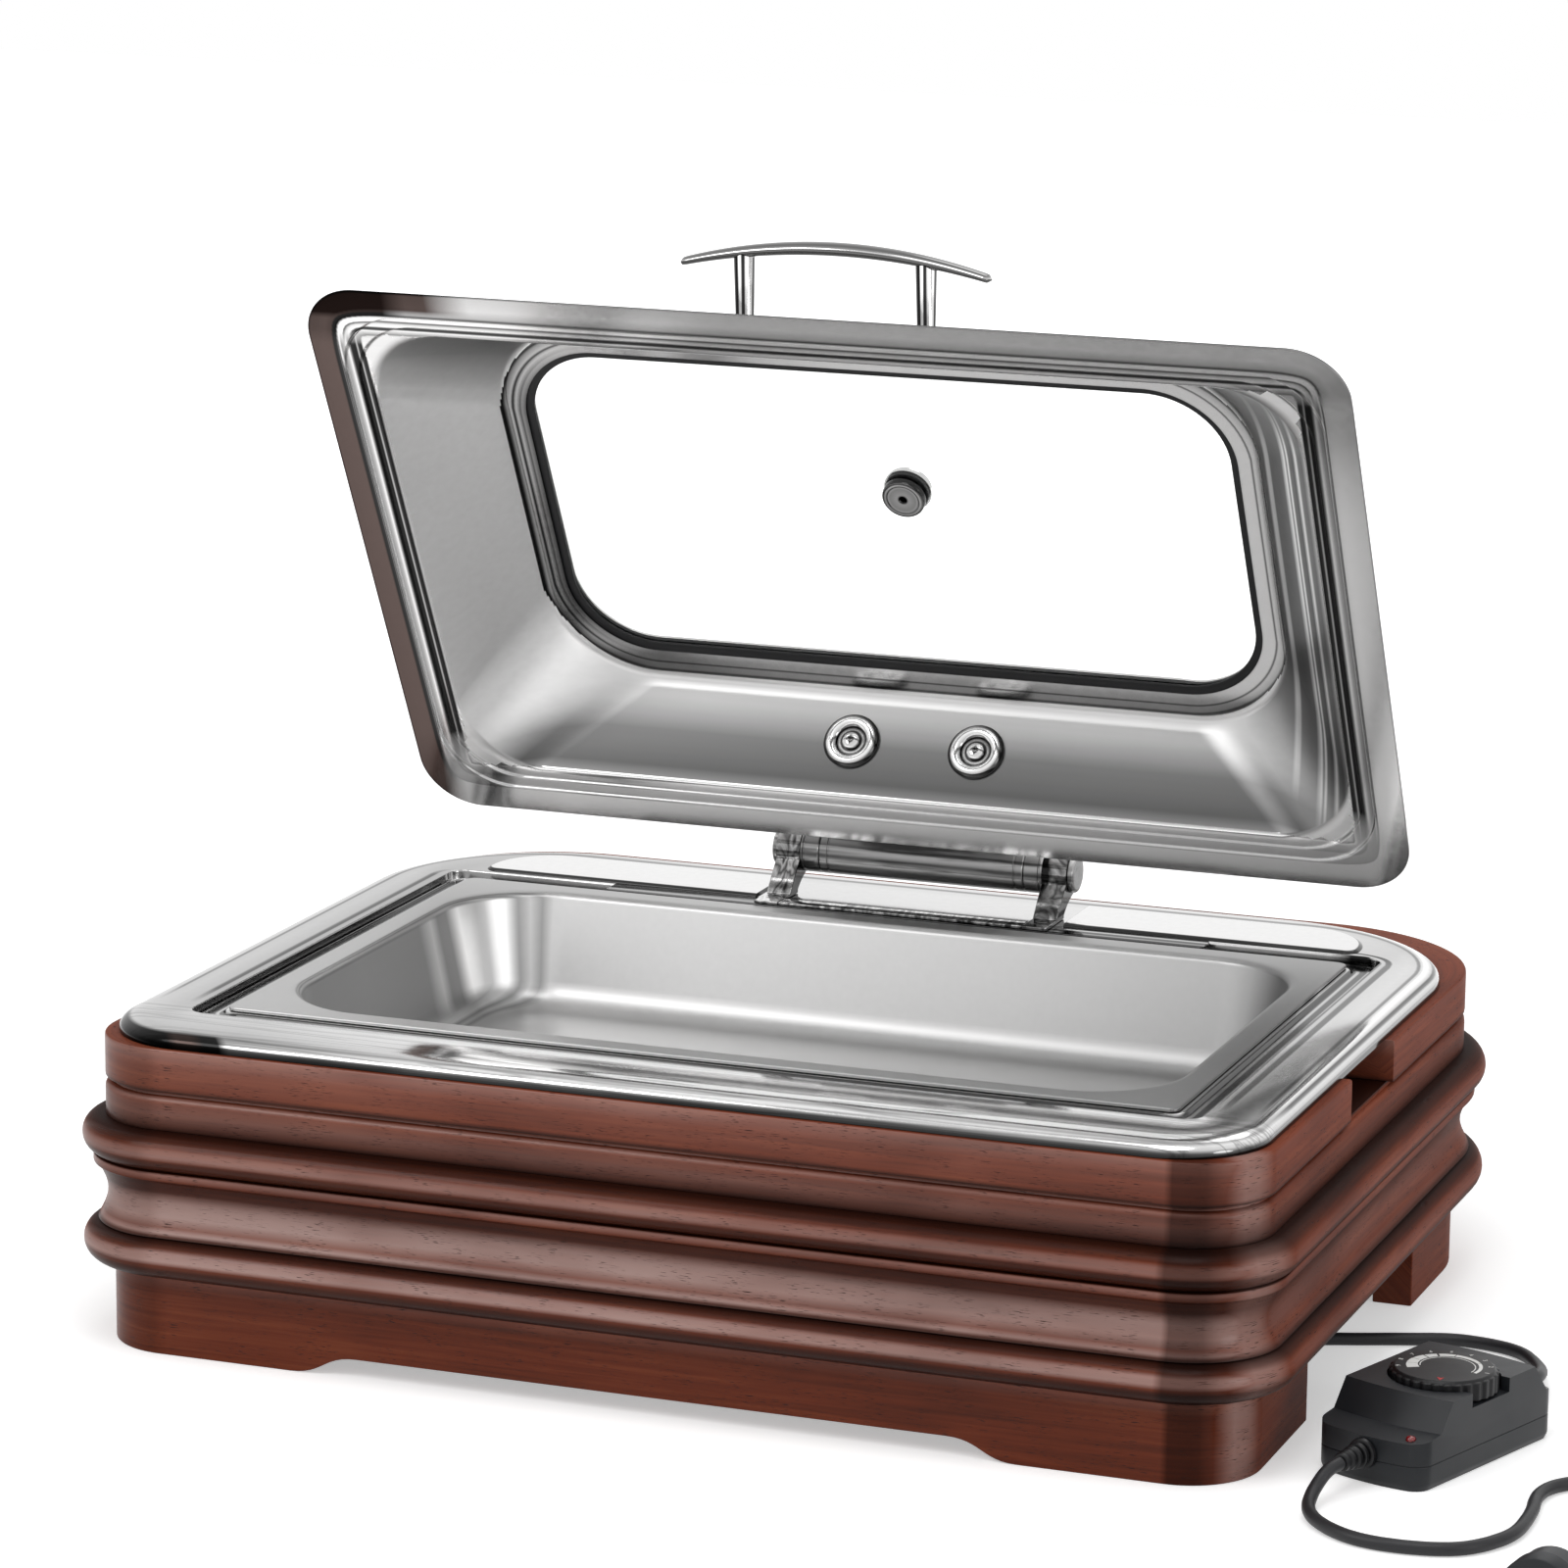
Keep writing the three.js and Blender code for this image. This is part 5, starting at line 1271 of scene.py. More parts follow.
@dataclass(frozen=True)
class BoardCoat:
    """A green circuit board with its tracks under the coat."""

    name: str = "coated circuit board"
    turn: float = 71.0

    def build(self) -> bpy.types.Material:
        """Draws square tracks and the coat.

        Returns:
            The material.
        """
        pen = NodePen(self.name)
        here = pen.places()
        turned = pen.stretched(here, (1, 1, 1), (0, 0, self.turn))
        made = pen.node("ShaderNodeTexBrick", Vector=turned, Scale=90.0)
        tracks = pen.steps(made.outputs["Fac"], (0.2, 0.0), (0.8, 1.0))
        pen.to_shader("Base Color", pen.mixed(tracks, (0.010, 0.075, 0.028), (0.022, 0.14, 0.052)))
        pen.to_shader("Roughness", pen.steps(pen.noise(here, 120.0), (0.3, 0.3), (0.7, 0.45)))
        pen.relief(tracks, 0.05)
        return pen.material


DOWN_LID = (0.0, 0.4843, -0.8749)
# The colour of the painted reflection of the wood in the steel.
PAINTED_WOOD_REFLECTION = (0.12, 0.088, 0.080)


def recess_shade() -> Shade:
    """Painted shade and reflections on the steps between the frame's border and the food pan."""
    return banded(
        "recess", (-9.0, 0.8), (-7.5, 0.20), (-1.0, 0.20), (0.4, 0.85), (1.6, 0.9), (2.6, 0.10),
        (5.0, 0.06), (6.0, 0.9), (7.2, 0.7), (8.0, 0.06), (11.2, 0.06), (12.2, 0.7), (13.6, 0.8),
        (14.4, 0.06), (15.8, 0.10), (16.6, 1.0)
    )


def frame_shades() -> tuple[Shade, ...]:
    """Painted reflections and shade on the frame's lip, border and recess, which look different at
    the right.

    Returns:
        Its shades.
    """
    near_front = placed(AHEAD, (190.0, 0.0), (206.0, 1.0))
    at_sides = placed(AHEAD, (160.0, 1.0), (192.0, 0.0))
    at_right = (at_sides, placed(RIGHT, (250.0, 0.0), (262.0, 1.0)))
    return (
        facing(
            UP, (-1.0, 0.25), (0.02, 0.30), (0.25, 0.60), (0.45, 0.9), (0.80, 0.9), (0.95, 0.90),
            (1.0, 0.82)
        ),
        placed(
            RIGHT, (-312.0, 0.8), (-290.0, 0.62), (-235.0, 0.60), (-190.0, 0.75), (-120.0, 1.0),
            (200.0, 1.0), (285.0, 0.80), (305.0, 1.0)
        ),
        banded("edge", (0.0, 0.10), (1.0, 0.8), (2.5, 1.0), (4.0, 0.55), (5.0, 0.6), (7.5, 1.0)),
        banded(
            "edge", (10.5, 1.0), (11.5, 0.2), (12.5, 0.25), (13.5, 0.9), (18.0, 1.0),
            where=(at_sides,)
        ),
        recess_shade(),
        banded(
            "recess", (5.5, 1.0), (6.2, 0.05), (11.0, 0.04), (11.8, 1.0), (15.4, 1.0), (16.2, 0.03),
            (19.6, 0.03), (20.4, 1.0), (22.4, 1.0), (23.0, 0.05), (25.4, 0.06), (26.4, 1.0),
            where=at_right
        ),
        banded(
            "edge", (2.0, 1.0), (3.0, 0.3), (4.2, 0.2), (5.0, 1.3), (9.0, 1.5), (10.0, 1.0),
            where=at_right
        ),
        banded(
            "recess", (16.2, 0.04), (17.6, 0.05), (18.4, 0.9), (21.8, 0.8), (22.8, 0.06),
            (24.6, 0.08), (26.5, 1.0), where=(at_sides, placed(BACK, (130.0, 1.0), (146.0, 0.0)))
        ),
        clouded(
            (3.0, 110.0, 40.0), (0.40, 1.0), (0.46, 0.6), (0.50, 1.0), (0.58, 1.0), (0.61, 0.65),
            (0.65, 1.0), where=(near_front,)
        ),
        # Painted reflection of the wood at the frame's front left corner.
        placed(
            (-0.7071, -0.7071, 0.0), (345.0, 1.0), (349.0, 0.05), (355.0, 0.05), (360.0, PAINTED_WOOD_REFLECTION),
            (366.0, PAINTED_WOOD_REFLECTION), (370.0, 0.03), (384.0, 0.04),
            where=(banded("edge", (4.5, 1.0), (6.5, 0.0)),)
        )
    )


def ledge_shades() -> tuple[Shade, ...]:
    """Painted shade on the water pan's rim and ledge, darker underneath and on the recess steps."""
    return (facing(UP, (-1.0, 0.3), (0.9, 0.8), (1.0, 0.8)), recess_shade())


def panel_shades() -> tuple[Shade, ...]:
    """Painted shade on the sloped edges of the raised panels."""
    return (facing(UP, (-1.0, 0.04), (0.96, 0.05), (0.99, 0.85), (1.0, 0.95)),)


def pan_shades() -> tuple[Shade, ...]:
    """Painted shade and reflections on the food pan's floor and walls, with bright painted streaks
    on the left wall.
    """
    return (
        facing(
            UP, (-1.0, 1.0), (0.15, 0.96), (0.26, 0.74), (0.42, 0.60), (0.75, 0.55), (0.93, 0.56),
            (1.0, 0.56)
        ),
        facing(
            RIGHT, (-1.0, 0.42), (-0.8, 0.40), (-0.4, 0.85), (0.0, 1.0), (0.16, 1.0), (0.28, 0.55),
            (0.40, 0.9), (0.52, 0.5), (0.64, 1.0), (0.76, 0.8), (0.86, 0.5), (0.94, 0.42),
            (1.0, 0.44)
        ),
        placed(
            BACK, (-60.0, 1.0), (20.0, 0.8), (36.0, 1.7), (46.0, 0.8), (58.0, 0.9), (72.0, 3.0),
            (90.0, 1.6), where=(facing(RIGHT, (0.80, 0.0), (0.95, 1.0)),)
        ),
        placed((1.0, -0.5, 0.0), (-160.0, 1.0), (20.0, 0.86), (300.0, 0.52))
    )


def wall_shades() -> tuple[Shade, ...]:
    """Painted shade and reflections on the lid's walls, darker at the foot, streaked at the right.

    Returns:
        Its shades.
    """
    lower_wall = facing((0.0, -0.824, 0.566), (0.50, 0.0), (0.93, 1.0))
    right_wall = facing(RIGHT, (-0.76, 1.0), (-0.35, 0.0))
    return (
        facing(
            RIGHT, (-1.0, 0.30), (-0.6, 0.45), (-0.35, 0.8), (0.0, 0.92), (0.5, 1.0), (1.0, 1.0)
        ),
        facing(UP, (-1.0, 0.22), (-0.75, 0.40), (-0.45, 1.0)),
        placed(
            DOWN_LID, (-178.0, 0.62), (-171.0, 0.50), (-162.0, 0.18), (-152.0, 0.10),
            (-147.0, 0.25), where=(lower_wall,)
        ),
        placed(
            RIGHT, (220.0, 0.25), (225.0, 0.25), (227.0, 1.6), (229.5, 1.4), (231.0, 0.20),
            (237.0, 0.16), (242.0, 0.22), (243.5, 1.2), (245.5, 2.4), (247.0, 0.3), (248.5, 2.6),
            (250.0, 0.3), (254.0, 0.10), (256.5, 2.2), (258.5, 0.3), (262.0, 0.2), (266.0, 1.2),
            where=(right_wall,)
        )
    )


def rim_shades() -> tuple[Shade, ...]:
    """Painted reflections and shade on the lid's rim and the ring round its window.

    Returns:
        Its shades.
    """
    top_left = (
        placed(RIGHT, (-222.0, 1.0), (-196.0, 0.0)), placed(DOWN_LID, (-474.0, 1.0), (-470.0, 0.0))
    )
    at_top = placed(DOWN_LID, (-462.0, 1.0), (-452.0, 0.0))
    at_bottom = placed(DOWN_LID, (-172.0, 0.0), (-150.0, 1.0))
    above = placed(DOWN_LID, (-462.0, 0.0), (-452.0, 1.0), (-172.0, 1.0), (-150.0, 0.0))
    return (
        banded(
            "rim", (0.0, 0.15), (0.8, 0.9), (13.0, 1.0), (15.6, 0.9), (16.3, 0.06), (17.3, 0.9),
            (18.3, 0.30), (20.0, 0.45), (21.6, 0.9), (22.6, 0.25), (23.4, 0.03), (26.4, 0.02),
            (27.2, 0.5), (28.0, 0.05), (30.0, 0.02), (31.0, 0.9), (33.0, 0.8), where=(above,)
        ),
        banded(
            "rim", (0.0, 0.15), (0.8, 0.6), (9.0, 0.7), (14.0, 0.5), (15.6, 0.06), (17.2, 0.9),
            (19.6, 1.0), (20.6, 0.08), (22.0, 0.7), (24.0, 1.0), (25.2, 0.05), (26.6, 0.08),
            (27.4, 0.9), (29.5, 0.5), (30.6, 0.05), (31.4, 0.6), (33.0, 0.8), where=(at_top,)
        ),
        banded(
            "rim", (0.0, 0.5), (0.8, 0.74), (15.6, 0.80), (16.3, 0.45), (18.3, 0.50), (23.0, 0.55),
            (24.0, 0.40), (26.0, 0.50), (29.0, 0.6), (30.4, 0.9), (31.2, 0.35), (33.0, 0.8),
            where=(at_bottom,)
        ),
        # Painted reflection of the wood, brown with dark edges, on the left of the rim and at its
        # top left corner.
        banded(
            "rim", (0.0, (0.03, 0.02, 0.02)), (1.5, PAINTED_WOOD_REFLECTION), (12.6, PAINTED_WOOD_REFLECTION), (13.8, (0.03,) * 3),
            (15.6, (0.05,) * 3), (16.7, (1.0,) * 3),
            where=(placed((1.0, 0.0, -0.12), (-312.0, 1.0), (-298.0, 0.0)),)
        ),
        banded(
            "rim", (0.0, (0.03, 0.02, 0.02)), (1.5, PAINTED_WOOD_REFLECTION), (11.0, PAINTED_WOOD_REFLECTION), (15.0, (1.0,) * 3),
            where=top_left
        ),
        banded(
            "ring", (4.6, 0.03), (7.0, 0.22), (8.0, 0.05), (10.5, 0.45), (12.2, 0.05), (14.0, 0.50),
            (17.0, 0.25), (18.4, 0.05), (20.0, 0.50), (21.5, 1.0),
            where=(placed(RIGHT, (-215.0, 1.0), (-150.0, 0.0)),)
        ),
        banded(
            "ring", (4.6, 0.8), (5.6, 1.0), (9.0, 1.0), (11.5, 1.0), (12.6, 0.16), (13.6, 0.9),
            (17.0, 0.7), (18.4, 0.12), (20.0, 0.50), (21.5, 1.0), (24.0, 0.45), (30.0, 1.0)
        )
    )


def barrel_shades() -> tuple[Shade, ...]:
    """Painted highlight above, painted shade below and painted reflection streaks on the hinge
    barrel and its rings.
    """
    return (
        facing(
            UP, (-1.0, 0.12), (-0.35, 0.10), (-0.2, 0.30), (0.0, 0.16), (0.22, 0.45), (0.5, 0.62),
            (0.7, 1.0), (0.92, 1.0)
        ),
        clouded((9.0, 60.0, 160.0), (0.36, 0.35), (0.46, 1.0), (0.56, 1.0), (0.64, 0.45))
    )


def bracket_shades() -> tuple[Shade, ...]:
    """Painted shade and reflection streaks on the hinge brackets and their strip."""
    return (
        facing(UP, (-1.0, 0.1), (0.0, 0.30), (0.6, 0.55), (0.9, 1.0)),
        facing(RIGHT, (-1.0, 0.15), (-0.4, 1.0), (0.4, 1.0), (1.0, 0.12)),
        clouded(
            (70.0, 20.0, 45.0), (0.38, 0.05), (0.46, 1.0), (0.52, 0.15), (0.60, 0.9), (0.66, 0.10)
        )
    )


def post_shades() -> tuple[Shade, ...]:
    """Painted reflections on the handle's posts: dark and bright bands by the way they face."""
    return (
        facing(
            RIGHT, (-1.0, 0.02), (-0.32, 0.02), (-0.22, 0.8), (-0.02, 0.9), (0.06, 0.03),
            (0.33, 0.02), (0.44, 0.8), (0.88, 0.9), (0.95, 0.04), (1.0, 0.1)
        ),
    )


def bar_shades() -> tuple[Shade, ...]:
    """Painted reflections on the handle's bar: a bright line along the top between dark bands."""
    return (
        facing(
            UP, (-1.0, 0.06), (-0.5, 0.08), (-0.25, 0.16), (0.1, 0.12), (0.32, 0.25), (0.46, 0.9),
            (0.6, 0.35), (0.85, 0.16), (0.95, 0.20), (1.0, 0.30)
        ),
        facing(AHEAD, (-1.0, 1.6), (-0.6, 1.4), (-0.3, 1.0))
    )


def button_shades() -> tuple[Shade, ...]:
    """Painted reflection rings on the washers and screws inside the lid, darker at their sides."""
    return (
        banded(
            "round", (0.0, 0.05), (1.6, 0.08), (2.4, 0.7), (4.4, 0.8), (5.2, 0.08), (6.2, 0.10),
            (7.0, 0.85), (8.2, 0.12), (9.2, 0.5), (11.5, 1.0), (13.6, 0.9), (14.8, 0.10),
            (16.6, 0.06)
        ),
        facing(RIGHT, (-0.9, 0.3), (-0.5, 1.0), (0.5, 1.0), (0.9, 0.25))
    )


def disc_shades() -> tuple[Shade, ...]:
    """Painted reflection rings on the vent's disc."""
    return (
        banded(
            "round", (0.0, 0.02), (2.4, 0.03), (3.4, 0.42), (7.5, 0.30), (8.6, 0.42), (9.4, 0.05),
            (10.4, 0.50), (11.4, 0.15), (12.6, 0.03)
        ),
    )


class Shelf:
    """Every finish of the dish, built once."""

    def __init__(self) -> None:
        """Lists the finishes."""
        self.built: dict[str, bpy.types.Material] = {}
        self.recipes: dict[str, Callable[[], bpy.types.Material]] = {
            "wood": Mahogany().build,
            "frame": Steel("polished frame sheet", 0.92, 0.11, frame_shades()).build,
            "panel": Steel("polished raised panel", 0.92, 0.11, panel_shades()).build,
            "lid": Steel(
                "satin lid sheet", 0.97, 0.38, wall_shades(), brush=(0.02, 1.0, 1.0), streak=0.04
            ).build,
            "flange": Steel("polished lid rim", 0.95, 0.17, rim_shades()).build,
            "hinge": Steel(
                "polished hinge steel", 0.92, 0.22, barrel_shades(), 0.05, 60.0, metal=0.5
            ).build,
            "bracket": Steel(
                "polished bracket steel", 0.88, 0.12, bracket_shades(), wave=0.12, wave_scale=60.0
            ).build,
            "handle": Steel("polished handle bar", 0.88, 0.10, bar_shades()).build,
            "post": Steel("polished handle post", 0.88, 0.10, post_shades()).build,
            "trim": Steel("polished window trim", 0.62, 0.12).build,
            "pan": Steel("satin pan sheet", 0.89, 0.40, pan_shades(), streak=0.02).build,
            "ledge": Steel("polished water pan", 0.85, 0.14, ledge_shades()).build,
            "button": Steel(
                "polished washer steel", 0.85, 0.14, button_shades(), wave_scale=160.0
            ).build,
            "disc": Steel("polished vent disc", 0.85, 0.16, disc_shades(), wave_scale=160.0).build,
            "bright": Steel("polished fastener steel", 0.66, 0.12, wave_scale=160.0).build,
            "dark": Steel("dark screw steel", 0.14, 0.38, wave_scale=90.0).build,
            "aluminium": Steel(
                "rolled aluminium", 0.52, 0.42, brush=(0.03, 1.0, 1.0), streak=0.1
            ).build,
            "rubber": Moulded("seal rubber", (0.010, 0.010, 0.011), 0.55, 600.0, 0.02).build,
            "glass": Tempered().build,
            "case": Moulded(
                "charcoal case plastic", (0.013, 0.0145, 0.017), 0.40, 1400.0, 0.03, level=0.3
            ).build,
            "dial": Moulded(
                "black dial plastic", (0.006, 0.006, 0.007), 0.38, 1400.0, 0.02, level=0.3
            ).build,
            "white": Moulded(
                "white dial print", (0.78, 0.78, 0.76), 0.55, 2000.0, 0.01, 0.04
            ).build,
            "red": Moulded("red dial print", (0.42, 0.020, 0.022), 0.5, 2000.0, 0.01, 0.08).build,
            "lamp": Lens("red lamp lens", (0.45, 0.010, 0.014)).build, "board": BoardCoat().build,
            "cord": Moulded("black cord sheath", (0.014, 0.014, 0.016), 0.48, 700.0, 0.03).build,
            "terminal": Moulded(
                "heatproof black resin", (0.018, 0.018, 0.018), 0.6, 500.0, 0.05
            ).build
        }

    def take(self, name: str) -> bpy.types.Material:
        """The named finish's material, built the first time it is asked for."""
        if name not in self.built:
            self.built[name] = self.recipes[name]()
        return self.built[name]


class Fitter:
    """Gives a made piece its finish and the body that it moves with."""

    def __init__(self, frame: dict, shelf: Shelf) -> None:
        """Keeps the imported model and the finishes.

        Args:
            frame: what the frame loader returned.
            shelf: the finishes.
        """
        self.frame = frame
        self.shelf = shelf

    def fit(
        self, piece: bpy.types.Object, finish: str, body: Body, slot: Slot, *nodes: str
    ) -> bpy.types.Object:
        """Finishes one piece.

        Args:
            piece: the piece, at the origin.
            finish: the finish's name on the shelf.
            body: the body that it moves with.
            slot: the record's slot that its finish belongs to; not used.
            *nodes: the model's own solids that it stands for.

        Returns:
            The piece.
        """
        piece.data.materials.clear()
        piece.data.materials.append(self.shelf.take(finish))
        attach(piece, body.value)
        if nodes:
            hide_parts(*nodes)
        count = len(piece.data.polygons) if piece.type == "MESH" else 0
        log.info("%s: %s on %s, %d faces", piece.name, finish, body.value, count)
        return piece

    def keep(self, finish: str, *nodes: str) -> None:
        """Gives solids that stay as they are a finish.

        Args:
            finish: the finish's name on the shelf.
            *nodes: the solids' names.
        """
        for name in nodes:
            node = self.frame["nodes"][name]
            node.data.materials.clear()
            node.data.materials.append(self.shelf.take(finish))
            log.info("%s: kept, %s", name, finish)


# Wooden base


@dataclass
class WoodBase:
    """The stacked mahogany mouldings and the rail that carries the frame."""

    fitter: Fitter
    plan: Outline = Outline(319.0, -251.5, 251.5, 40.0, 96.0)
    wall: float = 22.0
    levels: tuple[float, ...] = (0.0, 45.0, 67.0, 104.0, 125.0, 146.0, 169.0)
    bead_reach: float = 16.7
    cove_reach: float = 9.0
    cove_waist: float = 3.4
    cove_lip: tuple[float, float] = (11.0, 5.0)
    band_reach: float = 4.0
    groove: float = 2.5
    rail_reach: float = 4.0
    rail_inside: Outline = Outline(297.0, -229.5, 209.5, 18.0, 80.0)
    arch: tuple[float, float, float] = (202.0, 10.5, 38.0)
    side_opening: tuple[float, float] = (-127.5, 83.7)
    hand_notch: tuple[float, float] = (-71.4, 13.4)

    def build(self) -> None:
        """Makes every moulding from the table up."""
        _, bead, cove, upper, band, rail, top = self.levels
        self._plinth(bead - SEAT)
        self._moulding("wood_lower_bead", self._bead(bead, cove - SEAT), 0.0)
        self._moulding("wood_cove", self._cove(cove, upper - SEAT), 0.7)
        self._moulding("wood_upper_bead", self._bead(upper, band - SEAT), 0.0)
        self._moulding("wood_band", self._band(band, rail - SEAT), 0.0)
        self._rail(rail, top)

    def _fit(self, piece: bpy.types.Object, *nodes: str) -> None:
        """Stains and lacquers a piece of the base."""
        self.fitter.fit(piece, "wood", Body.BASE, Slot.MAHOGANY, *nodes)

    def _bead(self, low: float, high: float) -> Section:
        """A half-round section.

        Args:
            low: its underside.
            high: its top.

        Returns:
            Its corners.
        """
        radius = (high - low) / 2
        centre = (self.bead_reach - radius, low + radius)
        return [(-self.wall, low), *arc(centre, radius, -90, 90, 20), (-self.wall, high)]

    def _cove(self, low: float, high: float) -> Section:
        """A hollow section with a lip on top.

        Args:
            low: its underside.
            high: its top.

        Returns:
            Its corners.
        """
        lip, lip_height = self.cove_lip
        end = high - lip_height
        hollow = []
        for step in range(19):
            share = step / 18
            bow = math.sin(share * math.pi) * (self.cove_reach - self.cove_waist)
            hollow.append((self.cove_reach - bow, low + (end - low) * share))
        return [(-self.wall, low), *hollow, (lip, end), (lip, high), (-self.wall, high)]

    def _band(self, low: float, high: float) -> Section:
        """A flat section with a rounded top edge and a groove above it.

        Args:
            low: its underside.
            high: its top.

        Returns:
            Its corners.
        """
        radius = self.band_reach
        rounding = arc((0.0, high - self.groove - radius), radius, 0, 90, 8)
        return [(-self.wall, low), (radius, low), *rounding, (0.0, high), (-self.wall, high)]

    def _moulding(self, name: str, section: Section, edge: float) -> None:
        """Sweeps one section round the base.

        Args:
            name: the name of the model's solid.
            section: the section.
            edge: how wide its sharp edges are rounded.
        """
        bench = Bench(name + "_skin")
        bench.sweep(section, self.plan, steps=20)
        if edge:
            bench.bevel_sharp(edge, 3, 60.0)
        self._fit(bench.to_object(grain=self.plan), name)

    def _arch_cutter(self) -> bpy.types.Object:
        """The long low arch with its ogee ends, drawn through the base.

        Returns:
            The tool.
        """
        half, rise, ogee = self.arch
        inner, middle = half - ogee, half - ogee / 2
        right = [(half, -5.0)]
        for step in range(13):
            share = step / 12
            rest = 1 - share
            x = rest**3 * half + 3 * rest * rest * share * middle + 3 * rest * share**2 * middle
            right.append((x + share**3 * inner, rise * (3 * rest * share**2 + share**3)))
        left = [(-x, z) for x, z in reversed(right)]
        bench = Bench("arch_cutter")
        bench.extruded(bench.polygon([(x, -400.0, z) for x, z in right + left]), (0, 800, 0))
        return bench.to_object()

    def _plinth(self, top: float) -> None:
        """The plinth in two pieces, open at the sides and arched at the front and the rear.

        Args:
            top: its height.
        """
        section = [(-self.wall, 0.0), (0.0, 0.0), (0.0, top), (-self.wall, top)]
        cuts = {"front": (self.side_opening[0], 1.0), "rear": (self.side_opening[1], -1.0)}
        for place, (y, side) in cuts.items():
            bench = Bench(f"wood_plinth_{place}_skin")
            bench.sweep(section, self.plan, steps=20)
            bench.keep_side((0, y, 0), (0, side, 0))
            piece = carved(bench.to_object(grain=self.plan), self._arch_cutter())
            self._fit(softened(sharpened(piece), 0.8, 3), f"wood_plinth_{place}")

    def _rail(self, low: float, high: float) -> None:
        """The top rail in two pieces, with a hand notch between them at each side.

        Args:
            low: its underside.
            high: its top.
        """
        outside = self.plan.grown(self.rail_reach)
        stations = [
            Station(self.rail_inside, low), Station(outside, low, 0.8), Station(outside, high, 2.2),
            Station(self.rail_inside, high, 0.8)
        ]
        cuts = {"front": (self.hand_notch[0], 1.0), "rear": (self.hand_notch[1], -1.0)}
        for place, (y, side) in cuts.items():
            bench = Bench(f"wood_rail_{place}_skin")
            bench.loft(filleted(stations, True, 5), True, steps=20)
            bench.keep_side((0, y, 0), (0, side, 0))
            piece = bench.to_object(grain=self.plan)
            self._fit(softened(piece, 0.9, 3), f"wood_rail_{place}")


# Stainless frame and pans


FOOD_RIM = Outline(265.0, -193.4, 131.6, 5.0, 5.0)


@dataclass
class SteelFrame:
    """The frame round the pans and its deck at the rear."""

    fitter: Fitter
    lip: Outline = Outline(318.0, -253.0, 222.0, 50.0, 106.0)
    border: Outline = Outline(307.0, -240.3, 213.2, 44.0, 100.0)
    food_rim: Outline = FOOD_RIM
    lip_bottom: float = 169.3
    border_top: float = 178.3
    recess_floor: float = 172.3
    sheet: float = 1.5
    recess_reach: float = 16.0
    recess_radius: float = 10.0
    deck: Outline = Outline(264.0, 150.1, 200.2, 8.0, 40.0)
    deck_top: float = 179.9
    deck_slope: float = 2.0
    saddle: float = 93.0
    tongue: tuple[float, float] = (180.0, 133.7)

    def build(self) -> None:
        """Makes the frame and its deck."""
        self._ring()
        self._deck()

    def _fit(self, piece: bpy.types.Object, *nodes: str, finish: str = "frame") -> None:
        """Polishes a piece of the frame, and writes how far it lies from the edge and the recess.

        Args:
            piece: the piece.
            *nodes: the model's solids that it stands for.
            finish: the finish's name on the shelf.
        """
        written(piece, "edge", self.lip.inside)
        written(piece, "recess", self.food_rim.outside)
        self.fitter.fit(piece, finish, Body.STEEL, Slot.POLISHED, *nodes)

    def _ring(self) -> None:
        """The sheet round the pans: a rolled lip, a flat border and a recess for the lid's rim."""
        recess = self.food_rim.grown(self.recess_reach).rounded(self.recess_radius)
        inner = self.food_rim.grown(-1.0).rounded(self.recess_radius)
        sheet = self.sheet
        stations = []
        low = self.lip_bottom + sheet
        for step in range(13):
            angle = QUARTER * (1 - step / 12)
            outline = self.border.toward(self.lip, math.sin(angle))
            stations.append(Station(outline, low + (self.border_top - low) * math.cos(angle)))
        stations += [
            Station(recess, self.border_top, 1.2),
            Station(recess.grown(-0.6), self.recess_floor, 1.0),
            Station(inner, self.recess_floor, 0.3), Station(inner, self.recess_floor - sheet, 0.3),
            Station(recess.grown(sheet - 0.6), self.recess_floor - sheet, 1.0),
            Station(recess.grown(sheet), self.border_top - sheet, 1.0)
        ]
        drop = self.border_top - sheet - self.lip_bottom
        for step in range(9):
            angle = QUARTER * step / 8
            outline = self.border.toward(self.lip, math.sin(angle)).grown(-sheet)
            stations.append(Station(outline, self.lip_bottom + drop * math.cos(angle)))
        stations.append(Station(self.lip, self.lip_bottom))
        bench = Bench("frame_ring")
        bench.loft(filleted(stations, True, 4), True, steps=18)
        self._fit(bench.to_object(sharp=50.0), "steel_frame")

    def _deck(self) -> None:
        """The raised panel in two halves, and the tongue between them under the hinge."""
        gap = block((-self.saddle, 100, 150), (self.saddle, 260, 220))
        bench = Bench("deck_panel")
        foot = self.border_top - self.sheet / 2
        rise = [
            Station(self.deck, foot), Station(self.deck, self.border_top + 0.3, 0.5),
            Station(self.deck.grown(-self.deck_slope), self.deck_top, 1.0),
            Station(self.deck.grown(-self.deck_slope - 6.0), self.deck_top, 0.0)
        ]
        bench.loft(filleted(rise, False, 5), False, steps=18)
        panel = carved(bench.to_object(), gap)
        self._fit(softened(sharpened(panel), 0.3), finish="panel")
        half_width, front = self.tongue
        tongue = Bench("deck_tongue")
        outline = Outline(half_width, front, self.deck.front, 2.0, 2.0)
        top = self.border_top
        tongue.loft([Station(outline, top - self.sheet), Station(outline, top)], False, steps=6)
        tongue.bevel_sharp(0.35, 3)
        self._fit(tongue.to_object())


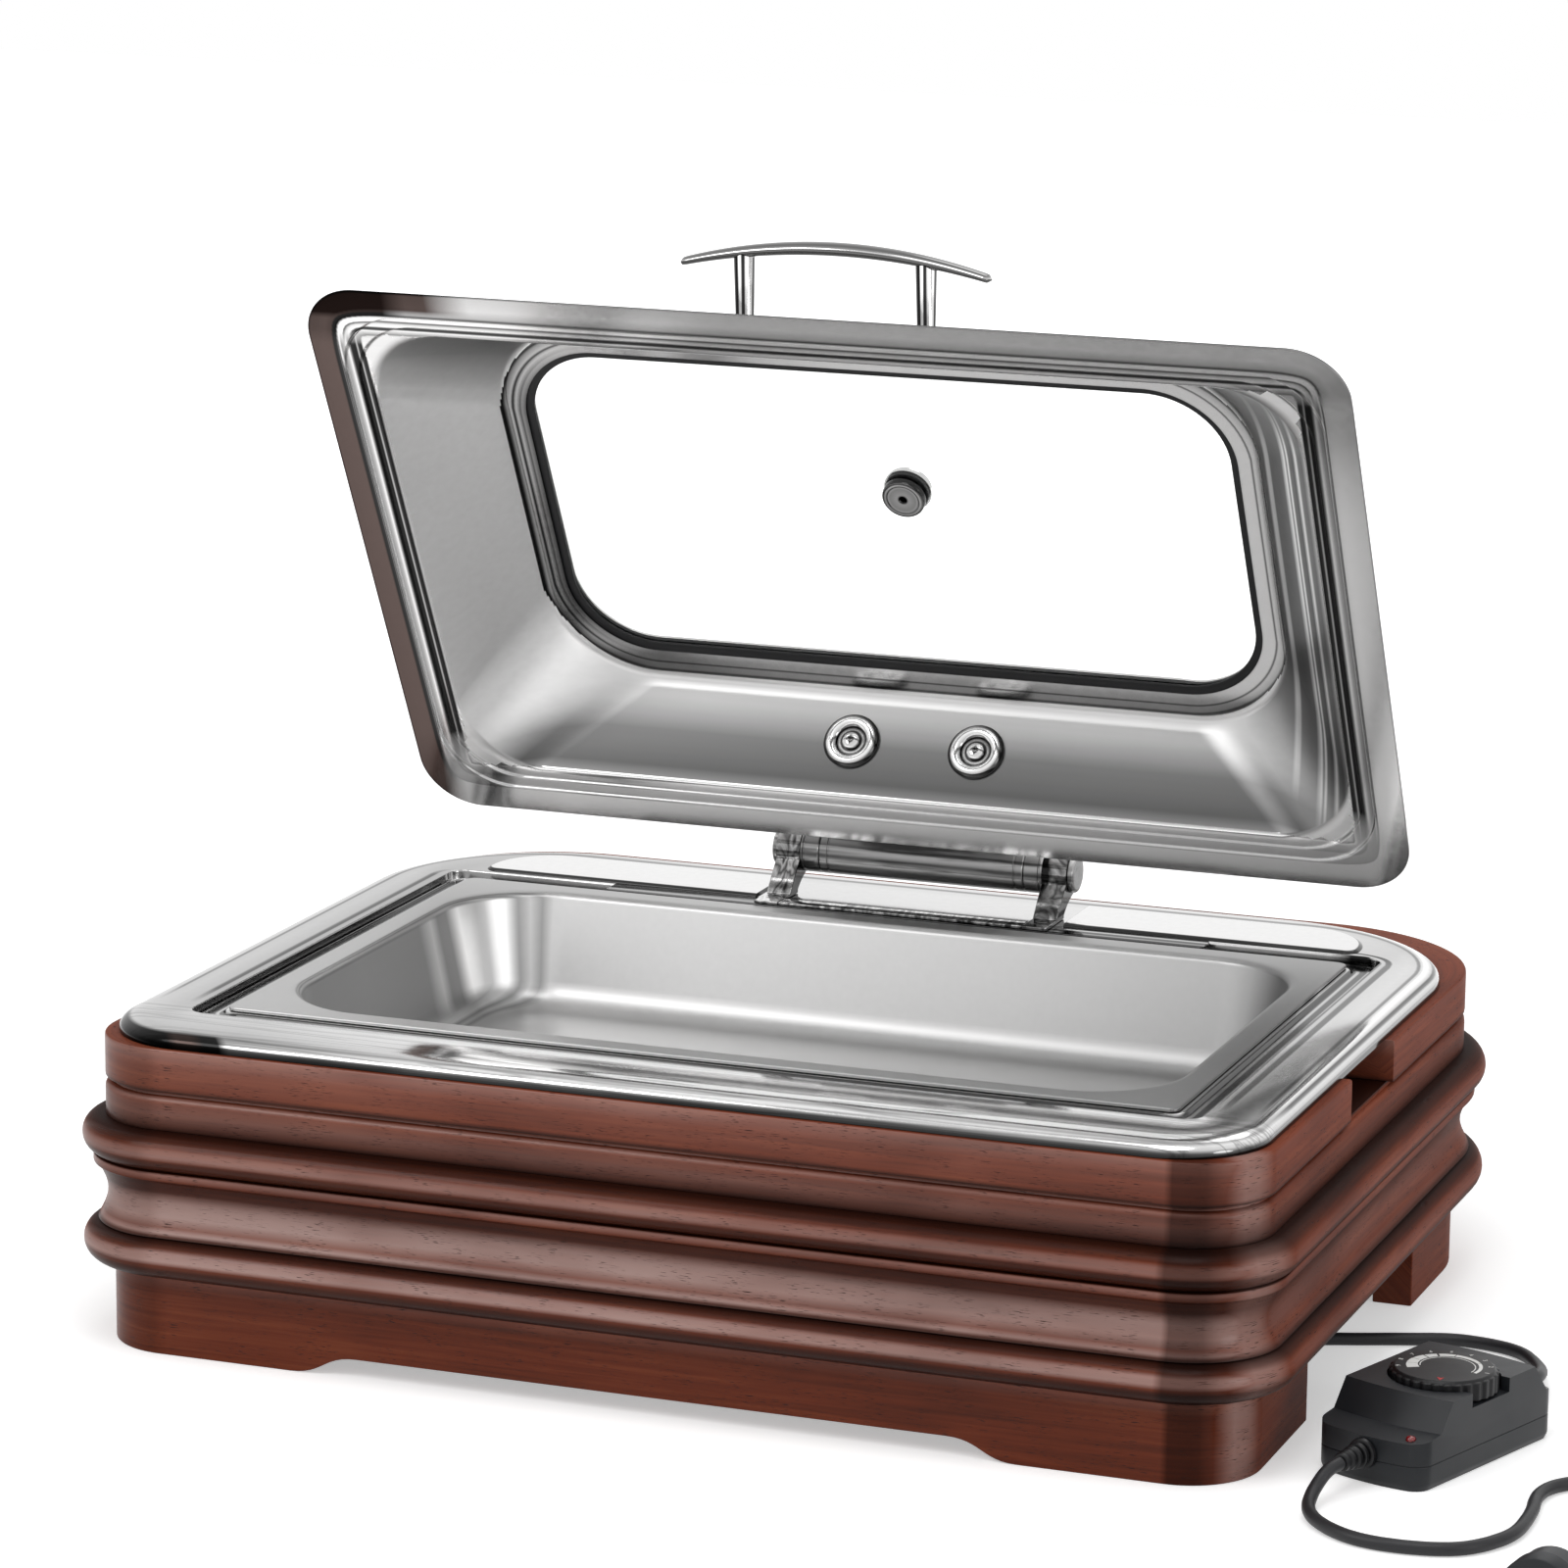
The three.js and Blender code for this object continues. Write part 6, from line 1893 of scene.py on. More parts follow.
@dataclass
class Pans:
    """The food pan and the water pan under it."""

    fitter: Fitter
    food_rim: Outline = FOOD_RIM
    food_top: float = 178.3
    food_bottom_edge: float = 176.4
    food_floor: float = 114.3
    food_sheet: float = 1.0
    rim_width: float = 14.0
    mouth_radius: float = 56.0
    food_taper: float = 14.0
    water_rim: tuple[float, float] = (172.6, 173.9)
    ledge_top: float = 175.9
    water_floor: float = 77.2
    water_sheet: float = 1.3
    water_taper: float = 16.0

    def build(self) -> None:
        """Makes both pans."""
        self._food_pan()
        self._water_pan()

    def _food_pan(self) -> None:
        """A drawn pan with a flat rim turned down at its edge."""
        rim, sheet, top = self.food_rim, self.food_sheet, self.food_top
        mouth = rim.grown(-self.rim_width).rounded(self.mouth_radius)
        neck = mouth.grown(-3.0)
        floor = neck.grown(-self.food_taper)
        low = self.food_floor
        stations = [
            Station(floor.grown(-60.0), low), Station(floor.grown(0.4), low, 15.0),
            Station(neck, top - 2.2, 1.5), Station(mouth, top, 3.4), Station(rim, top, 1.0),
            Station(rim, self.food_bottom_edge, 0.3),
            Station(rim.grown(-sheet), self.food_bottom_edge, 0.3),
            Station(rim.grown(-sheet), top - sheet, 0.6),
            Station(mouth.grown(0.2), top - sheet, 2.4), Station(neck.grown(sheet), top - 3.4, 1.0),
            Station(floor.grown(sheet + 0.4), low - sheet, 15.0),
            Station(floor.grown(-60.0), low - sheet)
        ]
        bench = Bench("food_pan_skin")
        bench.loft(filleted(stations, False, 8), False, steps=20)
        self.fitter.fit(bench.to_object(sharp=50.0), "pan", Body.STEEL, Slot.SATIN, "food_pan")

    def _water_pan(self) -> None:
        """A deeper pan with a ledge for the food pan and a flat rim."""
        sheet, top = self.water_sheet, self.ledge_top
        rim = self.food_rim.grown(12.0).rounded(12.0)
        ledge = self.food_rim.grown(3.0).rounded(12.0)
        mouth = self.food_rim.grown(-8.3).rounded(30.0)
        floor = mouth.grown(-self.water_taper)
        low, (rim_bottom, rim_top) = self.water_floor, self.water_rim
        stations = [
            Station(floor.grown(-50.0), low), Station(floor.grown(0.3), low, 14.0),
            Station(mouth, top - sheet, 0.5), Station(mouth.grown(sheet), top, 0.8),
            Station(ledge, top, 0.8), Station(ledge.grown(sheet), rim_top, 0.8),
            Station(rim, rim_top, 0.4), Station(rim, rim_bottom, 0.4),
            Station(ledge, rim_bottom, 0.6), Station(ledge.grown(-sheet), top - sheet, 0.6),
            Station(mouth.grown(sheet + 0.3), top - sheet, 0.6),
            Station(floor.grown(sheet + 0.3), low - sheet, 14.0),
            Station(floor.grown(-50.0), low - sheet)
        ]
        bench = Bench("water_pan_skin")
        bench.loft(filleted(stations, False, 6), False, steps=16)
        piece = bench.to_object(sharp=50.0)
        written(piece, "recess", self.food_rim.outside)
        self.fitter.fit(piece, "ledge", Body.STEEL, Slot.SATIN, "water_pan")


# Hinge


@dataclass
class Hinge:
    """The brackets, rings, caps and screws that stay with the frame."""

    fitter: Fitter
    axis_y: float = HINGE_Y
    axis_z: float = HINGE_Z
    barrel: float = 13.0
    barrel_half: float = 61.85
    ring_end: float = 73.2
    bracket: tuple[float, float] = (73.5, 88.0)
    pin: float = 4.7
    cap: tuple[float, float, float] = (11.0, 88.3, 91.5)
    foot: tuple[float, float, float] = (133.7, 154.5, 167.7)
    foot_levels: tuple[float, float] = (178.6, 180.5)
    strip_rear: float = 144.7
    screw_y: float = 148.7
    neck_angles: tuple[float, float] = (200.0, -60.0)

    def build(self) -> None:
        """Makes the fixed half of the hinge and keeps its pin."""
        self._strip()
        for side, sign in (("left", -1.0), ("right", 1.0)):
            self._bracket(side, sign)
            self._ring(side, sign)
            self._cap(side, sign)
            self._screw(side, sign)
        self.fitter.keep("dark", "hinge_pin")

    def _fit(self, piece: bpy.types.Object, node: str) -> None:
        """Polishes a piece of the hinge."""
        finish = "bracket" if "bracket" in node or "strip" in node else "hinge"
        self.fitter.fit(piece, finish, Body.STEEL, Slot.POLISHED, node)

    def _on_axis(self, sign: float) -> Matrix:
        """The place of a piece on the pin; the left ones are turned round."""
        turn = Matrix.Rotation(math.pi, 4, "Z") if sign < 0 else Matrix()
        return Matrix.Translation((0, self.axis_y, self.axis_z)) @ turn

    def _at_screw(self, sign: float, height: float) -> Matrix:
        """The place of a bracket's screw, at a height."""
        return Matrix.Translation((sign * sum(self.bracket) / 2, self.screw_y, height))

    def _strip(self) -> None:
        """The flat strip between the feet."""
        bench = Bench("hinge_strip_skin")
        low, high = self.foot_levels
        bench.block((-self.ring_end, self.foot[0], low), (self.ring_end, self.strip_rear, high))
        bench.bevel_sharp(0.45, 3)
        self._fit(bench.to_object(), "hinge_strip")

    def _bracket(self, side: str, sign: float) -> None:
        """A flat foot, a neck that leans back and a round knuckle, with a bore.

        Args:
            side: left or right.
            sign: the side as -1 or 1.
        """
        front, toe, rear = self.foot
        low, high = self.foot_levels
        start, end = self.neck_angles
        knuckle = arc((self.axis_y, self.axis_z), self.barrel, start, end, 30)
        profile = [(front, low), (front, high), (toe, high)]
        profile += self._bend((toe, high), (toe + 6.5, (high + knuckle[0][1]) / 2), knuckle[0])
        profile += knuckle[1:]
        profile += self._bend(knuckle[-1], (rear + 6.5, high + 6.5), (rear, high))
        profile.append((rear, low))
        x0, x1 = sorted((sign * self.bracket[0], sign * self.bracket[1]))
        bench = Bench(f"hinge_bracket_{side}_skin")
        bench.extruded(bench.polygon([(x0, y, z) for y, z in profile]), (x1 - x0, 0, 0))
        bore = rod(self.pin + SEAT, -200, 200, self._on_axis(1), 32, Axis.X)
        hole, head = 1.9, 3.7
        cone = [
            (0, low - 1), (hole, low - 1), (hole, low), (head, high), (head, high + 9),
            (0, high + 9)
        ]
        sink = turning("sink_cutter", cone, self._at_screw(sign, 0.0), 24)
        piece = carved(bench.to_object(), bore, sink)
        self._fit(softened(sharpened(piece), 0.5, 3), f"hinge_bracket_{side}")

    @staticmethod
    def _bend(
        start: tuple[float, float], pull: tuple[float, float], end: tuple[float, float]
    ) -> list[tuple[float, float]]:
        """Points of a bend, without its first one.

        Args:
            start: where it starts.
            pull: the corner that it rounds.
            end: where it ends.

        Returns:
            The points.
        """
        made = []
        for step in range(1, 9):
            share = step / 8
            parts = ((1 - share) ** 2, 2 * (1 - share) * share, share**2)
            sums = (sum(p * q[i] for p, q in zip(parts, (start, pull, end))) for i in (0, 1))
            made.append(tuple(sums))
        return made

    def _ring(self, side: str, sign: float) -> None:
        """A spacer ring with a groove at each end.

        Args:
            side: left or right.
            sign: the side as -1 or 1.
        """
        inner, outer = self.pin + SEAT, self.barrel
        start, end = self.barrel_half + SEAT, self.ring_end
        profile = [
            (inner, start), (outer - 0.6, start), (outer, start + 0.6), (outer, end - 2.6),
            (outer - 0.7, end - 2.2), (outer - 0.7, end - 1.5), (outer, end - 1.1),
            (outer - 0.3, end), (inner, end)
        ]
        piece = turning(f"hinge_ring_{side}_skin", profile, self._on_axis(sign), 48, Axis.X)
        self._fit(piece, f"hinge_ring_{side}")

    def _cap(self, side: str, sign: float) -> None:
        """A shallow domed cap over the end of the pin.

        Args:
            side: left or right.
            sign: the side as -1 or 1.
        """
        radius, start, end = self.cap
        dome = arc((radius - 2.0, end - 2.0), 2.0, 0, 90, 6)
        profile = [(0.0, start), (radius, start), *dome, (radius * 0.5, end - 0.05), (0.0, end)]
        piece = turning(f"hinge_cap_{side}_skin", profile, self._on_axis(sign), 40, Axis.X)
        self._fit(piece, f"hinge_cap_{side}")

    def _screw(self, side: str, sign: float) -> None:
        """A countersunk screw with a cross recess.

        Args:
            side: left or right.
            sign: the side as -1 or 1.
        """
        place = self._at_screw(sign, self.foot_levels[1])
        profile = [(0, -8), (1.6, -8), (1.6, -1.9), (3.4, -0.15), (3.2, 0), (0, 0)]
        piece = turning(f"hinge_screw_{side}_skin", profile, place, 28)
        piece = sharpened(carved(piece, *crossed(2.1, 0.4, -1.0, 1.0, place)))
        self.fitter.fit(piece, "dark", Body.STEEL, Slot.DARK, f"hinge_screw_{side}")


# Lid


@dataclass
class Lid:
    """The domed lid in its open pose, with its window, vent, leaf, barrel and handle."""

    fitter: Fitter
    axis_y: float = HINGE_Y
    axis_z: float = HINGE_Z
    open_angle: float = 61.03
    axis_in_lid: tuple[float, float] = (215.1, 20.9)
    rim: Outline = Outline(296.75, -185.9, 185.9, 33.0, 33.0)
    wall_top: Outline = Outline(223.5, -129.0, 129.0, 62.0, 62.0)
    window: Outline = Outline(203.5, -102.5, 102.5, 45.0, 45.0)
    sheet: float = 1.2
    flange: tuple[float, float] = (16.7, 24.6)
    flange_radius: float = 40.0
    step_rise: float = 1.3
    wall_foot: tuple[float, float, float] = (31.0, 46.0, 4.2)
    height: float = 60.0
    shoulder: float = 4.0
    gasket_lip: float = 4.5
    lip: float = 1.5
    glass: float = 4.0
    bite: float = 10.0
    web: float = 2.7
    upper_lip_inset: float = 2.0
    dome: float = 23.0
    trim: tuple[float, float] = (6.0, 1.5)
    vent_hole: float = 5.5
    holes: tuple[tuple[float, float, float], ...] = (
        (-37.5, 33.0, 1.0), (37.5, 33.0, 1.0), (-52.0, 30.5, -1.0), (52.0, 30.5, -1.0)
    )
    hole: float = 2.7
    ring_reach: float = 19.0

    def __post_init__(self) -> None:
        """Works out the places that several pieces share."""
        self.place = (
            Matrix.Translation((0, self.axis_y, self.axis_z)) @ Matrix.Rotation(
                -math.radians(self.open_angle), 4, "X"
            ) @ Matrix.Translation((0, -self.axis_in_lid[0], -self.axis_in_lid[1]))
        )
        inset, radius, foot = self.wall_foot
        self.foot_outline = self.rim.grown(-inset).rounded(radius)
        self.wall_top_height = self.height - self.shoulder
        run = self.foot_outline.rear - self.wall_top.rear
        rise = self.wall_top_height - foot
        self.normal = (rise / math.hypot(run, rise), run / math.hypot(run, rise))
        self.slope = run / rise
        self.gasket_bottom = self.height + self.sheet + SEAT
        self.glass_bottom = self.gasket_bottom + self.lip + SEAT
        self.glass_top = self.glass_bottom + self.glass
        self.gasket_top = self.glass_top + SEAT + self.lip

    def build(self) -> None:
        """Makes the sheet, the window, the vent, the leaf and the handle."""
        self._shell()
        self._gasket()
        self._glass()
        self._trim()
        Vent(self).build()
        Leaf(self).build()
        Handle(self).build()

    def fit(self, piece: bpy.types.Object, finish: str, slot: Slot, *nodes: str) -> None:
        """Finishes a piece that moves with the lid."""
        self.fitter.fit(piece, finish, Body.LID, slot, *nodes)

    def wall_y(self, height: float) -> float:
        """The Y of the rear wall's inner skin at a height of the lid's own frame."""
        return self.foot_outline.rear - self.slope * (height - self.wall_foot[2])

    def standing(self, x: float, height: float, side: float) -> Matrix:
        """A place on the outer skin of a wall, its Z axis square to the wall.

        Args:
            x: the place along the wall.
            height: the height in the lid's own frame.
            side: 1 for the rear wall and -1 for the front wall.

        Returns:
            The place in the dish's frame.
        """
        out, up = self.normal
        y = side * (self.wall_y(height) + self.sheet * out)
        turn = Matrix.Rotation(math.atan2(-side * out, up), 4, "X")
        return self.place @ Matrix.Translation((x, y, height + self.sheet * up)) @ turn

    def _inset(self, by: float, radius: float) -> Outline:
        """The rim moved inwards, with one radius at all corners."""
        return self.rim.grown(-by).rounded(radius)

    def _shell(self) -> None:
        """The drawn sheet: a flat rim, two steps, four walls and the ring round the window."""
        sheet, rise, corner = self.sheet, self.step_rise, self.flange_radius
        first, second = self.flange
        inset, radius, _ = self.wall_foot
        out, up = self.normal
        inner = [
            Station(self.rim, 0.0, 0.3), Station(self._inset(first, corner), 0.0, 0.6),
            Station(self._inset(first + 1.0, corner), rise, 0.5),
            Station(self._inset(second - 1.0, corner), rise, 0.5),
            Station(self._inset(second, corner), 2 * rise, 0.5),
            Station(self._inset(inset - 0.6, radius), 2 * rise, 2.6),
            Station(self.wall_top, self.wall_top_height, 5.0),
            Station(self.wall_top.grown(-self.shoulder), self.height, 3.6),
            Station(self.window.grown(self.gasket_lip), self.height)
        ]
        outer = [
            Station(self.window.grown(self.gasket_lip), self.height + sheet),
            Station(self.wall_top.grown(-self.shoulder + sheet / 2), self.height + sheet, 4.0),
            Station(self.wall_top.grown(sheet * out), self.wall_top_height + sheet * up, 5.4),
            Station(self._inset(inset - 0.6 - sheet / 2, radius), 2 * rise + sheet, 2.2),
            Station(self._inset(second - sheet / 2, corner), 2 * rise + sheet, 0.5),
            Station(self._inset(second - 1.0 - sheet / 2, corner), rise + sheet, 0.5),
            Station(self._inset(first + 1.0 - sheet / 2, corner), rise + sheet, 0.5),
            Station(self._inset(first - sheet / 2, corner), sheet, 0.6),
            Station(self.rim, sheet, 0.3)
        ]
        bench = Bench("lid_sheet")
        bench.loft(filleted(inner + outer, True, 6), True, steps=22)
        cutters = [rod(self.hole, -4, 3, self.standing(*hole), 24) for hole in self.holes]
        piece = flats_kept(carved(bench.moved(self.place).to_object(sharp=50.0), *cutters))
        self.fit(piece, "lid", Slot.POLISHED, "lid_shell")
        written(piece, "rim", self.rim.inside, self.place)
        written(piece, "ring", self.window.outside, self.place)
        painted(piece, self.fitter.shelf.take("flange"), self._polished)

    def _polished(self, middle: Vector) -> bool:
        """Whether a face belongs to the rim or to the ring round the window.

        Args:
            middle: the middle of the face.

        Returns:
            Whether it is polished.
        """
        here = self.place.inverted() @ middle
        near_edge = self.rim.inside(here) < self.wall_foot[0] + 0.5
        return near_edge or self.window.outside(here) < self.ring_reach

    def _ring(
        self, name: str, corners: Sequence[tuple[float, float, float]], steps: int = 5
    ) -> bpy.types.Object:
        """A ring round the window.

        Args:
            name: its name.
            corners: its corners of (reach, height, fillet).
            steps: how many steps a fillet takes.

        Returns:
            The ring.
        """
        stations = [Station(self.window.grown(reach), z, fillet) for reach, z, fillet in corners]
        bench = Bench(name)
        bench.loft(filleted(stations, True, steps), True, steps=18)
        return bench.moved(self.place).to_object(sharp=50.0)

    def _gasket(self) -> None:
        """The rubber profile that holds the glass in the ring."""
        inner, outer = self.bite + SEAT, self.bite + SEAT + self.web
        low, high = self.gasket_bottom, self.gasket_top
        corners = [
            (0.0, low, 0.6), (outer, low, 0.2), (outer, high, 0.2),
            (self.upper_lip_inset, high, 0.5), (self.upper_lip_inset, self.glass_top + SEAT, 0.3),
            (inner, self.glass_top + SEAT, 0.0), (inner, self.glass_bottom - SEAT, 0.0),
            (0.0, self.glass_bottom - SEAT, 0.4)
        ]
        piece = self._ring("window_gasket_skin", corners)
        self.fit(piece, "rubber", Slot.SEAL, "window_gasket")

    def _skin(self, bottom: float) -> list[Station]:
        """One skin of the pane, from the vent's hole to the window's edge.

        Args:
            bottom: its height at the window's edge.

        Returns:
            Its stations.
        """
        hole = centred(self.vent_hole, self.vent_hole, self.vent_hole)
        made = []
        for step in range(25):
            share = step / 24
            outline = hole.toward(self.window, share)
            made.append(Station(outline, bottom + self.dome * (1 - share * share)))
        return made

    def _glass(self) -> None:
        """The domed pane, with a hole for the vent."""
        edge = self.window.grown(self.bite)
        rim = [Station(edge, self.glass_bottom, 0.8), Station(edge, self.glass_top, 0.8)]
        stations = self._skin(self.glass_bottom) + rim + self._skin(self.glass_top)[::-1]
        bench = Bench("window_pane")
        bench.loft(filleted(stations, True, 3), True, steps=16)
        piece = bench.moved(self.place).to_object(sharp=50.0)
        self.fit(piece, "glass", Slot.GLASS, "window_glass")

    def _trim(self) -> None:
        """The pressed frame over the gasket, on the outside."""
        reach, thick = self.trim
        outer = self.bite + SEAT + self.web + SEAT
        low, high = self.gasket_bottom, self.gasket_top
        corners = [
            (self.upper_lip_inset, high + SEAT, 0.2), (outer, high + SEAT, 0.2), (outer, low, 0.3),
            (outer - SEAT + reach, low, 0.2), (outer - SEAT + reach, low + thick, 0.5),
            (outer + thick, high + SEAT + thick, 1.6),
            (self.upper_lip_inset, high + SEAT + thick, 0.5)
        ]
        piece = self._ring("window_trim_skin", corners)
        self.fit(piece, "trim", Slot.POLISHED, "window_trim")


@dataclass
class Vent:
    """The steam vent in the middle of the glass."""

    lid: Lid
    disc: tuple[float, float] = (12.5, 4.0)
    stem: float = 5.0
    bore: float = 2.0
    seal: tuple[float, float] = (13.0, 2.0)
    cap: tuple[float, float, float] = (14.0, 10.0, 6.0)

    def build(self) -> None:
        """Makes the disc with its stem, the seal and the cap."""
        lid = self.lid
        inside = lid.glass_bottom + lid.dome - 0.6
        seal_low = lid.glass_top + lid.dome + SEAT
        cap_low = seal_low + self.seal[1] + SEAT
        cap_high = cap_low + self.cap[2]
        radius, thick = self.disc
        face = inside - thick
        body = [
            (self.bore, face + 0.9), (self.bore + 0.5, face + 0.25), (radius - 3.4, face + 0.25),
            (radius - 3.0, face), (radius - 1.2, face), (radius - 0.4, face + 0.35),
            (radius, face + 1.1), (radius, inside), (self.stem, inside),
            (self.stem, cap_high - 2.0), (self.bore, cap_high - 2.0)
        ]
        self._turned("vent_body", body, "disc", Slot.POLISHED)
        outer, hole = self.seal[0], lid.vent_hole
        seal = [
            (hole, seal_low), (outer - 0.3, seal_low), (outer, seal_low + 0.3),
            (outer, cap_low - SEAT - 0.3), (outer - 0.3, cap_low - SEAT), (hole, cap_low - SEAT)
        ]
        self._turned("vent_seal", seal, "rubber", Slot.SEAL)
        wide, narrow, high = self.cap
        cap = [
            (self.stem + SEAT, cap_low), (wide, cap_low), (wide, cap_low + high / 3),
            *arc((narrow, cap_low + high / 3), wide - narrow, 12, 84, 7),
            (self.stem + SEAT, cap_high)
        ]
        self._turned("vent_cap", cap, "bright", Slot.POLISHED)

    def _turned(self, node: str, profile: Section, finish: str, slot: Slot) -> None:
        """Turns one piece of the vent and fits it.

        Args:
            node: the name of the model's solid.
            profile: its corners of (radius, along).
            finish: the finish's name on the shelf.
            slot: the record's slot.
        """
        piece = turning(f"{node}_skin", profile, self.lid.place, 48)
        written(piece, "round", from_axis, self.lid.place)
        self.lid.fit(piece, finish, slot, node)


@dataclass
class Leaf:
    """The moving half of the hinge: a leaf on the rear wall, its barrel, washers and screws."""

    lid: Lid
    half_width: float = 55.0
    thickness: float = 2.5
    plate: tuple[float, float] = (0.14, 0.84)
    arm: tuple[float, float] = (0.62, 0.40)
    arm_at_barrel: tuple[float, float] = (9.0, -4.0)
    barrel: tuple[float, float, float] = (13.0, 5.0, 61.85)
    screws: tuple[float, float] = (37.5, 33.0)
    shank: float = 2.4
    washer: tuple[float, float, float, float] = (16.5, 8.0, 4.2, 1.2)
    head: tuple[float, float] = (5.4, 2.6)

    def build(self) -> None:
        """Makes the barrel, the leaf and what fastens it."""
        self._barrel()
        self._leaf()
        for side, sign in (("left", -1.0), ("right", 1.0)):
            stand = self._stand(sign)
            self._washer(side, stand)
            self._screw(side, stand)

    def _axis(self) -> Matrix:
        """The place of the hinge axis."""
        y, z = self.lid.axis_in_lid
        return self.lid.place @ Matrix.Translation((0, y, z))

    def _barrel(self) -> None:
        """The long barrel with a shallow groove at each end."""
        outer, inner, half = self.barrel
        end = [
            (inner, half), (outer - 0.6, half), (outer, half - 0.6), (outer, half - 4.6),
            (outer - 0.5, half - 5.0), (outer - 0.5, half - 5.6), (outer, half - 6.0)
        ]
        profile = [(radius, -along) for radius, along in end] + end[::-1]
        piece = turning("hinge_barrel_skin", profile, self._axis(), 64, Axis.X)
        self.lid.fit(piece, "hinge", Slot.POLISHED, "hinge_barrel")

    def _on_wall(self, share: float, off: float) -> tuple[float, float]:
        """A point off the outer skin of the rear wall.

        Args:
            share: how far up the wall it lies, from 0 to 1.
            off: how far off the leaf's own inner face.

        Returns:
            Its place in Y and Z of the lid's own frame.
        """
        lid = self.lid
        foot = lid.wall_foot[2]
        height = foot + (lid.wall_top_height - foot) * share
        out = lid.sheet + SEAT + off
        return (lid.wall_y(height) + out * lid.normal[0], height + out * lid.normal[1])

    def _stand(self, sign: float) -> Matrix:
        """The place of a screw on the rear wall."""
        return self.lid.standing(sign * self.screws[0], self.screws[1], 1.0)

    def _leaf(self) -> None:
        """A plate along the wall with an arm to the barrel."""
        y, z = self.lid.axis_in_lid
        start, end = self.plate
        upper, lower = self.arm
        thick, above, below = self.thickness, *self.arm_at_barrel
        profile = [
            self._on_wall(start, 0), self._on_wall(end, 0), self._on_wall(end, thick),
            self._on_wall(upper, thick), (y, z + above), (y, z + below),
            self._on_wall(lower, thick), self._on_wall(start, thick)
        ]
        bench = Bench("hinge_leaf_skin")
        face = bench.polygon([(-self.half_width, *point) for point in profile])
        bench.extruded(face, (2 * self.half_width, 0, 0))
        cutters = [rod(self.barrel[0] + SEAT, -90, 90, self._axis(), 64, Axis.X)]
        cutters += [rod(self.shank + SEAT, -6, 9, self._stand(sign), 24) for sign in (-1.0, 1.0)]
        piece = sharpened(carved(bench.moved(self.lid.place).to_object(), *cutters))
        self.lid.fit(softened(piece, 0.4), "hinge", Slot.POLISHED, "hinge_leaf")

    def _washer(self, side: str, stand: Matrix) -> None:
        """A domed cup washer inside the wall.

        Args:
            side: left or right.
            stand: the place of its screw.
        """
        outer, well, rise, rim = self.washer
        inside = -self.lid.sheet - SEAT
        top = inside - rim
        dome = []
        for step in range(13):
            share = step / 12
            across = outer - 0.3 + (well + 0.2 - outer + 0.3) * share
            bow = math.sin(share * math.pi) ** 0.62
            dome.append((across, top - (rise - rim) * bow))
        profile = [
            (self.shank + SEAT, inside), (outer, inside), (outer, top), *dome, (well, top),
            (self.shank + SEAT, top)
        ]
        piece = turning(f"leaf_washer_{side}_skin", profile, stand, 56)
        written(piece, "round", from_axis, stand)
        self.lid.fit(piece, "button", Slot.POLISHED, f"leaf_washer_{side}")

    def _screw(self, side: str, stand: Matrix) -> None:
        """A pan-head screw in the washer's well.

        Args:
            side: left or right.
            stand: its place.
        """
        radius, thick = self.head
        bottom = -self.lid.sheet - SEAT - self.washer[3] - SEAT
        top = bottom - thick
        profile = [
            (0, top), (radius * 0.45, top + 0.12), (radius * 0.8, top + 0.75), (radius, top + 1.7),
            (radius, bottom), (self.shank, bottom), (self.shank, self.thickness + SEAT),
            (0, self.thickness + SEAT)
        ]
        piece = turning(f"leaf_screw_{side}_skin", profile, stand, 40)
        piece = sharpened(carved(piece, *crossed(2.6, 0.5, top - 2, top + 1.2, stand)))
        written(piece, "round", from_axis, stand)
        self.lid.fit(piece, "button", Slot.POLISHED, f"leaf_screw_{side}")


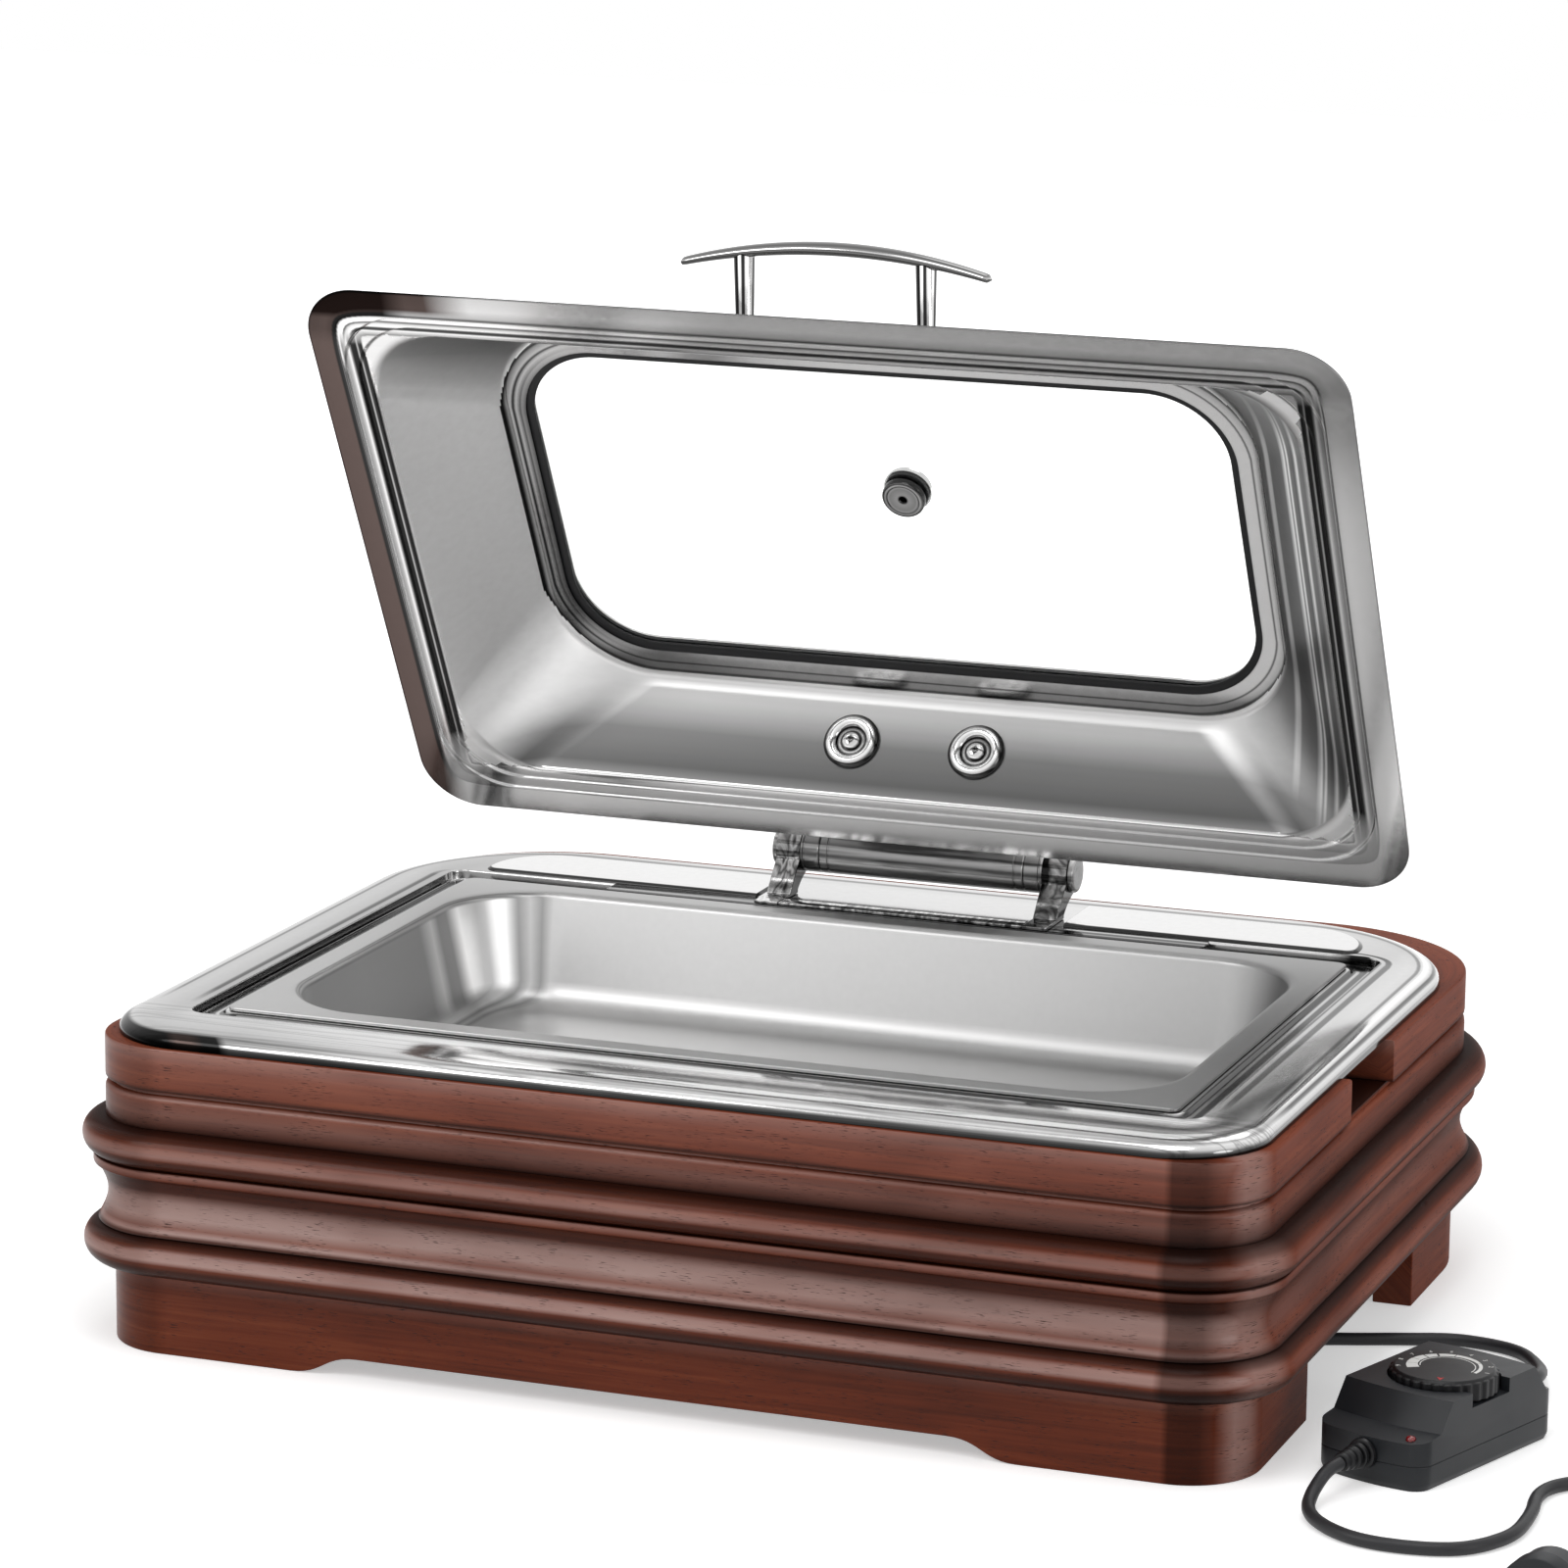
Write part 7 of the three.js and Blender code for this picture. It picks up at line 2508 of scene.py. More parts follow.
@dataclass
class Handle:
    """The arched bar on two tapered posts, on the lid's front wall."""

    lid: Lid
    height: float = 30.5
    half_posts: float = 52.0
    post_length: float = 43.0
    post: tuple[float, float] = (4.75, 5.9)
    foot: tuple[float, float] = (6.5, 1.6)
    half_bar: float = 89.0
    crown: float = 11.6
    thickness: tuple[float, float] = (7.4, 4.6)
    width: tuple[float, float] = (13.0, 9.5)
    screw: tuple[float, float] = (2.4, 14.0)
    head: tuple[float, float] = (6.0, 2.6)

    def build(self) -> None:
        """Makes the bar, the posts and their screws."""
        stand = self.lid.standing(0.0, self.height, -1.0)
        piece = self._bar("handle_bar_skin", 0.0, stand)
        self.lid.fit(piece, "handle", Slot.POLISHED, "handle_bar")
        for side, sign in (("left", -1.0), ("right", 1.0)):
            self._post(side, sign, stand)
            self._screw(side, sign, stand)

    def _bar(self, name: str, by: float, stand: Matrix) -> bpy.types.Object:
        """The bar, grown by a length all round.

        Args:
            name: its name.
            by: the length.
            stand: the handle's place on the wall.

        Returns:
            The bar.
        """
        bench = Bench(name)
        rows = []
        for step in range(-40, 41):
            share = step / 40
            bow = share * share
            z = self.post_length + self.crown * (1 - bow)
            tip = math.sqrt(max(1 - max((abs(share) - 0.965) / 0.035, 0.0) ** 2, 0.0)) * 0.85 + 0.15
            thick = (
                self.thickness[0] + (self.thickness[1] - self.thickness[0]) * bow
            ) / 2 * tip + by
            wide = (self.width[0] + (self.width[1] - self.width[0]) * bow) / 2 * tip + by
            angles = (FULL_TURN * side / 28 for side in range(28))
            around = [(wide * math.cos(angle), z + thick * math.sin(angle)) for angle in angles]
            rows.append([Vector((self.half_bar * share, *point)) for point in around])
        bench.drawn(rows, False)
        return bench.moved(stand).to_object(sharp=60.0)

    def _post(self, side: str, sign: float, stand: Matrix) -> None:
        """A post that widens to the bar, with a foot on the wall.

        Args:
            side: left or right.
            sign: the side as -1 or 1.
            stand: the handle's place on the wall.
        """
        reach = self.post_length + self.crown * (1 - (self.half_posts / self.half_bar) ** 2)
        hole, depth = self.screw[0] + SEAT, self.screw[1]
        radius, high = self.foot
        wall, bar = self.post
        profile = [
            (0, depth), (hole, depth), (hole, SEAT), (radius - 0.3, SEAT), (radius, SEAT + 0.3),
            (radius, SEAT + high / 2), (radius - 0.4, SEAT + high * 0.8), (wall + 0.3, SEAT + high),
            (wall, SEAT + high + 0.6), (bar, reach), (0, reach)
        ]
        place = stand @ Matrix.Translation((sign * self.half_posts, 0, 0))
        piece = turning(f"handle_post_{side}_skin", profile, place, 40)
        piece = carved(piece, self._bar("bar_cutter", SEAT, stand))
        self.lid.fit(sharpened(piece), "post", Slot.POLISHED, f"handle_post_{side}")

    def _screw(self, side: str, sign: float, stand: Matrix) -> None:
        """The screw that holds a post from inside the wall.

        Args:
            side: left or right.
            sign: the side as -1 or 1.
            stand: the handle's place on the wall.
        """
        radius, thick = self.head
        top = -self.lid.sheet - SEAT
        profile = [
            (0, top - thick), (radius * 0.5, top - thick + 0.15),
            (radius * 0.85, top - thick + 0.8), (radius, top - 0.4), (radius, top),
            (self.screw[0], top), (self.screw[0], self.screw[1] - SEAT), (0, self.screw[1] - SEAT)
        ]
        place = stand @ Matrix.Translation((sign * self.half_posts, 0, 0))
        piece = turning(f"handle_screw_{side}_skin", profile, place, 36)
        self.lid.fit(piece, "bright", Slot.POLISHED, f"handle_screw_{side}")


# Heater


@dataclass
class Heater:
    """The plate, element and rails under the water pan, which keep the model's own solids."""

    fitter: Fitter

    def build(self) -> None:
        """Finishes the solids."""
        self.fitter.keep("aluminium", "heater_plate", "heater_cover")
        self.fitter.keep("dark", "heater_element", "heater_rail_front", "heater_rail_rear")
        self.fitter.keep("dark", "thermal_cutout")
        self.fitter.keep("terminal", "terminal_box", "cord_gland")


# Temperature controller


@dataclass
class Controller:
    """The in-line box with its dial, lamp and reliefs, drawn in a frame of its own."""

    fitter: Fitter
    place_at: tuple[float, float] = (393.0, -150.0)
    turn: float = 71.0
    half_length: float = 65.0
    half_width: float = 32.5
    height: float = 42.0
    seam: float = 13.0
    wall: float = 2.2
    corner: float = 9.0
    bow: float = 4.5
    foot: tuple[float, float] = (1.6, 3.0)
    left_shoulder: tuple[float, float] = (17.0, 11.0)
    right_shoulder: tuple[float, float] = (9.0, 12.0)
    shoulder_height: float = 27.5
    shoulder_fall: float = 2.5
    dial_radius: float = 28.0
    dial_y: float = -4.0
    dial_levels: tuple[float, float] = (35.5, 46.5)
    dial_gap: float = 1.0
    teeth: int = 30
    tooth: float = 0.9
    notch: float = 17.0
    pocket_wall: float = 2.0
    numerals: tuple[float, float] = (23.4, 3.6)
    ink: tuple[float, float] = (0.02, 0.09)
    shaft: float = 3.0
    lamp: tuple[float, float, float] = (2.5, -57.0, -22.5)
    board_height: float = 16.0
    boss: tuple[float, float] = (3.0, 16.0)
    relief_height: float = 16.0
    relief_body: float = 6.0
    relief_collar: tuple[float, float] = (8.0, 3.0)
    relief_rib: tuple[float, float, float] = (5.4, 4.4, 4.2)
    relief_length: float = 21.0
    relief_inside: float = 6.0
    ribs: int = 4

    def __post_init__(self) -> None:
        """Works out the places that several pieces share."""
        turned = Matrix.Rotation(math.radians(self.turn), 4, "Z")
        x, y = self.place_at
        self.place = Matrix.Translation((x, y, 0)) @ turned
        self.place_in_metres = Matrix.Translation((x * METRE, y * METRE, 0)) @ turned
        self.plan = centred(self.half_length, self.half_width, self.corner)
        self.pocket_floor = self.dial_levels[0] - self.dial_gap
        self.reliefs: list[bpy.types.Object] = []

    def build(self) -> None:
        """Makes the case, the dial with its marks, the lamp and the reliefs."""
        self._upper_case()
        self._lower_case()
        self._dial()
        self._marks()
        self._lamp()
        self.reliefs = [self._relief("heater", 0.0), self._relief("mains", math.pi)]
        self.fitter.keep("board", "controller_board")
        self.fitter.keep("dark", "dial_shaft")

    def _fit(
        self, bench: Bench, finish: str, slot: Slot, *nodes: str, body: Body = Body.BASE
    ) -> bpy.types.Object:
        """Turns a drawn piece into place and finishes it."""
        return self.fitter.fit(bench.moved(self.place).to_object(), finish, body, slot, *nodes)

    def _side_view(self, by: float, bottom: float) -> list[tuple[float, float]]:
        """The case seen from the side.

        Args:
            by: how far it is moved in.
            bottom: its underside.

        Returns:
            Its corners in X and Z.
        """
        half, high, fall = self.half_length, self.shoulder_height, self.shoulder_fall
        left = -half + self.left_shoulder[0]
        right = half - self.right_shoulder[0]
        return [
            (-half + by, bottom), (-half + by, high - fall - by), (left + by, high - by),
            (left + self.left_shoulder[1] + by, self.height - by),
            (right - self.right_shoulder[1] - by, self.height - by), (right - by, high - by),
            (half - by, high - fall - by), (half - by, bottom)
        ]

    def _prism(self, by: float, low: float, high: float) -> bpy.types.Object:
        """The case's plan drawn upwards.

        Args:
            by: how far it is moved in.
            low: where it starts.
            high: where it ends.

        Returns:
            The tool.
        """
        bench = Bench("plan_cutter")
        outline = self.plan.grown(-by)
        bench.loft([Station(outline, low), Station(outline, high)], False, steps=8)
        return bench.to_object()

    def _bowed(self, piece: bpy.types.Object) -> bpy.types.Object:
        """Bends the ends of a straight case so that they are curved as seen from above.

        Args:
            piece: the case, along X about the origin.

        Returns:
            The case.
        """
        mesh = bmesh.new()
        mesh.from_mesh(piece.data)
        for step in range(1, 18):
            y = (-1 + step / 9) * self.half_width * METRE
            geom = mesh.verts[:] + mesh.edges[:] + mesh.faces[:]
            bmesh.ops.bisect_plane(mesh, geom=geom, plane_co=(0, y, 0), plane_no=(0, 1, 0))
        for vert in mesh.verts:
            share = vert.co.y / (self.half_width * METRE)
            vert.co.x *= 1 - self.bow / self.half_length * share * share
        mesh.to_mesh(piece.data)
        mesh.free()
        return piece

    def _cased(self, by: float, bottom: float, top: float) -> bpy.types.Object:
        """The case's outside or inside: its side view within its plan, with bowed ends.

        Args:
            by: how far it is moved in.
            bottom: its underside.
            top: its top.

        Returns:
            The body.
        """
        bench = Bench("case_body")
        half = self.half_width - by
        places = [(x, -half, z) for x, z in self._side_view(by, bottom)]
        bench.extruded(bench.polygon(places), (0, 2 * half, 0))
        plan = self._prism(by, bottom - 1, top)
        return self._bowed(carved(bench.to_object(), plan, how=Cut.WITHIN))

    def _rod(self, radius: float, low: float, high: float, x: float, y: float) -> bpy.types.Object:
        """An upright round tool."""
        return rod(radius, low, high, Matrix.Translation((x, y, 0)), 72)

    def _relief_hole(self) -> bpy.types.Object:
        """The round tool for both reliefs."""
        place = Matrix.Translation((0, 0, self.relief_height))
        return rod(self.relief_body + SEAT, -90, 90, place, 40, Axis.X)

    def _upper_case(self) -> None:
        """The upper half: shoulders, slopes, the dial's pocket and its notch at the front."""
        bottom, top = self.seam + SEAT, self.height
        room = self._cased(self.wall, bottom - 1, top)
        pocket = self.dial_radius + self.dial_gap
        under = self.pocket_floor - self.pocket_wall
        roof = self._rod(pocket + self.pocket_wall, under, top + 1, 0, self.dial_y)
        wide = self.notch + self.pocket_wall
        front = -self.half_width - 1
        shelf = block((-wide, front, under), (wide, self.dial_y, top + 1))
        room = carved(room, roof, shelf)
        radius, lamp_x, lamp_y = self.lamp
        piece = carved(
            self._cased(0.0, bottom, top), room,
            self._rod(pocket, self.pocket_floor, top + 1, 0, self.dial_y),
            block((-self.notch, front, self.pocket_floor), (self.notch, self.dial_y, top + 1)),
            self._rod(self.shaft + SEAT, 0, top + 1, 0, self.dial_y),
            self._rod(radius + SEAT, self.seam, top, lamp_x, lamp_y), self._relief_hole()
        )
        piece.name = "controller_upper_skin"
        piece.data.transform(self.place_in_metres)
        softened(sharpened(piece, 28.0), 0.7, 3)
        self.fitter.fit(piece, "case", Body.BASE, Slot.CASE, "controller_upper_case")

    def _lower_case(self) -> None:
        """The tray with a chamfered foot and the bosses under the board."""
        inset, rise = self.foot
        bench = Bench("controller_tray")
        stations = [
            Station(self.plan.grown(-self.wall), self.wall),
            Station(self.plan.grown(-self.wall), self.seam), Station(self.plan, self.seam, 0.5),
            Station(self.plan, rise, 1.0), Station(self.plan.grown(-inset), 0.0, 0.6)
        ]
        bench.loft(filleted(stations, False, 3), False, steps=10)
        piece = carved(self._bowed(bench.to_object()), self._relief_hole())
        radius, inset = self.boss
        x, y = self.half_length - inset, self.half_width - inset
        low, high = self.wall / 2, self.board_height - SEAT
        places = ((-x, -y), (-x, y), (x, -y), (x, y))
        posts = [self._rod(radius, low, high, *place) for place in places]
        piece = sharpened(carved(piece, *posts, how=Cut.JOINED))
        piece.name = "controller_lower_skin"
        piece.data.transform(self.place_in_metres)
        self.fitter.fit(piece, "case", Body.BASE, Slot.CASE, "controller_lower_case")

    def _dial(self) -> None:
        """The ridged knob with a flat face."""
        low, high = self.dial_levels
        skirt_top = high - 1.4
        bench = Bench("controller_dial_skin")
        angles = [FULL_TURN * step / (self.teeth * 8) for step in range(self.teeth * 8)]
        rows = []
        for z, inset in ((low, 0.5), (low + 0.4, 0.0), (skirt_top - 0.5, 0.0), (skirt_top, 0.7)):
            row = []
            for angle in angles:
                wave = max(math.cos(angle * self.teeth) * 1.4 + 0.35, -1.0)
                depth = self.tooth * (1 - min(wave, 1.0)) / 2
                row.append(Vector((*polar(self.dial_radius - depth - inset, angle), z)))
            rows.append(row)
        for radius, z in ((26.4, skirt_top + 0.1), (25.9, high - 0.5), (25.2, high), (25.0, high)):
            rows.append([Vector((*polar(radius, angle), z)) for angle in angles])
        bench.drawn(rows, False)
        bench.moved(Matrix.Translation((0, self.dial_y, 0)))
        piece = bench.moved(self.place).to_object(sharp=38.0)
        bore = self._rod(self.shaft + SEAT, low - 2, high - self.pocket_wall, 0, self.dial_y)
        bore.data.transform(self.place_in_metres)
        piece = sharpened(carved(piece, bore), 38.0)
        self.fitter.fit(piece, "dial", Body.DIAL, Slot.DIAL, "controller_dial")

    def _flat(self, bench: Bench, places: Sequence[tuple[float, float]]) -> None:
        """Lays a thin printed shape on the dial's face.

        Args:
            bench: the piece that it belongs to.
            places: its corners about the dial's middle.
        """
        above, thickness = self.ink
        level = self.dial_levels[1] + above
        face = bench.polygon([(x, y + self.dial_y, level) for x, y in places])
        bench.extruded(face, (0, 0, thickness))

    def _band(
        self, bench: Bench, angles: tuple[float, float], inner: tuple[float, float], outer: float
    ) -> None:
        """Lays a curved band on the dial.

        Args:
            bench: the piece that it belongs to.
            angles: its first and last angle in degrees.
            inner: its inner radius at the first and at the last angle.
            outer: its outer radius.
        """
        steps = max(int(abs(angles[1] - angles[0]) / 3), 2)
        outside, inside = [], []
        for step in range(steps + 1):
            share = step / steps
            angle = math.radians(angles[0] + (angles[1] - angles[0]) * share)
            radius = inner[0] + (inner[1] - inner[0]) * share
            outside.append(polar(outer, angle))
            inside.append(polar(radius, angle))
        self._flat(bench, outside + inside[::-1])

    def _marks(self) -> None:
        """The scale on the dial: a band that narrows, a thin line, numbers and a pointer."""
        turn, outer = -50.6, 19.4
        parts = (
            (189, 165), (163.5, 141), (139.5, 118), (115.5, 96), (92.5, 66), (64.5, 12), (10.5, -40)
        )
        scale = Bench("dial_scale")
        for start, end in parts:
            inner = [outer - (6.4 - 4.6 * min((189 - angle) / 183, 1.0)) for angle in (start, end)]
            self._band(scale, (start + turn, end + turn), (inner[0], inner[1]), outer)
        for step in range(24):
            angle = 176 - 9 * step + turn
            radius = 12.0 + 0.17 * step
            self._band(scale, (angle, angle - 9), (radius, radius + 0.17), radius + 0.6)
        for number in range(1, 10):
            self._numeral(scale, number, -30 + 26.25 * (number - 1) + turn)
        self._fit(scale, "white", Slot.DIAL, body=Body.DIAL)
        tip = math.radians(-101.6 + turn)
        across = Vector((-math.sin(tip), math.cos(tip)))
        out = Vector((math.cos(tip), math.sin(tip)))
        corners = [out * 24.2, out * 19.6 + across * 1.9, out * 20.4, out * 19.6 - across * 1.9]
        pointer = Bench("dial_pointer")
        self._flat(pointer, [tuple(corner) for corner in corners])
        self._fit(pointer, "red", Slot.DIAL, body=Body.DIAL)

    def _numeral(self, bench: Bench, number: int, angle: float) -> None:
        """Lays one number on the scale, its foot towards the dial's middle.

        Args:
            bench: the piece that it belongs to.
            number: what it says.
            angle: where it stands, in degrees.
        """
        reach, size = self.numerals
        above, thickness = self.ink
        text = bpy.data.curves.new("numeral", "FONT")
        text.body = str(number)
        text.align_x, text.align_y = "CENTER", "CENTER"
        text.size, text.extrude, text.resolution_u = size, thickness / 2, 3
        drawn = bpy.data.objects.new("numeral", text)
        bpy.context.scene.collection.objects.link(drawn)
        bpy.context.view_layer.update()
        data = bpy.data.meshes.new_from_object(drawn)
        bpy.data.objects.remove(drawn)
        bpy.data.curves.remove(text)
        before = set(bench.mesh.verts)
        bench.mesh.from_mesh(data)
        bpy.data.meshes.remove(data)
        made = [vert for vert in bench.mesh.verts if vert not in before]
        bmesh.ops.remove_doubles(bench.mesh, verts=made, dist=0.0005)
        made = [vert for vert in bench.mesh.verts if vert not in before]
        turned = math.radians(angle)
        height = self.dial_levels[1] + above + thickness / 2
        at = (*polar(reach, turned, 0.0, self.dial_y), height)
        place = Matrix.Translation(at) @ Matrix.Rotation(turned - QUARTER, 4, "Z")
        bmesh.ops.transform(bench.mesh, matrix=place, verts=made)

    def _lamp(self) -> None:
        """A small domed lens on the left shoulder."""
        radius, x, y = self.lamp
        inset = x + self.half_length
        shoulder = self.left_shoulder[0]
        surface = self.shoulder_height - self.shoulder_fall * (shoulder - inset) / shoulder
        angles = (QUARTER * step / 8 for step in range(8))
        dome = [(radius * math.cos(a), surface + 0.2 + 1.4 * math.sin(a)) for a in angles]
        profile = [(0, surface - 4), (radius, surface - 4), *dome, (0, surface + 1.6)]
        bench = Bench("controller_lamp_skin")
        bench.turned(profile, Axis.Z, Matrix.Translation((x, y, 0)), 32)
        self._fit(bench, "lamp", Slot.LAMP, "controller_lamp")

    def _relief(self, name: str, turned: float) -> bpy.types.Object:
        """A ribbed sleeve that tapers along the cord.

        Args:
            name: the cord's name.
            turned: the turn about Z, in radians.

        Returns:
            The sleeve.
        """
        start = self.half_length - self.relief_inside
        wall = self.half_length
        face = wall + self.relief_length
        collar, collar_end = self.relief_collar[0], wall + self.relief_collar[1]
        crest, neck, end = self.relief_rib
        profile = [
            (0, start), (self.relief_body, start), (self.relief_body, wall + SEAT),
            (collar - 0.5, wall + SEAT), (collar, wall + SEAT + 0.5),
            (collar - 0.2, collar_end - 0.4), (collar - 0.8, collar_end)
        ]
        length = (face - collar_end) / self.ribs
        for rib in range(self.ribs):
            at = collar_end + rib * length
            top = crest + 1.2 * (self.ribs - rib) / self.ribs - (crest - end) * rib / self.ribs
            low = neck - 0.3 * rib / self.ribs
            profile += [
                (low, at + 0.15), (low, at + 0.26 * length), (top - 0.5, at + 0.32 * length),
                (top, at + 0.42 * length), (top, at + 0.82 * length),
                (top - 0.5, at + 0.94 * length)
            ]
        profile += [(neck - SEAT, face - 0.2), (0, face)]
        bench = Bench(f"strain_relief_{name}_skin")
        place = Matrix.Rotation(turned, 4, "Z") @ Matrix.Translation((0, 0, self.relief_height))
        bench.turned(profile, Axis.X, place, 36)
        return self._fit(bench, "dial", Slot.CORD, f"strain_relief_{name}")


# Cords


def smooth_line(points: Sequence[Vector], spacing: float) -> list[Vector]:
    """A centripetal Catmull-Rom line through the points, taken at about even steps.

    Args:
        points: what the line passes through.
        spacing: the step in millimetres.

    Returns:
        The line's points, the first and last among them.
    """
    padded = [points[0] * 2 - points[1], *points, points[-1] * 2 - points[-2]]
    dense: list[Vector] = []
    for index in range(1, len(padded) - 2):
        a, b, c, d = padded[index - 1 : index + 3]
        knots = [0.0]
        for first, second in ((a, b), (b, c), (c, d)):
            knots.append(knots[-1] + max((second - first).length, 1e-6) ** 0.5)
        for step in range(16):
            t = knots[1] + (knots[2] - knots[1]) * step / 16
            dense.append(barry_goldman((a, b, c, d), knots, t))
    dense.append(points[-1])
    return evened(dense, spacing)


def barry_goldman(points: Sequence[Vector], knots: Sequence[float], t: float) -> Vector:
    """A point of the cubic through four points.

    Args:
        points: the points.
        knots: a knot for each of them.
        t: where on the cubic the wanted point lies, as a knot.

    Returns:
        The point.
    """
    row = list(points)
    for level in range(1, 3):
        row = [
            row[i] + (row[i + 1] - row[i]) * ((t - knots[i]) / (knots[i + level] - knots[i]))
            for i in range(len(row) - 1)
        ]
    return row[0] + (row[1] - row[0]) * ((t - knots[1]) / (knots[2] - knots[1]))


def evened(line: Sequence[Vector], spacing: float) -> list[Vector]:
    """The same line with points at even steps.

    Args:
        line: the line.
        spacing: the step in millimetres.

    Returns:
        The line's points.
    """
    runs = [0.0]
    for a, b in zip(line, line[1:]):
        runs.append(runs[-1] + (b - a).length)
    count = max(round(runs[-1] / spacing), 2)
    made, index = [], 0
    for step in range(count + 1):
        target = runs[-1] * step / count
        while index < len(line) - 2 and runs[index + 1] < target:
            index += 1
        span = max(runs[index + 1] - runs[index], 1e-9)
        made.append(line[index].lerp(line[index + 1], (target - runs[index]) / span))
    return made


@dataclass
class Cords:
    """The lead from the heater to the controller, and the mains cord with its coil and plug."""

    fitter: Fitter
    controller: Controller
    diameter: float = 7.0
    table: float = 3.6
    heater_points: tuple[tuple[float, float, float], ...] = (
        (152.6, -30.9, 51.9), (159.6, -30.9, 51.9), (210.0, -29.0, 38.0), (242.0, -22.0, 13.0),
        (274.0, -10.0, 4.8), (304.0, 3.0, 3.6), (334.0, 15.0, 3.6), (362.0, 24.0, 3.6),
        (394.0, 17.0, 3.6), (413.0, -10.0, 5.0), (423.38, -61.78, 16.0), (421.10, -68.40, 16.0)
    )
    mains_points: tuple[tuple[float, float, float], ...] = (
        (364.90, -231.60, 16.0), (362.62, -238.22, 16.0), (358.0, -254.0, 8.0),
        (364.0, -280.0, 4.6), (394.0, -303.0, 3.6), (441.0, -299.0, 3.6), (461.0, -272.0, 3.6),
        (463.5, -237.0, 3.6)
    )
    coil_bend: float = 32.0
    coil_centre: tuple[float, float] = (590.0, -235.0)
    coil_radius: float = 44.0
    coil_pitch: float = 7.7
    coil_rise: float = 7.6
    coil_turns: float = 5.0
    plug_reach: float = 95.0
    plug_shares: tuple[tuple[float, float], ...] = ((0.08, 0), (0.5, 0.5), (0.92, 1), (1, 1))
    plug_height: float = 19.1
    plug_sizes: tuple[float, ...] = (5.0, 8.0, 22.0, 18.0, 22.0, 19.0, 12.0)
    pin: tuple[float, float, float, float] = (2.4, 19.0, 19.0, 0.8)

    def __post_init__(self) -> None:
        """Works out the routes."""
        self.heater_line = smooth_line([Vector(p) for p in self.heater_points], 11.0)
        coil = self._coil()
        arrive = (coil[0] - coil[1]).normalized()
        leave = (coil[-1] - coil[-2]).normalized()
        arrive.z = leave.z = 0.0
        self.leave = leave
        start = coil[0] + arrive * SEAT
        before = coil[0] + arrive * (SEAT + self.diameter)
        middle = before + Vector((-self.coil_bend, 2 * self.diameter, 0))
        angles = (math.pi * (1 - step / 6) for step in range(7))
        bend = [middle + Vector((*polar(self.coil_bend, angle), 0)) for angle in angles]
        lead = [Vector(p) for p in self.mains_points] + bend + [before, start]
        out = coil[-1] + leave * SEAT
        self.plug_face = out + leave * self.plug_reach
        self.plug_face.z = self.plug_height
        rise = self.plug_height - out.z
        tail = [out]
        for reach, climb in self.plug_shares:
            point = out + leave * (self.plug_reach * reach)
            point.z = out.z + rise * climb
            tail.append(point)
        self.mains_line = smooth_line(lead, 11.0)[:-1] + coil + smooth_line(tail, 9.0)[1:]

    def _coil(self) -> list[Vector]:
        """The line of the coil: inwards on the table, up a layer, and outwards again.

        Returns:
            Its points.
        """
        line = []
        steps = round(self.coil_turns * 24)
        for step in range(steps + 1):
            turn = self.coil_turns * step / steps
            middle = turn - self.coil_turns / 2
            climb = min(max(2 * middle + 0.5, 0.0), 1.0)
            radius = self.coil_radius + self.coil_pitch * abs(middle)
            angle = math.pi + FULL_TURN * turn
            x, y = self.coil_centre
            ease = climb * climb * (3 - 2 * climb)
            height = self.table + self.coil_rise * ease
            line.append(Vector((*polar(radius, angle, x, y), height)))
        first, last = line[0] - line[1], line[-1] - line[-2]
        first.z = last.z = 0.0
        start = line[0] + first.normalized() * self.diameter
        end = line[-1] + last.normalized() * self.diameter
        return [start, *line, end]

    def _curve(self, name: str, line: Sequence[Vector], *nodes: str) -> bpy.types.Object:
        """A round cord along a line, as a curve with a bevel.

        Args:
            name: its name.
            line: the points of its middle line.
            *nodes: the model's solids that it stands for.

        Returns:
            The cord.
        """
        data = bpy.data.curves.new(name, "CURVE")
        data.dimensions = "3D"
        data.bevel_depth = self.diameter / 2 * METRE
        data.bevel_resolution = 5
        data.resolution_u = 4
        data.use_fill_caps = True
        spline = data.splines.new("BEZIER")
        spline.bezier_points.add(len(line) - 1)
        for point, place in zip(spline.bezier_points, line):
            point.co = place * METRE
            point.handle_left_type = point.handle_right_type = "AUTO"
        piece = bpy.data.objects.new(name, data)
        bpy.context.scene.collection.objects.link(piece)
        return self.fitter.fit(piece, "cord", Body.BASE, Slot.CORD, *nodes)

    def build(self) -> None:
        self.heater = self._curve("heater_lead_cord", self.heater_line, "heater_lead")
        nodes = ("mains_lead", "mains_coil", "plug_lead")
        self.mains = self._curve("mains_cord", self.mains_line, *nodes)
        self.plug = self._plug()

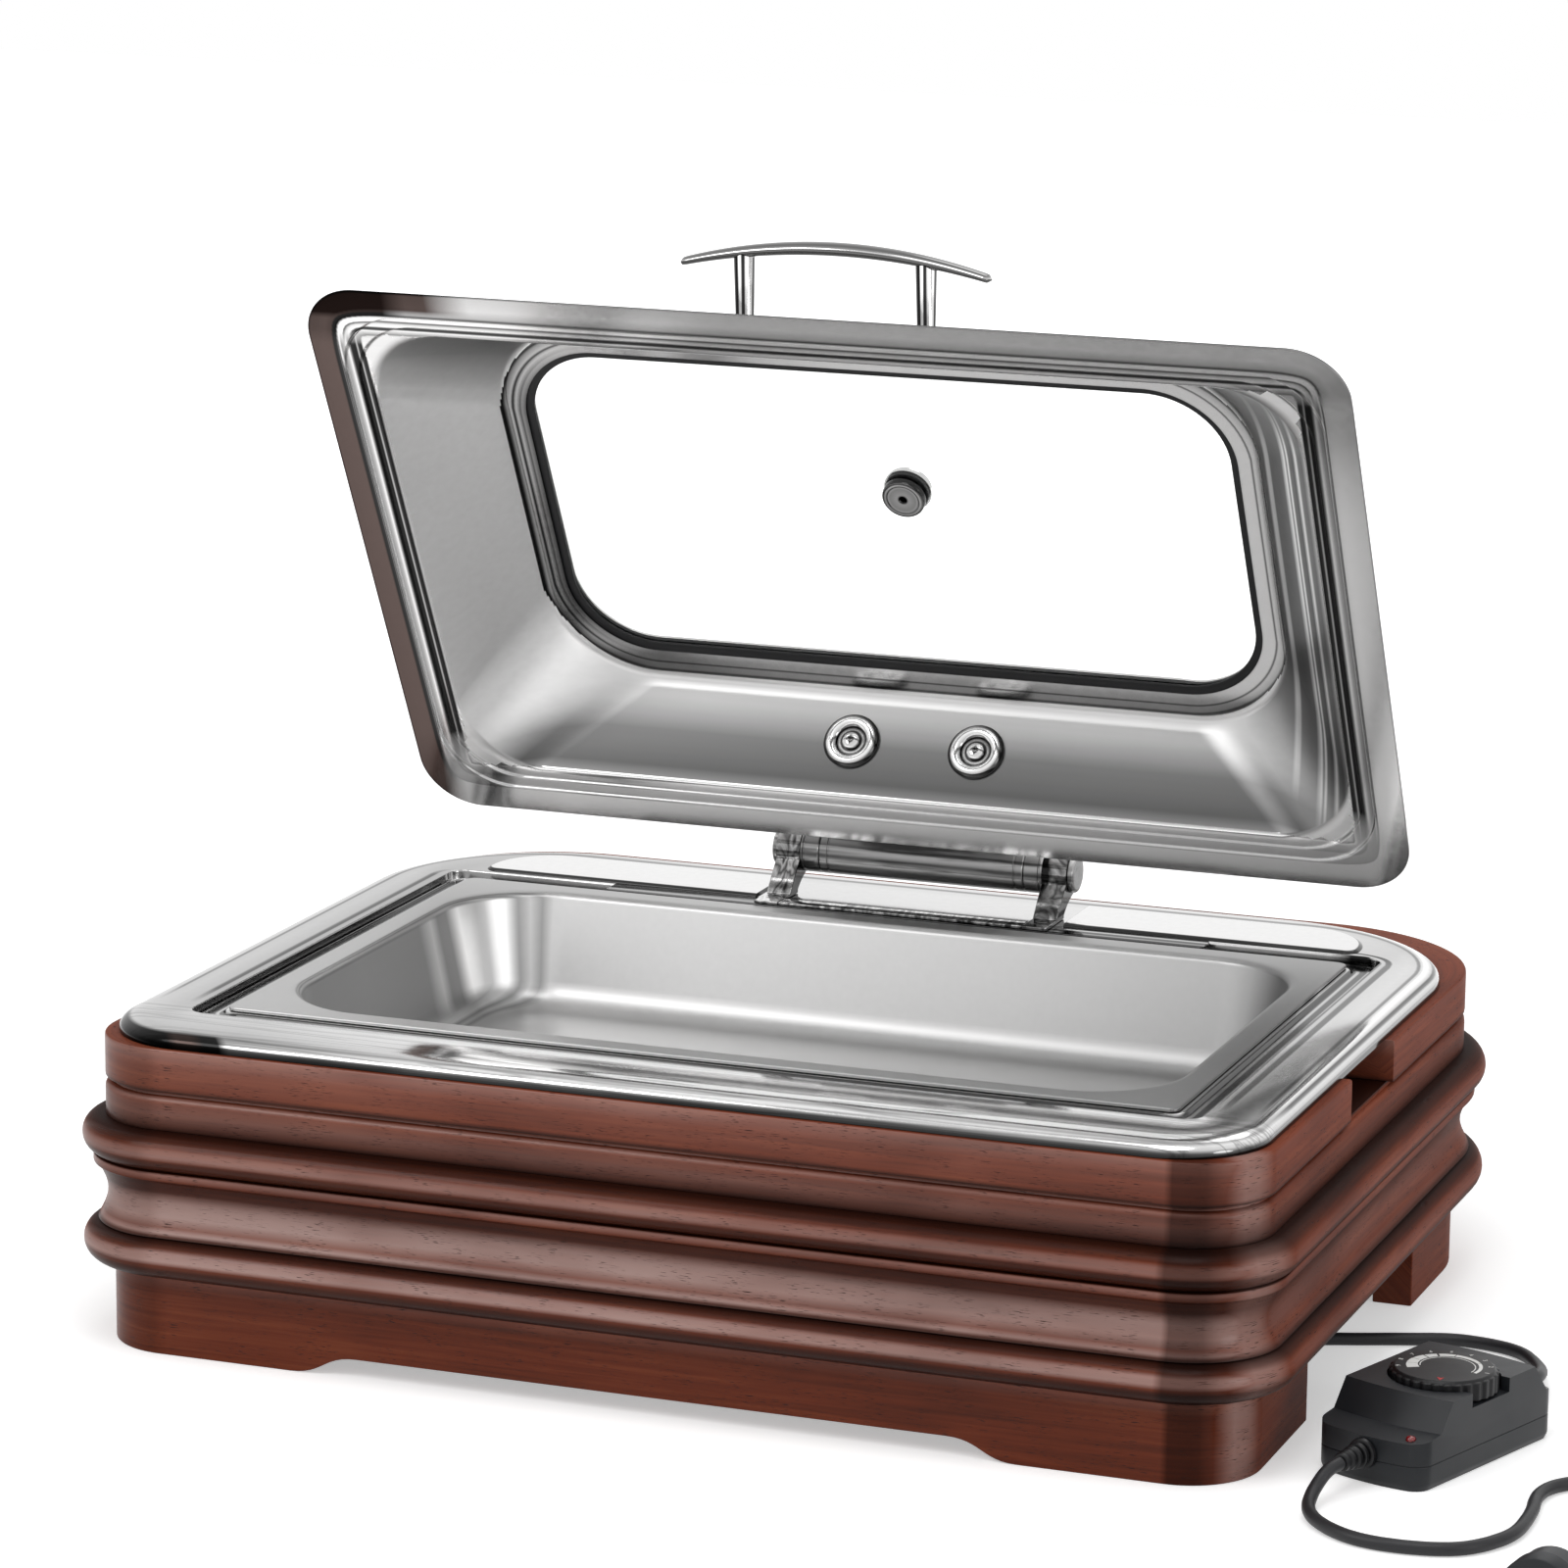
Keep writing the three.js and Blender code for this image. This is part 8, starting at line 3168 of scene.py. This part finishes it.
    def _plug(self) -> bpy.types.Object:
        """A moulded round plug with two pins, lying on the table.

        Returns:
            The plug.
        """
        end, neck, neck_length, body, body_length, face, face_length = self.plug_sizes
        shoulder = neck_length + body_length
        front = shoulder + face_length
        profile = [(0, 0), (end, 0)]
        for step in range(1, 5):
            profile.append((end + (neck - end) * step / 4, neck_length / 2 * step / 4))
        for step in range(9):
            swell = 0.5 - 0.5 * math.cos(math.pi * step / 8)
            along = neck_length + body_length / 2 * step / 8
            profile.append((neck + (body - neck) * swell, along))
        profile += [(body, shoulder - 0.4), (face - 0.8, shoulder), (face, shoulder + 0.8)]
        profile += [(face, front - 1.2), (face - 0.4, front - 0.4), (face - 1.2, front), (0, front)]
        turn = Matrix.Rotation(math.atan2(self.leave.y, self.leave.x), 4, "Z")
        place = Matrix.Translation(self.plug_face + self.leave * SEAT) @ turn
        piece = turning("mains_plug_skin", profile, place, 48, Axis.X)
        radius, length, spacing, rounding = self.pin
        tip = arc((radius - rounding, front + length - rounding), rounding, 0, 90, 4)
        profile = [(0, front - 0.8), (radius, front - 0.8), *tip, (0, front + length)]
        pins = []
        for side in (-spacing / 2, spacing / 2):
            beside = place @ Matrix.Translation((0, side, 0))
            pins.append(turning("pin", profile, beside, 24, Axis.X))
        piece = sharpened(carved(piece, *pins, how=Cut.JOINED))
        self.fitter.fit(piece, "case", Body.BASE, Slot.CASE, "mains_plug")
        back = place.inverted()

        def on_pins(middle: Vector) -> bool:
            """Whether a face belongs to the pins."""
            return (back @ middle).x > front + 0.01

        painted(piece, self.fitter.shelf.take("bright"), on_pins)
        return piece


# Camera, light and floor


@dataclass
class Studio:
    """The camera at the photograph's angle, three soft lamps, a white floor and a white world."""

    focal_pixels: float = 6126.19
    picture: float = 1600.0
    sensor: float = 36.0
    yaw: float = 20.43
    pitch: float = 12.51
    roll: float = 0.56
    eye: tuple[float, float, float] = (1096.49, -2998.49, 991.81)
    floor_size: float = 12.0
    floor_tone: float = 0.93
    floor_glow: tuple[float, float] = (0.42, 1.0)
    glow_reach: tuple[float, float] = (0.9, 3.0)
    ambient: float = 0.5
    lamps: tuple[tuple[str, tuple[float, float, float], float, float], ...] = (
        ("key", (-1.8, -2.3, 2.5), 1.5, 26.0), ("top", (0.3, -1.1, 3.0), 1.7, 24.0),
        ("side", (2.6, -1.0, 0.75), 1.1, 12.0), ("back", (0.2, 2.2, 2.9), 1.6, 12.0)
    )

    def camera(self) -> None:
        """Places the camera."""
        yaw, pitch, roll = (math.radians(a) for a in (self.yaw, self.pitch, self.roll))
        ahead = Vector(
            (-math.sin(yaw) * math.cos(pitch), math.cos(yaw) * math.cos(pitch), -math.sin(pitch))
        )
        right = Vector((math.cos(yaw), math.sin(yaw), 0))
        up = right.cross(ahead)
        across = right * math.cos(roll) + up * math.sin(roll)
        above = up * math.cos(roll) - right * math.sin(roll)
        data = bpy.data.cameras.new("camera")
        data.sensor_width = self.sensor
        data.lens = self.sensor * self.focal_pixels / self.picture
        data.clip_start, data.clip_end = 0.05, 100.0
        made = bpy.data.objects.new("camera", data)
        turn = Matrix((across, above, -ahead)).transposed().to_4x4()
        made.matrix_world = Matrix.Translation(Vector(self.eye) * METRE) @ turn
        bpy.context.scene.collection.objects.link(made)
        bpy.context.scene.camera = made

    def light(self) -> None:
        """Places the lamps and gives the world its white."""
        for name, place, size, power in self.lamps:
            data = bpy.data.lights.new(name, "AREA")
            data.shape, data.size, data.energy = "DISK", size, power
            lamp = bpy.data.objects.new(name, data)
            lamp.location = place
            aim = Vector((0, -0.02, 0.2)) - Vector(place)
            lamp.rotation_mode = "QUATERNION"
            lamp.rotation_quaternion = aim.to_track_quat("-Z", "Y")
            bpy.context.scene.collection.objects.link(lamp)
        world = bpy.data.worlds.new("white studio")
        bpy.context.scene.world = world
        world.use_nodes = True
        tree = world.node_tree
        background = tree.nodes["Background"]
        background.inputs["Color"].default_value = (1, 1, 1, 1)
        strength = self._ranged(tree, self._looked_at(tree), (0.0, 1.0), (self.ambient, 1.0))
        tree.links.new(strength, background.inputs["Strength"])

    @staticmethod
    def _looked_at(tree: bpy.types.NodeTree) -> bpy.types.NodeSocket:
        """Tells what is looked at from what gives light.

        Args:
            tree: the material's or the world's nodes.

        Returns:
            One for a ray from the camera, a mirror or a glass, and zero for light itself.
        """
        path = tree.nodes.new("ShaderNodeLightPath")
        value = path.outputs["Is Camera Ray"]
        for other in ("Is Glossy Ray", "Is Transmission Ray"):
            either = tree.nodes.new("ShaderNodeMath")
            either.operation = "MAXIMUM"
            tree.links.new(value, either.inputs[0])
            tree.links.new(path.outputs[other], either.inputs[1])
            value = either.outputs[0]
        return value

    @staticmethod
    def _ranged(
        tree: bpy.types.NodeTree,
        value: bpy.types.NodeSocket,
        source: tuple[float, float],
        target: tuple[float, float],
    ) -> bpy.types.NodeSocket:
        """A value carried over from one range to another.

        Args:
            tree: the material's or the world's nodes.
            value: the value.
            source: the range that it comes from.
            target: the range that it goes to.

        Returns:
            The new value.
        """
        made = tree.nodes.new("ShaderNodeMapRange")
        tree.links.new(value, made.inputs["Value"])
        made.inputs["From Min"].default_value, made.inputs["From Max"].default_value = source
        made.inputs["To Min"].default_value, made.inputs["To Max"].default_value = target
        return made.outputs["Result"]

    def floor(self) -> None:
        """Lays a pale floor under the dish."""
        mesh = bmesh.new()
        bmesh.ops.create_grid(mesh, x_segments=1, y_segments=1, size=self.floor_size / 2)
        data = bpy.data.meshes.new("floor")
        mesh.to_mesh(data)
        mesh.free()
        floor = bpy.data.objects.new("floor", data)
        bpy.context.scene.collection.objects.link(floor)
        pen = NodePen("pale floor")
        clouds = pen.noise(pen.places(), 2.0, 2.0)
        tone = self.floor_tone
        pen.to_shader("Base Color", pen.steps(clouds, (0.3, tone - 0.004), (0.7, tone + 0.004)))
        pen.set(Roughness=0.9, Specular_IOR_Level=0.1, Emission_Color=(1, 1, 1, 1))
        away = pen.tree.nodes.new("ShaderNodeVectorMath")
        away.operation = "LENGTH"
        pen.feed(away.inputs[0], pen.places())
        glow = self._ranged(pen.tree, away.outputs["Value"], self.glow_reach, self.floor_glow)
        seen = pen.worked("MULTIPLY", glow, self._looked_at(pen.tree))
        pen.to_shader("Emission Strength", seen)
        data.materials.append(pen.material)

    def build(self) -> None:
        """Lights the scene and lays the floor."""
        self.light()
        self.floor()
        view = bpy.context.scene.view_settings
        view.view_transform = "Standard"


def main() -> None:
    """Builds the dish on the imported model, from the camera and the cords on."""
    logging.basicConfig(level=logging.INFO, format="%(message)s")
    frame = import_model()
    fitter = Fitter(frame, Shelf())
    studio = Studio()
    studio.camera()
    controller = Controller(fitter)
    cords = Cords(fitter, controller)
    cords.build()
    WoodBase(fitter).build()
    SteelFrame(fitter).build()
    Pans(fitter).build()
    Hinge(fitter).build()
    Lid(fitter).build()
    Heater(fitter).build()
    controller.build()
    studio.build()


if __name__ == "__main__":
    main()
